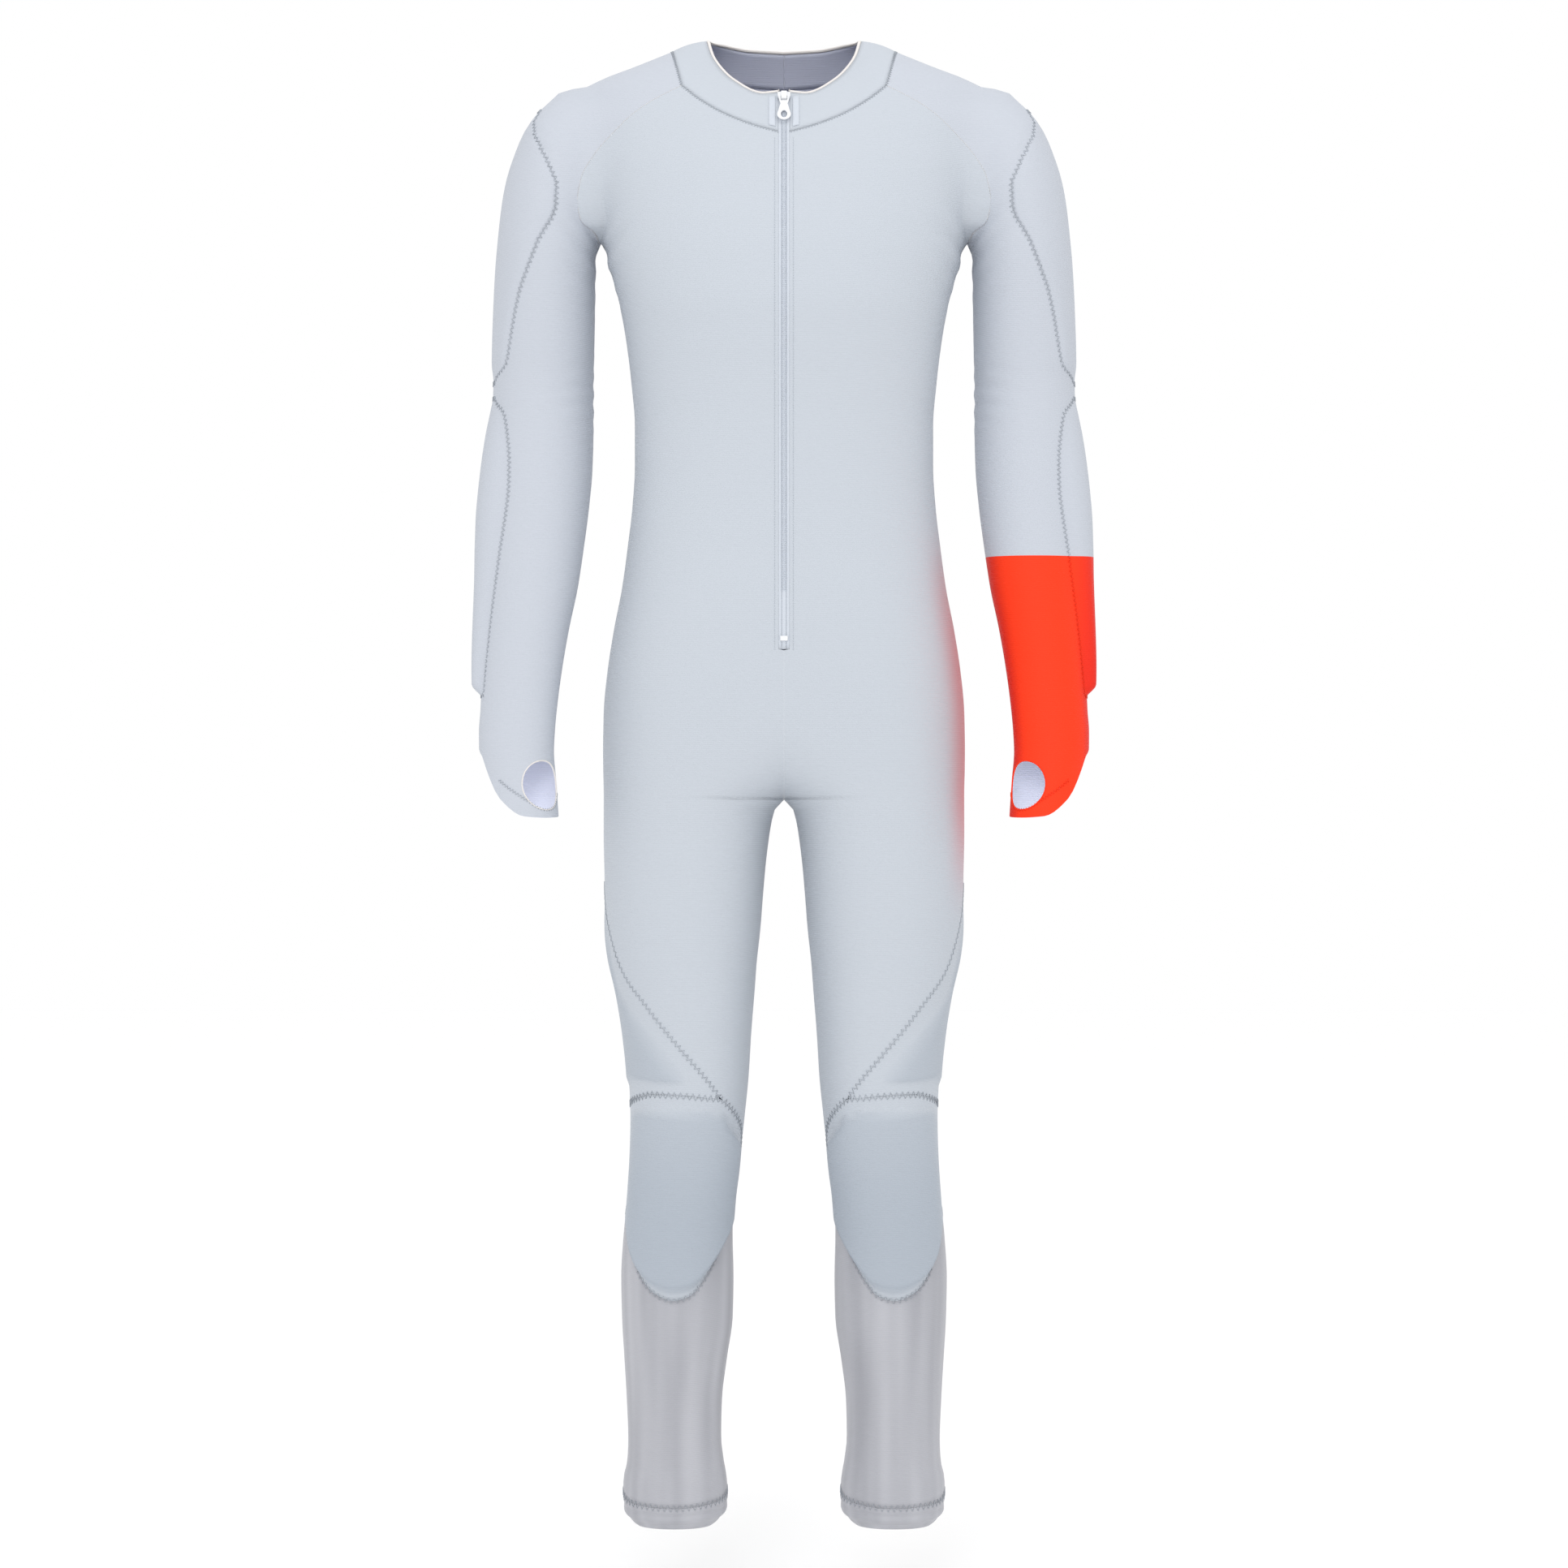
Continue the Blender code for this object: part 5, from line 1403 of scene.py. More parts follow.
            row = arm_points(angles, np.full(len(angles), z))
            if i == 0:
                row[0] = row[-1] = front[-1]
            rows.append(row)
        rows.extend(self.cuff())
        return np.array(rows)

    def ring_angles(self, half: float, share: float, parts: int | None = None) -> Array:
        """Column angles of a sleeve ring, turning into the cuff's columns near the end.

        Args:
            half: half angle of the guard.
            share: share of the way down.
            parts: fine columns to a coarse one.

        Returns:
            The angles.
        """
        parts = self.across if parts is None else parts
        guard = between(GUARD_SHARES, parts)
        side = np.linspace(0.0, 1.0, SLEEVE_SIDE_COLUMNS * parts + 1)
        front = -180.0 + (180.0 - half) * side[:-1]
        blend = np.clip((share - 0.6) / 0.4, 0.0, 1.0)
        end = between(CUFF_FRONT_ANGLES[:-1] + (-half,), parts)[:-1]
        front = front * (1.0 - blend) + end * blend
        back = (half + (180.0 - half) * side)[1:]
        return np.concatenate([front, -half + 2.0 * half * guard, back])

    def cuff(self) -> list:
        """Rows of the cuff below the last sleeve ring.

        Returns:
            The rows.
        """
        top, half = SLEEVE_ROWS[-1]
        angles = self.ring_angles(half, 1.0, parts=1)
        edge = smooth(column(CUFF_EDGE, 0), column(CUFF_EDGE, 1), angles)
        turned, heights = [angles], [np.full(len(angles), top)]
        for k, share in enumerate(CUFF_SHARES):
            turn = angles.copy()
            height = top + (edge - top) * share
            place = k - (HOLE_ROWS[0] - 1)
            if 0 <= place < len(HOLE_RIM):
                for j, (angle, z) in enumerate(HOLE_RIM[place]):
                    turn[HOLE_COLUMNS[0] + j] = angle
                    height[HOLE_COLUMNS[0] + j] = z
            turned.append(turn)
            heights.append(height)
        turned = self.refine(np.array(turned))
        heights = self.refine(np.array(heights))
        self.round_hole(turned)
        self.round_hole(heights)
        self.hole = self.rim(turned), self.rim(heights)
        return [arm_points(a, h) for a, h in zip(turned[1:], heights[1:])]

    def hole_box(self) -> tuple:
        """First and last fine row and column of the thumb hole."""
        return (HOLE_ROWS[0] * self.down, (HOLE_ROWS[-1] + 1) * self.down,
                HOLE_COLUMNS[0] * self.across, (HOLE_COLUMNS[-1] + 1) * self.across)

    def round_hole(self, values: Array) -> None:
        """Draw the thumb hole's rim out to an oval; the change fades away round it.

        Args:
            values: angles or heights of the cuff, changed in place.
        """
        top, foot, first, last = self.hole_box()
        box = values[top:foot + 1, first:last + 1]
        v = np.linspace(-1.0, 1.0, box.shape[0])[:, None]
        u = np.linspace(-1.0, 1.0, box.shape[1])[None, :]
        rim = np.concatenate([box[0], box[-1], box[:, 0], box[:, -1]])
        middle, half = (rim.max() + rim.min()) / 2.0, (rim.max() - rim.min()) / 2.0
        sides = box[:, -1].mean() - box[:, 0].mean()
        ends = box[-1].mean() - box[0].mean()
        if abs(sides) > abs(ends):
            disc = u * np.sqrt(1.0 - v * v / 2.0) * np.sign(sides)
        else:
            disc = v * np.sqrt(1.0 - u * u / 2.0) * np.sign(ends)
        change = middle + half * disc - box
        rows, cols = (np.arange(n) for n in values.shape)
        near_row, near_col = np.clip(rows, top, foot), np.clip(cols, first, last)
        gap = np.maximum(np.abs(rows - near_row)[:, None], np.abs(cols - near_col)[None, :])
        fade = 1.0 - ease(gap.astype(float), 0.0, 4.0)
        values += change[near_row - top][:, near_col - first] * fade

    def rim(self, values: Array) -> Array:
        """Values round the thumb hole's rim, in order.

        Args:
            values: angles or heights of the cuff.

        Returns:
            The values.
        """
        top, foot, first, last = self.hole_box()
        return np.concatenate([values[top, first:last], values[top:foot, last],
                               values[foot, last:first:-1], values[foot:top:-1, first],
                               values[top, first:first + 1]])

    def refine(self, values: Array) -> Array:
        """Smooth fine table through a coarse one, down and across."""
        wide = np.array([between_smooth(row, self.across) for row in values])
        return np.array([between_smooth(col, self.down) for col in wide.T]).T

    def collar(self) -> tuple:
        """Grid of one half of the collar, neck edge first, with outward directions.

        Returns:
            The grid and its outward directions.
        """
        front = self.trunks[-1][0]
        back = self.trunks[1][:, ::-1][0]
        over = self.sleeve[0]
        seam = np.vstack([front, over[1:-1], back[::-1]])
        bearing = np.degrees(np.arctan2(seam[:, 0], -seam[:, 1]))
        bearing = bearing * 180.0 / bearing[-1]
        angles = column(NECK_EDGE, 0)
        edge = np.stack([smooth(angles, column(NECK_EDGE, i), bearing) for i in (1, 2, 3)],
                        axis=1)
        edge[0, 0] = ZIP_HALF
        edge[-1, 0] = 0.0
        shares = np.linspace(0.0, 1.0, 9)
        grid = np.array([edge + (seam - edge) * s for s in shares])
        normals = grid_normals(grid)
        normals[:, (0, -1), 0] = 0.0
        normals = normals / np.linalg.norm(normals, axis=2, keepdims=True)
        for r, share in enumerate(shares):
            grid[r] = grid[r] + normals[r] * 2.0 * MM * 4.0 * share * (1.0 - share)
        normals = grid_normals(grid)
        normals[:, (0, -1), 0] = 0.0
        foot = surface_normals(seam, suit_field)
        for r, share in enumerate(shares):
            blend = max(0.0, share * 2.0 - 1.0)
            normals[r] = normals[r] * (1.0 - blend) + foot * blend
        return grid, normals / np.linalg.norm(normals, axis=2, keepdims=True)


@dataclass
class Thread:
    """Makes stitches along lines with node groups, then keeps them as plain meshes."""

    materials: Materials
    groups: dict = part_field(default_factory=dict)

    def socket(self, tree: bpy.types.NodeTree, name: str, kind: str,
               value: object = None) -> str:
        """Named input of a node group, with its usual value.

        Args:
            tree: the node group.
            name: name of the input.
            kind: socket type.
            value: usual value, or None.

        Returns:
            The identifier of the input.
        """
        made = tree.interface.new_socket(name, in_out="INPUT", socket_type=kind)
        if value is not None:
            made.default_value = value
        return made.identifier

    def zigzag(self) -> tuple:
        """Node group of a thread that runs from side to side of a seam.

        Returns:
            The group and its inputs' keys.
        """
        if "zigzag" in self.groups:
            return self.groups["zigzag"]
        tree = bpy.data.node_groups.new("zigzag_stitch", "GeometryNodeTree")
        tree.interface.new_socket("Geometry", in_out="OUTPUT",
                                  socket_type="NodeSocketGeometry")
        keys = {"Path": self.socket(tree, "Path", "NodeSocketGeometry"),
                "Step": self.socket(tree, "Step", "NodeSocketFloat", 3.0 * MM),
                "Reach": self.socket(tree, "Reach", "NodeSocketFloat", 1.5 * MM),
                "Lift": self.socket(tree, "Lift", "NodeSocketFloat", 0.3 * MM),
                "Thread": self.socket(tree, "Thread", "NodeSocketFloat", 0.3 * MM),
                "Finish": self.socket(tree, "Finish", "NodeSocketMaterial")}
        nodes, links = tree.nodes, tree.links
        start, end = nodes.new("NodeGroupInput"), nodes.new("NodeGroupOutput")
        curve = nodes.new("GeometryNodeMeshToCurve")
        even = add_node(nodes, "GeometryNodeResampleCurve", mode="LENGTH")
        place = nodes.new("GeometryNodeSetPosition")
        out = add_node(nodes, "GeometryNodeInputNamedAttribute", {"Name": "out"},
                       data_type="FLOAT_VECTOR")
        tangent = nodes.new("GeometryNodeInputTangent")
        cross = add_node(nodes, "ShaderNodeVectorMath", operation="CROSS_PRODUCT")
        index = nodes.new("GeometryNodeInputIndex")
        odd = add_node(nodes, "ShaderNodeMath", {1: 2.0}, operation="MODULO")
        sign = add_node(nodes, "ShaderNodeMath", {1: 2.0, 2: -1.0}, operation="MULTIPLY_ADD")
        width = add_node(nodes, "ShaderNodeMath", operation="MULTIPLY")
        sideways = add_node(nodes, "ShaderNodeVectorMath", operation="SCALE")
        upward = add_node(nodes, "ShaderNodeVectorMath", operation="SCALE")
        total = add_node(nodes, "ShaderNodeVectorMath", operation="ADD")
        ring = add_node(nodes, "GeometryNodeCurvePrimitiveCircle", {"Resolution": 5})
        tube = add_node(nodes, "GeometryNodeCurveToMesh", {"Fill Caps": True})
        finish = nodes.new("GeometryNodeSetMaterial")
        real = nodes.new("GeometryNodeRealizeInstances")
        links.new(start.outputs["Path"], curve.inputs["Mesh"])
        links.new(curve.outputs["Curve"], even.inputs["Curve"])
        links.new(start.outputs["Step"], even.inputs["Length"])
        links.new(even.outputs["Curve"], place.inputs["Geometry"])
        links.new(tangent.outputs["Tangent"], cross.inputs[0])
        links.new(out.outputs[0], cross.inputs[1])
        links.new(index.outputs["Index"], odd.inputs[0])
        links.new(odd.outputs["Value"], sign.inputs[0])
        links.new(sign.outputs["Value"], width.inputs[0])
        links.new(start.outputs["Reach"], width.inputs[1])
        links.new(cross.outputs["Vector"], sideways.inputs[0])
        links.new(width.outputs["Value"], sideways.inputs["Scale"])
        links.new(out.outputs[0], upward.inputs[0])
        links.new(start.outputs["Lift"], upward.inputs["Scale"])
        links.new(sideways.outputs["Vector"], total.inputs[0])
        links.new(upward.outputs["Vector"], total.inputs[1])
        links.new(total.outputs["Vector"], place.inputs["Offset"])
        links.new(start.outputs["Thread"], ring.inputs["Radius"])
        links.new(place.outputs["Geometry"], tube.inputs["Curve"])
        links.new(ring.outputs["Curve"], tube.inputs["Profile Curve"])
        links.new(tube.outputs["Mesh"], real.inputs["Geometry"])
        links.new(real.outputs["Geometry"], finish.inputs["Geometry"])
        links.new(start.outputs["Finish"], finish.inputs["Material"])
        links.new(finish.outputs["Geometry"], end.inputs["Geometry"])
        self.groups["zigzag"] = (tree, keys)
        return self.groups["zigzag"]

    def beads(self) -> tuple:
        """Node group that repeats a small round-cornered piece along a line.

        Returns:
            The group and its inputs' keys.
        """
        if "beads" in self.groups:
            return self.groups["beads"]
        tree = bpy.data.node_groups.new("row_of_pieces", "GeometryNodeTree")
        tree.interface.new_socket("Geometry", in_out="OUTPUT",
                                  socket_type="NodeSocketGeometry")
        keys = {"Path": self.socket(tree, "Path", "NodeSocketGeometry"),
                "Step": self.socket(tree, "Step", "NodeSocketFloat", 3.0 * MM),
                "Size": self.socket(tree, "Size", "NodeSocketVector", (0.3 * MM,) * 3),
                "Lift": self.socket(tree, "Lift", "NodeSocketFloat", 0.3 * MM),
                "Finish": self.socket(tree, "Finish", "NodeSocketMaterial")}
        nodes, links = tree.nodes, tree.links
        start, end = nodes.new("NodeGroupInput"), nodes.new("NodeGroupOutput")
        curve = nodes.new("GeometryNodeMeshToCurve")
        dots = add_node(nodes, "GeometryNodeCurveToPoints", mode="LENGTH")
        out = add_node(nodes, "GeometryNodeInputNamedAttribute", {"Name": "out"},
                       data_type="FLOAT_VECTOR")
        upright = add_node(nodes, "FunctionNodeAlignRotationToVector", axis="Z")
        along = add_node(nodes, "FunctionNodeAlignRotationToVector", axis="Y", pivot_axis="Z")
        keep = add_node(nodes, "GeometryNodeStoreNamedAttribute", {"Name": "along"},
                        data_type="FLOAT_VECTOR", domain="POINT")
        saved = add_node(nodes, "GeometryNodeInputNamedAttribute", {"Name": "along"},
                         data_type="FLOAT_VECTOR")
        ball = add_node(nodes, "GeometryNodeMeshIcoSphere", {"Radius": 1.0, "Subdivisions": 2})
        copies = nodes.new("GeometryNodeInstanceOnPoints")
        upward = add_node(nodes, "ShaderNodeVectorMath", operation="SCALE")
        place = nodes.new("GeometryNodeSetPosition")
        real = nodes.new("GeometryNodeRealizeInstances")
        finish = nodes.new("GeometryNodeSetMaterial")
        links.new(start.outputs["Path"], curve.inputs["Mesh"])
        links.new(curve.outputs["Curve"], dots.inputs["Curve"])
        links.new(start.outputs["Step"], dots.inputs["Length"])
        links.new(dots.outputs["Points"], keep.inputs["Geometry"])
        links.new(dots.outputs["Tangent"], keep.inputs["Value"])
        links.new(keep.outputs["Geometry"], place.inputs["Geometry"])
        links.new(out.outputs[0], upward.inputs[0])
        links.new(start.outputs["Lift"], upward.inputs["Scale"])
        links.new(upward.outputs["Vector"], place.inputs["Offset"])
        links.new(place.outputs["Geometry"], copies.inputs["Points"])
        links.new(ball.outputs["Mesh"], copies.inputs["Instance"])
        links.new(out.outputs[0], upright.inputs["Vector"])
        links.new(upright.outputs["Rotation"], along.inputs["Rotation"])
        links.new(saved.outputs[0], along.inputs["Vector"])
        links.new(along.outputs["Rotation"], copies.inputs["Rotation"])
        links.new(start.outputs["Size"], copies.inputs["Scale"])
        links.new(copies.outputs["Instances"], real.inputs["Geometry"])
        links.new(real.outputs["Geometry"], finish.inputs["Geometry"])
        links.new(start.outputs["Finish"], finish.inputs["Material"])
        links.new(finish.outputs["Geometry"], end.inputs["Geometry"])
        self.groups["beads"] = (tree, keys)
        return self.groups["beads"]

    def run(self, name: str, lines: list, kind: str, values: dict, cover: Cover = Cover.THREAD,
            tint: str | None = None, body: str = SUIT, slot: str | None = None) -> Item:
        """Make stitches along lines.

        Args:
            name: name of the new object.
            lines: pairs of points and outward directions, each one line.
            kind: "zigzag" or "beads".
            values: values of the group's inputs by name.
            cover: finish of the thread.
            tint: colour pattern.
            body: body that the stitches move with.
            slot: not used.

        Returns:
            The object.
        """
        tree, keys = self.zigzag() if kind == "zigzag" else self.beads()
        material = self.materials.get(cover, tint)
        points, edges, outs = [], [], []
        for line, out in lines:
            first = len(points)
            points.extend(line)
            outs.extend(out)
            edges.extend((first + i, first + i + 1) for i in range(len(line) - 1))
        mesh = bpy.data.meshes.new(name)
        mesh.from_pydata([tuple(map(float, p)) for p in points], edges, [])
        layer = mesh.attributes.new("out", "FLOAT_VECTOR", "POINT")
        layer.data.foreach_set("vector", np.asarray(outs, dtype=np.float32).reshape(-1))
        item = bpy.data.objects.new(name, mesh)
        bpy.context.scene.collection.objects.link(item)
        build = item.modifiers.new("stitches", "NODES")
        build.node_group = tree
        for key, value in values.items():
            build[keys[key]] = value
        build[keys["Finish"]] = material
        bpy.context.view_layer.update()
        graph = bpy.context.evaluated_depsgraph_get()
        finished = bpy.data.meshes.new_from_object(item.evaluated_get(graph))
        item.modifiers.clear()
        item.data = finished
        bpy.data.meshes.remove(mesh)
        finished.name = name
        if not finished.materials:
            finished.materials.append(material)
        smooth_faces = np.ones(len(finished.polygons), dtype=bool)
        finished.polygons.foreach_set("use_smooth", smooth_faces)
        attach(item, body)
        LOG.info("%s: %d faces", name, len(finished.polygons))
        return item


def on_both(line: tuple, side: int) -> tuple:
    """A line of points and directions, mirrored for the right half."""
    flip = np.array([float(side), 1.0, 1.0])
    return np.asarray(line[0]) * flip, np.asarray(line[1]) * flip


@dataclass
class Trunk:
    """Front and back panels from the collar to the thighs."""

    form: Form
    tailor: Tailor

    def build(self) -> None:
        """Make the four panels."""
        for sign, word in ((-1, "front"), (1, "back")):
            grid = self.form.trunks[sign]
            rise = Relief.trunk(grid)
            # Rose side tint on the hip: printed colour with painted reflection.
            side_print_and_painted_light = Relief.hip(grid)
            for side, hand in ((1, "left"), (-1, "right")):
                self.tailor.shell("%s_%s_cloth" % (word, hand), "%s_%s" % (word, hand), grid,
                                  Cover.BODY, side=side, rise=rise, side_print_and_painted_light=side_print_and_painted_light,
                                  tint="hip" if side > 0 else None)
                self.tailor.sheet()

    def dress(self, seams: "Seams") -> None:
        """Hand over the seams that the panels end at.

        Args:
            seams: collects the seams.
        """
        for sign in (-1, 1):
            line = self.form.raglan[sign]
            seams.add("raglan", line, surface_normals(line, suit_field))


class Relief:
    """How the cloth stands out from the smooth form: pads, folds and ridges."""

    @staticmethod
    def trunk(grid: Array) -> Array:
        """Folds of the trunk panels.

        Args:
            grid: points by row and column.

        Returns:
            The rise of each point.
        """
        x, z = np.abs(grid[:, :, 0]), grid[:, :, 2]
        rise = np.zeros(grid.shape[:2])
        front = grid[:, :, 1] < 0.0
        pit = np.exp(-((x - 0.176) / 0.030) ** 2 - ((z + 0.212) / 0.040) ** 2)
        wave = np.sin((z * 0.7 + x * 0.7) * 2.0 * math.pi / 0.021)
        rise += np.where(front, 1.0, 0.6) * 1.1 * MM * wave * pit
        return rise

    @staticmethod
    def hip(grid: Array) -> Array:
        """Strength of the rose tint at the side of the hip: printed colour, with painted
        reflection.

        Args:
            grid: points by row and column.

        Returns:
            The strength at each point.
        """
        x, z = np.abs(grid[:, :, 0]), grid[:, :, 2]
        flat = z.reshape(-1)
        centre, _, out, _, _, _, _ = body_section(flat)
        outer = (centre + out).reshape(z.shape)
        near = ease(x - outer, -0.026, 0.004) ** 1.3
        height = ease(-z, 0.47, 0.64) * (1.0 - ease(-z, 0.74, 0.875))
        return 0.62 * near * height * (1.0 - ease(grid[:, :, 1], 0.0, 0.07))

    @staticmethod
    def knee(grid: Array, shares: Array, angles: Array) -> Array:
        """Rise of the knee pad: a crisp upper edge, and a rounded foot inside the seam.

        Args:
            grid: points by row and column.
            shares: share of the way down of each row.
            angles: angles in degrees.

        Returns:
            The rise of each point.
        """
        down = np.asarray(shares)[:, None]
        turn = np.asarray(angles)[None, :]
        top = ease(-grid[:, :, 2] + smooth(column(PAD_TOP, 0), column(PAD_TOP, 1), turn),
                   0.0, 5.0 * MM)
        foot = 1.0 - ease(down, 0.93, 0.985)
        across = ease(turn, -174.0, -140.0) * (1.0 - ease(turn, -52.0, -8.0))
        low = smooth((0.0, 0.25, 0.6, 1.0), (0.62, 0.8, 1.0, 1.0), down)
        return KNEE_PAD * top * foot * across * low

    @staticmethod
    def thigh(grid: Array, angles: Array) -> Array:
        """Rise of the thin thigh pad: its slanted front edge and level foot.

        Args:
            grid: points by row and column.
            angles: angles in degrees.

        Returns:
            The rise of each point.
        """
        x, z = np.abs(grid[:, :, 0]), grid[:, :, 2]
        edge = smooth(column(PAD_EDGE, 0), column(PAD_EDGE, 1), z)
        front = ease(x - edge, 0.0, 5.0 * MM)
        front = np.where(np.asarray(angles)[None, :] > -20.0, 1.0, front)
        foot = ease(z, PAD_FOOT, PAD_FOOT + 4.0 * MM)
        back = 1.0 - ease(np.asarray(angles)[None, :], 12.0, 30.0)
        top = ease(z[:1] - z, 8.0 * MM, 60.0 * MM)
        return THIGH_PAD * front * foot * back * top


@dataclass
class Legs:
    """Thigh guards, knee guards, shins and ankle bands."""

    form: Form
    tailor: Tailor
    lines: dict = part_field(default_factory=dict)

    def build(self) -> None:
        """Make the leg panels of both sides."""
        form = self.form
        ring = form.ring()
        guard = ring[(ring >= GUARD_FIRST - 1e-6) & (ring <= GUARD_LAST + 1e-6)]
        thigh = form.leg(guard, seam_height(THIGH_SEAM, guard), knee_heights(guard),
                         GUARD_STEPS * form.down)
        shares = between(KNEE_SHARES, form.down)
        top, foot = knee_heights(ring), seam_height(SHIN_SEAM, ring)
        knee = np.array([leg_points(ring, top + (foot - top) * s) for s in shares])
        band = seam_height(BAND_SEAM, ring)
        shin = form.leg(ring, foot, band, SHIN_STEPS * form.down)
        bands = between(BAND_SHARES, 2 * form.down)
        hem = np.array([leg_points(ring, band + (HEM_Z - band) * s) for s in bands])
        ridges = 0.8 * MM * np.sin(bands * 2.0 * math.pi * 2.2) * ease(bands, 0.1, 0.3)
        ridges = np.repeat((ridges * (1.0 - ease(bands, 0.8, 1.0)))[:, None], len(ring), axis=1)
        pad = Relief.knee(knee, shares, ring)
        thin = Relief.thigh(thigh, guard)
        # Rose side tint on the hip: printed colour with painted reflection.
        side_print_and_painted_light = Relief.hip(thigh)
        # The pad shares also set how much painted shade darkens the pads' cloth.
        for side, hand in ((1, "left"), (-1, "right")):
            shell = self.tailor.shell
            shell("thigh_guard_%s_cloth" % hand, "thigh_guard_" + hand, thigh, Cover.BODY,
                  rise=thin, side=side, field=body_field, side_print_and_painted_light=side_print_and_painted_light,
                  pad=0.7 * thin / THIGH_PAD,
                  tint="hip" if side > 0 else None)
            self.tailor.sheet()
            item = shell("knee_guard_%s_cloth" % hand, "knee_guard_" + hand, knee, Cover.BODY,
                         rise=pad, side=side, field=body_field, shut=True,
                         pad=pad / KNEE_PAD)
            shell("shin_%s_cloth" % hand, "shin_" + hand, shin, Cover.SHIN, side=side,
                  field=body_field, shut=True)
            self.tailor.sheet()
            shell("hem_%s_cloth" % hand, "hem_" + hand, hem, Cover.SHIN, rise=ridges,
                  side=side, field=body_field, shut=True)
            self.tailor.sheet()
        self.lines = {"knee_top": knee[0], "knee_foot": knee[-1], "band": hem[0],
                      "thigh_guard": thigh}

    def dress(self, seams: "Seams") -> None:
        """Hand over the seams of the legs.

        Args:
            seams: collects the seams.
        """
        for name in ("knee_top", "knee_foot", "band"):
            line = self.lines[name]
            line = np.vstack([line, line[:1]])
            seams.add(name, line, surface_normals(line, body_field))
        guard = self.lines["thigh_guard"]
        edge = np.vstack([guard[::-1, 0], guard[0, 1:], guard[1:, -1]])
        seams.add("thigh", edge, surface_normals(edge, body_field))


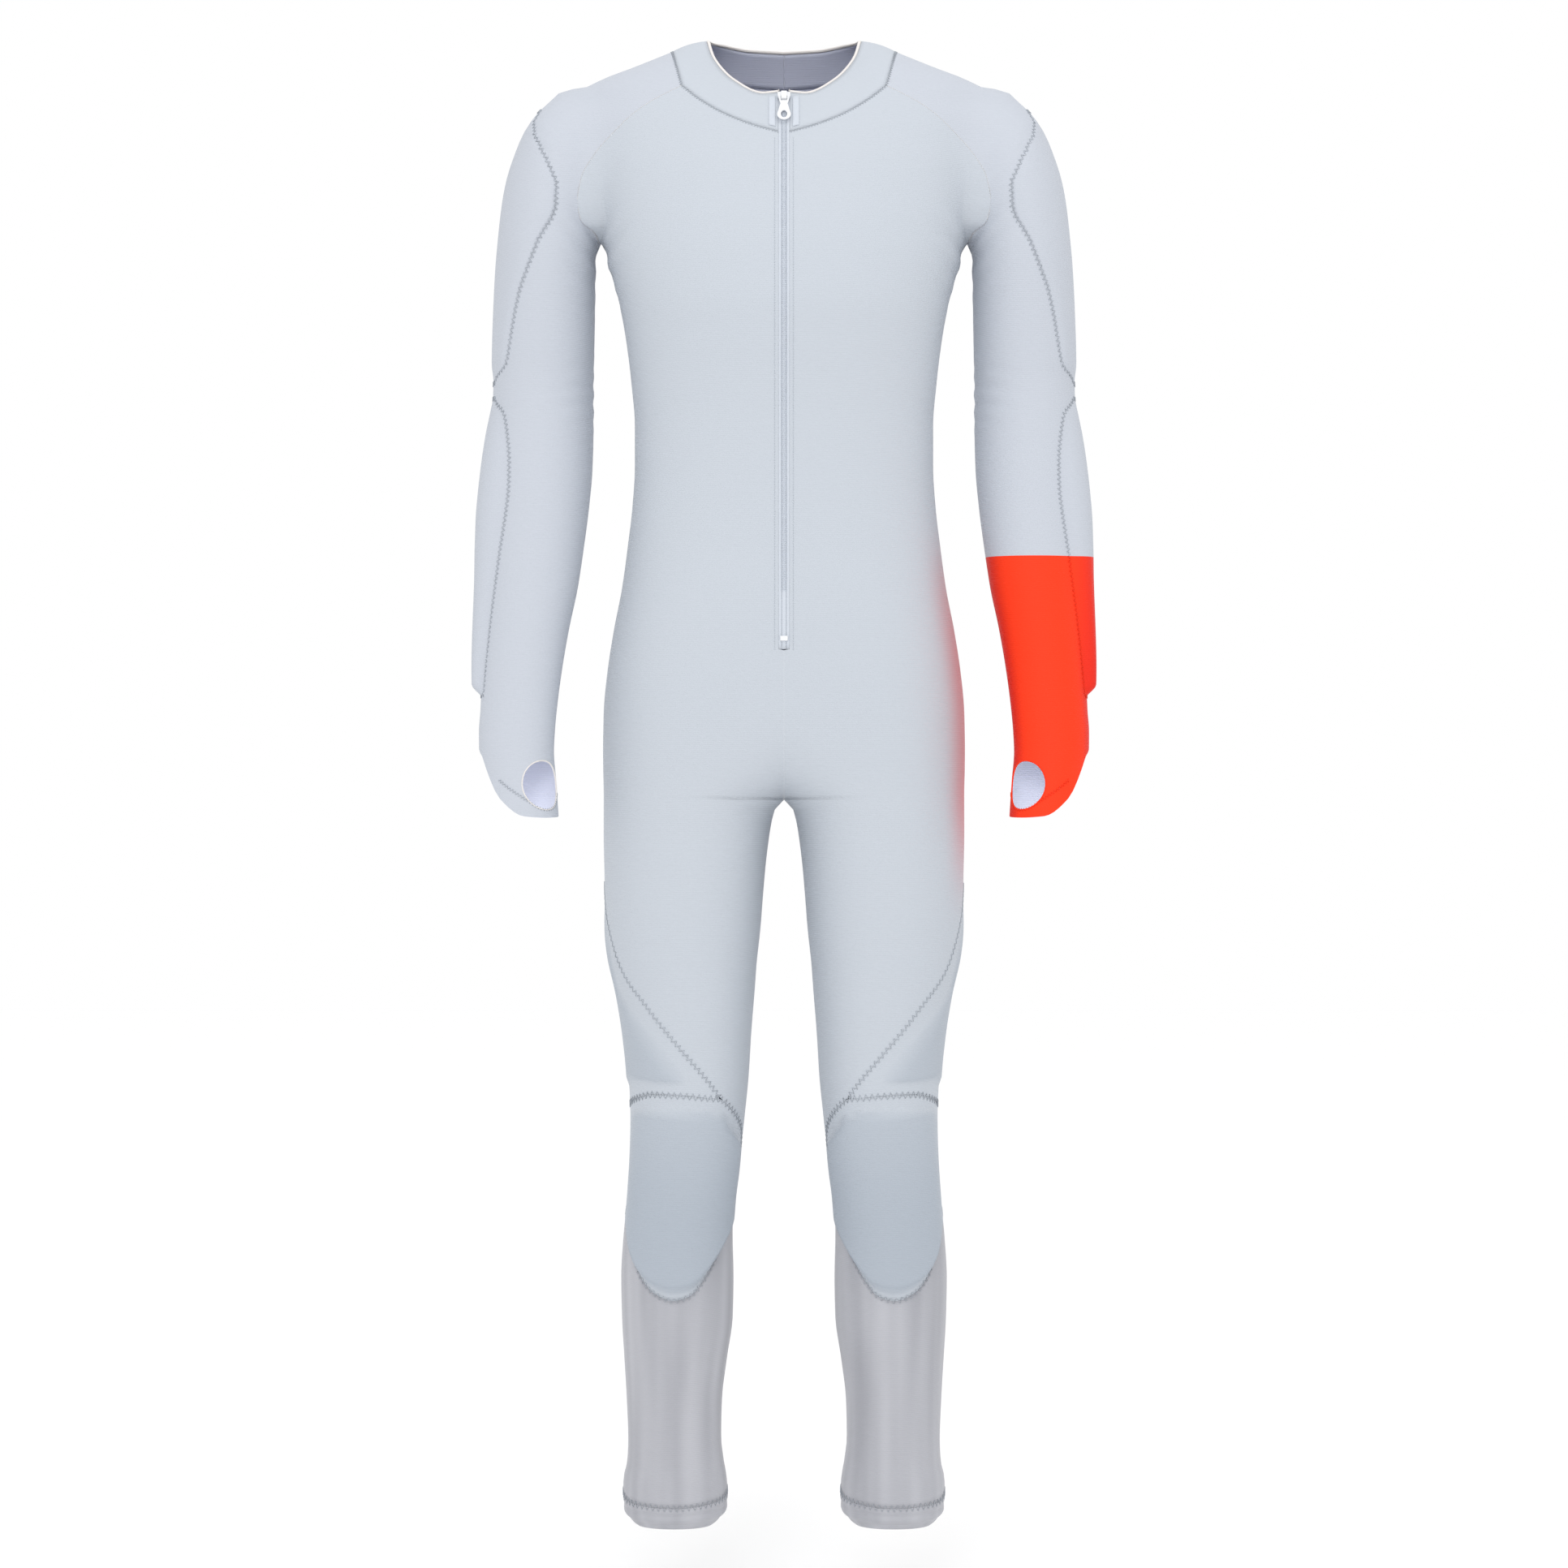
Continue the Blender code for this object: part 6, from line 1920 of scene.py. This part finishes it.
@dataclass
class Sleeves:
    """Sleeves with their guards, cuffs and thumb straps."""

    form: Form
    tailor: Tailor

    def __post_init__(self) -> None:
        """Take the sleeve's grid and cut it up."""
        self.grid = self.form.sleeve
        self.masks = self.cut()

    def cut(self) -> dict:
        """Which cells of the grid belong to which piece.

        Returns:
            The cells of each piece, by name.
        """
        down, across = self.form.down, self.form.across
        rows = len(SHOULDER_ROWS) + len(SLEEVE_ROWS) + len(CUFF_SHARES) - 1
        cols = 2 * SLEEVE_SIDE_COLUMNS + len(GUARD_SHARES) - 1
        lead, first = len(SHOULDER_ROWS), SLEEVE_SIDE_COLUMNS
        last = first + len(GUARD_SHARES) - 1
        cuff = lead + len(SLEEVE_ROWS) - 1
        masks = {name: np.zeros((rows, cols), dtype=bool)
                 for name in ("arm_guard", "forearm_guard", "hole", "thumb_strap")}
        masks["arm_guard"][GUARD_START_ROW:lead + UPPER_GUARD_END, first:last] = True
        masks["forearm_guard"][lead + FOREARM_FIRST:lead + FOREARM_LAST, first:last] = True
        masks["hole"][cuff + HOLE_ROWS[0]:cuff + HOLE_ROWS[-1] + 1,
                      HOLE_COLUMNS[0]:HOLE_COLUMNS[-1] + 1] = True
        masks["thumb_strap"][cuff + len(CUFF_SHARES) - 1,
                             STRAP_COLUMNS[0]:STRAP_COLUMNS[-1] + 1] = True
        taken = sum(mask.astype(int) for mask in masks.values())
        masks["sleeve"] = taken == 0
        return {name: np.repeat(np.repeat(mask, down, axis=0), across, axis=1)
                for name, mask in masks.items()}

    def build(self) -> None:
        """Make the pieces of both sleeves."""
        grid = self.grid
        heights = grid[:, :, 2]
        rise = smooth(column(FOREARM_RISE, 0), column(FOREARM_RISE, 1) * MM, heights)
        # Painted shade: the orange turns a darker red towards the arm's sides, as seen from the
        # front.
        centre, _, half, _, _ = arm_section(heights.reshape(-1))
        edge = np.abs(grid[:, :, 0] - centre.reshape(heights.shape))
        edge = ease(edge / half.reshape(heights.shape), 0.72, 1.02) * (heights < -0.3)
        first = SLEEVE_SIDE_COLUMNS * self.form.across
        count = (len(GUARD_SHARES) - 1) * self.form.across
        share = np.clip((np.arange(grid.shape[1]) - first) / count, 0.0, 1.0)
        near = np.minimum(share, 1.0 - share)[None, :]
        rise = rise * ease(near, 0.0, 0.30)
        top = ease(-heights, 0.085, 0.16) * (1.0 - ease(-heights, 0.318, 0.337))
        thin = ARM_PAD * ease(near, 0.0, 0.10) * top
        creases = self.creases(grid)
        for side, hand in ((1, "left"), (-1, "right")):
            for name, relief in (("sleeve", creases), ("arm_guard", thin),
                                 ("forearm_guard", rise), ("thumb_strap", None)):
                item = self.tailor.shell(
                    "%s_%s_cloth" % (name, hand), "%s_%s" % (name, hand), grid, Cover.ARM,
                    mask=self.masks[name], side=side, rise=relief, side_print_and_painted_light=edge,
                    tint="forearm" if side > 0 else None)
                if name == "forearm_guard":
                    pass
                else:
                    self.tailor.sheet()

    def creases(self, grid: Array) -> Array:
        """Small folds of the sleeve at the armpit and the elbow.

        Args:
            grid: points by row and column.

        Returns:
            The rise of each point.
        """
        x, y, z = grid[:, :, 0], grid[:, :, 1], grid[:, :, 2]
        pit = np.exp(-((x - 0.196) / 0.020) ** 2 - ((z + 0.205) / 0.045) ** 2)
        wave = np.sin((z * 0.8 - x * 0.6) * 2.0 * math.pi / 0.020)
        bend = np.exp(-((z + 0.352) / 0.030) ** 2) * ease(-x, -0.245, -0.205)
        ripple = np.sin((z + 0.25 * x) * 2.0 * math.pi / 0.018)
        return 0.9 * MM * wave * pit + 0.6 * MM * ripple * bend * (y < 0.03)

    def dress(self, seams: "Seams") -> None:
        """Hand over the seams of the sleeve.

        Args:
            seams: collects the seams.
        """
        grid, down, across = self.grid, self.form.down, self.form.across
        lead = len(SHOULDER_ROWS)
        first = SLEEVE_SIDE_COLUMNS * across
        last = first + (len(GUARD_SHARES) - 1) * across
        for name, a, b in (("arm_guard", GUARD_START_ROW, lead + UPPER_GUARD_END),
                           ("forearm_guard", lead + FOREARM_FIRST, lead + FOREARM_LAST)):
            a, b = a * down, b * down
            edge = np.vstack([grid[a:b + 1, first], grid[b, first + 1:last],
                              grid[a:b + 1, last][::-1], grid[a, first:last][::-1]])
            seams.add(name, edge, surface_normals(edge, suit_field))
        cuff = (lead + len(SLEEVE_ROWS) - 1 + len(CUFF_SHARES) - 1) * down
        strap = grid[cuff, :(STRAP_COLUMNS[-1] + 1) * across + 1]
        seams.add("strap", strap, surface_normals(strap, suit_field))
        rim = arm_points(*self.form.hole)
        seams.add("hole_rim", rim, surface_normals(rim, suit_field))


@dataclass(frozen=True)
class Seam:
    """How one kind of seam is stitched."""

    step: float
    reach: float
    thread: float
    lift: float


SEAMS = {
    "raglan": Seam(1.4 * MM, 0.6 * MM, 0.18 * MM, 0.05 * MM),
    "hole_rim": Seam(1.5 * MM, 0.0, 0.8 * MM, -0.3 * MM),
    "thigh": Seam(2.9 * MM, 2.5 * MM, 0.36 * MM, 0.3 * MM),
    "knee_top": Seam(3.0 * MM, 3.3 * MM, 0.36 * MM, 0.3 * MM),
    "knee_foot": Seam(2.9 * MM, 2.5 * MM, 0.36 * MM, 0.3 * MM),
    "band": Seam(3.0 * MM, 3.2 * MM, 0.36 * MM, 0.3 * MM),
    "arm_guard": Seam(2.6 * MM, 2.2 * MM, 0.36 * MM, 0.3 * MM),
    "forearm_guard": Seam(2.4 * MM, 2.2 * MM, 0.36 * MM, 0.3 * MM),
    "strap": Seam(1.6 * MM, 1.4 * MM, 0.28 * MM, 0.3 * MM),
    "collar": Seam(1.5 * MM, 1.2 * MM, 0.28 * MM, 0.25 * MM),
}


@dataclass
class Seams:
    """Collects the seams of the panels and stitches them."""

    thread: Thread
    lines: dict = part_field(default_factory=dict)

    def add(self, kind: str, line: Array, out: Array) -> None:
        """Keep a line of points with its outward directions."""
        self.lines.setdefault(kind, []).append((np.asarray(line), np.asarray(out)))

    def build(self) -> None:
        """Stitch every kind of seam on both halves."""
        for kind, lines in self.lines.items():
            plan = SEAMS[kind]
            values = {"Step": plan.step, "Reach": plan.reach, "Thread": plan.thread,
                      "Lift": plan.lift}
            for side, hand in ((1, "left"), (-1, "right")):
                arm = kind in ("forearm_guard", "strap", "hole_rim")
                tint = "forearm" if side > 0 and arm else None
                pale = kind in ("hole_rim", "raglan")
                cover = Cover.BINDING if pale else Cover.THREAD
                self.thread.run("stitches_%s_%s" % (kind, hand),
                                [on_both(line, side) for line in lines], "zigzag", values,
                                cover=cover, tint=tint)


@dataclass
class Collar:
    """Collar halves and the binding over the neck edge."""

    form: Form
    tailor: Tailor

    def __post_init__(self) -> None:
        """Work out the collar's grid."""
        self.grid, self.normals = self.form.collar()

    def build(self) -> None:
        """Make the collar and its binding."""
        for side, hand in ((1, "left"), (-1, "right")):
            self.tailor.shell("collar_%s_cloth" % hand, "collar_" + hand, self.grid,
                              Cover.BODY, side=side, normals=self.normals)
            self.tailor.sheet()
        edge, out = self.grid[0], self.normals[0]
        up = edge - self.grid[1]
        up = up / np.linalg.norm(up, axis=1, keepdims=True)
        mirror = np.array([-1.0, 1.0, 1.0])
        loop = np.array([edge + out * a * MM + up * b * MM for a, b in BINDING_PROFILE])
        whole = np.concatenate([loop[:, :-1] * mirror, loop[:, -1:], loop[:, -2::-1]], axis=1)
        count, width = whole.shape[:2]
        number = np.arange(count * width).reshape(count, width)
        faces = []
        for r in range(count):
            s = (r + 1) % count
            for c in range(width - 1):
                faces.append((number[r, c], number[r, c + 1], number[s, c + 1], number[s, c]))
        faces.append(tuple(number[::-1, 0]))
        faces.append(tuple(number[:, -1]))
        item = new_mesh("neck_binding_cloth", whole.reshape(-1, 3),
                        [tuple(int(v) for v in f) for f in faces],
                        self.tailor.materials.get(Cover.BINDING))
        fix_normals(item)
        item.data.polygons.foreach_set("use_smooth", np.ones(len(item.data.polygons), bool))
        add_attribute(item.data, "side_print_and_painted_light", np.zeros(len(item.data.vertices)))
        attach(item, SUIT)
        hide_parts("neck_binding")

    def dress(self, seams: "Seams") -> None:
        """Hand over the seam round the collar's foot."""
        line = self.grid[-1]
        seams.add("collar", line, surface_normals(line, suit_field))


def fix_normals(item: Item) -> None:
    """Make all faces of a closed mesh point outwards.

    Args:
        item: the object.
    """
    shape = bmesh.new()
    shape.from_mesh(item.data)
    bmesh.ops.recalc_face_normals(shape, faces=shape.faces[:])
    shape.to_mesh(item.data)
    shape.free()


@dataclass
class Zip:
    """Tapes, coil, stop, patches, slider and pull tab."""

    form: Form
    tailor: Tailor
    thread: Thread
    collar: Collar

    def __post_init__(self) -> None:
        """Find the line down the middle of the front."""
        body = self.form.trunks[-1]
        points = list(self.collar.grid[:, 0])
        points += [row[0] for row in body[1:] if row[0][2] >= ZIP_BOTTOM]
        points = np.array(points)
        points[:, 0] = 0.0
        along = np.gradient(points, axis=0)
        out = np.cross(along, (1.0, 0.0, 0.0))
        out = out / np.linalg.norm(out, axis=1, keepdims=True)
        self.line = points
        self.out = out * np.sign(-out[:, 1:2])

    def strip(self, low: float, high: float, count: int = 4) -> tuple:
        """Grid beside the middle between two distances from it.

        Args:
            low: nearer distance.
            high: farther distance.
            count: number of columns.

        Returns:
            The grid and its outward directions.
        """
        shift = np.linspace(low, high, count)
        grid = np.repeat(self.line[:, None, :], count, axis=1)
        grid[:, :, 0] = shift
        return grid, np.repeat(self.out[:, None, :], count, axis=1)

    def build(self) -> None:
        """Make the tapes, the coil and the stop."""
        for side, hand in ((1, "left"), (-1, "right")):
            grid, out = self.strip(CHAIN_HALF, ZIP_HALF)
            self.tailor.shell("zip_tape_%s_cloth" % hand, "zip_tape_" + hand, grid,
                              Cover.TAPE, side=side, normals=out, thickness=TRIM,
                              groove=0.1 * MM)
            self.tailor.sheet()
        grid, out = self.strip(-CHAIN_HALF, CHAIN_HALF, 7)
        bow = 0.5 * MM * (1.0 - np.abs(np.linspace(-1.0, 1.0, 7)) ** 2)
        self.tailor.shell("zip_coil", "zip_chain", grid, Cover.TAPE, normals=out,
                          rise=np.repeat(bow[None, :], len(grid), axis=0),
                          thickness=TRIM, lift=0.2 * MM, groove=0.0)
        self.tailor.sheet()
        line, out = self.line[3:-9], self.out[3:-9]
        for side in (-1, 1):
            shifted = line + np.array([side * TOOTH_OUT, 0.0, 0.0])
            self.thread.run("zip_teeth_%s" % ("left" if side > 0 else "right"),
                            [(shifted, out)], "beads",
                            {"Step": 1.25 * MM, "Size": (1.05 * MM, 0.46 * MM, 0.55 * MM),
                             "Lift": 0.75 * MM}, cover=Cover.TAPE)
        end = self.line[-1]
        half_x, half_z, depth = (0.5 * v for v in STOP_SIZE)
        centre = np.array([0.0, end[1] - CHAIN_RISE - depth + STOP_SINK,
                           end[2] + half_z + STOP_OFFSET])
        self.block("zip_stop", centre, (half_x, depth, half_z), Cover.PLASTIC)
        self.patches()
        self.slider()

    def block(self, name: str, centre: Array, half: tuple, cover: Cover) -> Item:
        """Box with soft edges.

        Args:
            name: name of the new object.
            centre: middle of the box.
            half: half its size along each axis.
            cover: its finish.

        Returns:
            The object.
        """
        shape = bmesh.new()
        bmesh.ops.create_cube(shape, size=2.0)
        for vert in shape.verts:
            vert.co = Vector([c * h for c, h in zip(vert.co, half)]) + Vector(centre)
        bmesh.ops.bevel(shape, geom=shape.edges[:], offset=0.5 * MM, segments=2,
                        affect="EDGES", profile=0.5)
        mesh = bpy.data.meshes.new(name)
        shape.to_mesh(mesh)
        shape.free()
        mesh.materials.append(self.tailor.materials.get(cover))
        item = bpy.data.objects.new(name, mesh)
        bpy.context.scene.collection.objects.link(item)
        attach(item, SUIT)
        return item

    def patches(self) -> None:
        """Small stitched patches beside the slider."""
        grid, normals = self.collar.grid, self.collar.normals
        rows = []
        for row in grid:
            near = row[:26]
            rows.append([[np.interp(x, near[:, 0], near[:, i]) for i in range(3)]
                         for x in np.linspace(PATCH_INNER, PATCH_OUTER, 6)])
        rows = np.array(rows)
        rows[0] = rows[0] + (rows[1] - rows[0]) * 0.8
        rows[-1] = rows[-1] + (rows[-2] - rows[-1]) * 0.8
        flat = np.repeat(normals[:, :1], rows.shape[1], axis=1)
        for side, hand in ((1, "left"), (-1, "right")):
            self.tailor.shell("zip_patch_%s_cloth" % hand, "zip_patch_" + hand, rows,
                              Cover.TAPE, side=side, normals=flat, thickness=TRIM,
                              lift=TRIM + 0.3 * MM, groove=0.2 * MM)
            self.tailor.sheet()

    def frame(self) -> tuple:
        """Place and axes at the slider.

        Returns:
            Centre, across, up, outward.
        """
        top, lower = self.line[0], self.line[8]
        up = top - lower
        up = up / np.linalg.norm(up)
        outward = np.cross((1.0, 0.0, 0.0), up)
        outward = outward * math.copysign(1.0, -outward[1])
        centre = top - up * 9.0 * MM + outward * (CHAIN_RISE + SLIDER_GAP)
        return centre, np.array([1.0, 0.0, 0.0]), up, outward

    def moulded(self, name: str, node: str | None, shape: bmesh.types.BMesh, frame: tuple,
                body: str, edge: float = 0.35 * MM) -> Item:
        """Moulded piece from a flat shape, with soft edges.

        Args:
            name: name of the object.
            node: node that it stands for, or None.
            shape: the flat shape in its own frame.
            frame: centre and three axes.
            body: body that it moves with.
            edge: width of the soft edge.

        Returns:
            The object.
        """
        centre, across, up, outward = frame
        sharp = [e for e in shape.edges if len(e.link_faces) == 2
                 and e.calc_face_angle(0.0) > 0.5]
        bmesh.ops.bevel(shape, geom=sharp, offset=edge, segments=2, affect="EDGES",
                        profile=0.5)
        for vert in shape.verts:
            place = centre + across * vert.co.x + up * vert.co.y + outward * vert.co.z
            vert.co = Vector(place)
        bmesh.ops.recalc_face_normals(shape, faces=shape.faces[:])
        mesh = bpy.data.meshes.new(name)
        shape.to_mesh(mesh)
        shape.free()
        mesh.materials.append(self.tailor.materials.get(Cover.PLASTIC))
        item = bpy.data.objects.new(name, mesh)
        bpy.context.scene.collection.objects.link(item)
        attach(item, body)
        if node:
            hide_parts(node)
        return item

    def slider(self) -> None:
        """Slider with its bridge, and the pull tab."""
        centre, across, up, outward = self.frame()
        half = SLIDER_LENGTH / 2.0
        outline = [(-SLIDER_TOP_HALF, half), (-SLIDER_TOP_HALF, 1.0 * MM),
                   (-SLIDER_END_HALF, -half), (SLIDER_END_HALF, -half),
                   (SLIDER_TOP_HALF, 1.0 * MM), (SLIDER_TOP_HALF, half)]
        self.moulded("slider_body", "zip_slider", plate(outline, (), 0.0, SLIDER_THICK),
                     (centre, across, up, outward), SUIT)
        top, sink = SLIDER_THICK + BRIDGE_HEIGHT, 0.5 * MM
        foot = 1.8 * MM
        low = SLIDER_THICK - sink
        profile = [(half - 0.8 * MM, low), (half - 0.8 * MM, top - 1.0 * MM),
                   (half - 1.8 * MM, top), (-half + 1.8 * MM, top),
                   (-half + 0.8 * MM, top - 1.0 * MM), (-half + 0.8 * MM, low),
                   (-half + foot + 0.8 * MM, low),
                   (-half + foot + 0.8 * MM, top - BRIDGE_THICK),
                   (half - foot - 0.8 * MM, top - BRIDGE_THICK), (half - foot - 0.8 * MM, low)]
        self.moulded("slider_bridge", None, plate(profile, (), -BRIDGE_HALF, BRIDGE_HALF),
                     (centre, up, outward, across), SUIT)
        tie = SLIDER_THICK + (BRIDGE_HEIGHT - BRIDGE_THICK) / 2.0
        pivot = centre + outward * tie
        steps = 36
        ring_y = -PULL_LENGTH + PULL_RING_HALF
        waist = -PULL_SLOT_LENGTH - 3.5 * MM
        outline = [(-PULL_ARM_HALF, PULL_PIN), (-PULL_ARM_HALF, -PULL_SLOT_LENGTH),
                   (-PULL_NECK_HALF, waist)]
        for k in range(steps + 1):
            turn = math.pi * (1.0 + k / steps)
            outline.append((PULL_RING_HALF * math.cos(turn),
                            ring_y + PULL_RING_HALF * math.sin(turn)))
        outline += [(PULL_NECK_HALF, waist), (PULL_ARM_HALF, -PULL_SLOT_LENGTH),
                    (PULL_ARM_HALF, PULL_PIN)]
        oval = [(PULL_HOLE[1] * math.cos(2 * math.pi * k / steps),
                 ring_y + PULL_HOLE[0] * math.sin(2 * math.pi * k / steps))
                for k in range(steps)]
        slot = [(-PULL_SLOT_HALF, -PULL_PIN), (PULL_SLOT_HALF, -PULL_PIN),
                (PULL_SLOT_HALF, -PULL_SLOT_LENGTH), (-PULL_SLOT_HALF, -PULL_SLOT_LENGTH)]
        self.moulded("pull_tab_plate", "zip_pull",
                     plate(outline, (oval, slot), -PULL_PIN, PULL_PIN),
                     (pivot, across, up, outward), PULL, edge=0.25 * MM)

    def dress(self, seams: "Seams") -> None:
        """Topstitch beside the zip.

        Args:
            seams: collects the seams.
        """
        lines = []
        for side in (-1, 1):
            shift = np.array([side * TOPSTITCH_OUT, 0.0, 0.0])
            lines.append((self.line[10:] + shift, self.out[10:]))
        self.thread.run("zip_topstitch", lines, "beads",
                        {"Step": 2.6 * MM, "Size": (0.3 * MM, 0.95 * MM, 0.25 * MM),
                         "Lift": 0.2 * MM})


def plate(outline: list, holes: tuple, low: float, high: float) -> bmesh.types.BMesh:
    """Flat plate with its holes, standing between two levels of its own frame.

    Args:
        outline: corners of its outer edge.
        holes: corners of each hole.
        low: lower level.
        high: upper level.

    Returns:
        The plate.
    """
    shape = bmesh.new()
    edges = []
    for loop in [outline] + list(holes):
        verts = [shape.verts.new((x, y, low)) for x, y in loop]
        edges += [shape.edges.new((a, b)) for a, b in zip(verts, verts[1:] + verts[:1])]
    made = bmesh.ops.triangle_fill(shape, edges=edges, use_beauty=True)
    flat = [g for g in made["geom"] if isinstance(g, bmesh.types.BMFace)]
    raised = bmesh.ops.extrude_face_region(shape, geom=flat)
    verts = [g for g in raised["geom"] if isinstance(g, bmesh.types.BMVert)]
    bmesh.ops.translate(shape, verts=verts, vec=(0.0, 0.0, high - low))
    bmesh.ops.recalc_face_normals(shape, faces=shape.faces[:])
    return shape


class Studio:
    """Floor, even light all round, lamps and camera."""

    def build(self) -> None:
        """Set the studio up."""
        self.floor()
        self.lamps()
        self.camera()

    def floor(self) -> None:
        """Plain pale floor under the suit."""
        size, z = 12.0, HEM_Z - FLOOR_DROP
        item = new_mesh("floor", [(-size, -size, z), (size, -size, z), (size, size, z),
                                  (-size, size, z)], [(0, 1, 2, 3)], None)
        material = bpy.data.materials.new("floor_paint")
        material.use_nodes = True
        shader = material.node_tree.nodes["Principled BSDF"]
        shader.inputs["Base Color"].default_value = (1.0, 1.0, 1.0, 1.0)
        shader.inputs["Roughness"].default_value = 0.9
        item.data.materials.append(material)
        world = bpy.data.worlds.new("studio") if not bpy.context.scene.world else \
            bpy.context.scene.world
        bpy.context.scene.world = world
        world.use_nodes = True
        back = world.node_tree.nodes["Background"]
        back.inputs["Color"].default_value = (1.0, 1.0, 1.0, 1.0)
        back.inputs["Strength"].default_value = 1.0
        bpy.context.scene.view_settings.view_transform = "Standard"

    def lamp(self, name: str, place: tuple, target: tuple, size: tuple, power: float,
             tint: tuple = (1.0, 1.0, 1.0)) -> None:
        """Soft square lamp aimed at a place.

        Args:
            name: name of the lamp.
            place: where it stands.
            target: point that it is aimed at.
            size: width and height.
            power: power in watts.
            tint: colour of the light.
        """
        data = bpy.data.lights.new(name, "AREA")
        data.shape = "RECTANGLE"
        data.size, data.size_y = size
        data.energy = power
        data.color = tint
        item = bpy.data.objects.new(name, data)
        item.location = place
        aim = Vector(target) - Vector(place)
        item.rotation_euler = aim.to_track_quat("-Z", "Y").to_euler()
        bpy.context.scene.collection.objects.link(item)

    def lamps(self) -> None:
        """Soft lamps in front and above."""
        self.lamp("lamp_front", (-0.5, -4.2, 0.7), (0.0, 0.0, -0.7), (1.2, 1.2), 33.0)
        self.lamp("lamp_top", (0.3, -1.2, 1.9), (0.0, 0.0, -0.4), (1.2, 0.8), 12.0)

    def camera(self) -> None:
        """Camera straight in front at the middle of the suit."""
        data = bpy.data.cameras.new("camera")
        data.sensor_fit = "HORIZONTAL"
        data.angle = math.radians(CAMERA_ANGLE)
        item = bpy.data.objects.new("camera", data)
        item.location = CAMERA_PLACE
        item.rotation_euler = (math.radians(90.0), 0.0, 0.0)
        bpy.context.scene.collection.objects.link(item)
        bpy.context.scene.camera = item


def main() -> None:
    """Build the suit's looks piece by piece."""
    logging.basicConfig(level=logging.INFO, format="%(message)s")
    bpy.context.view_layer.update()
    materials = Materials()
    tailor = Tailor(materials)
    thread = Thread(materials)
    form = Form()
    seams = Seams(thread)
    trunk = Trunk(form, tailor)
    legs = Legs(form, tailor)
    sleeves = Sleeves(form, tailor)
    collar = Collar(form, tailor)
    fastener = Zip(form, tailor, thread, collar)
    for part in (trunk, legs, sleeves, collar, fastener):
        part.build()
        part.dress(seams)
    seams.build()
    Studio().build()


if __name__ == "__main__":
    main()
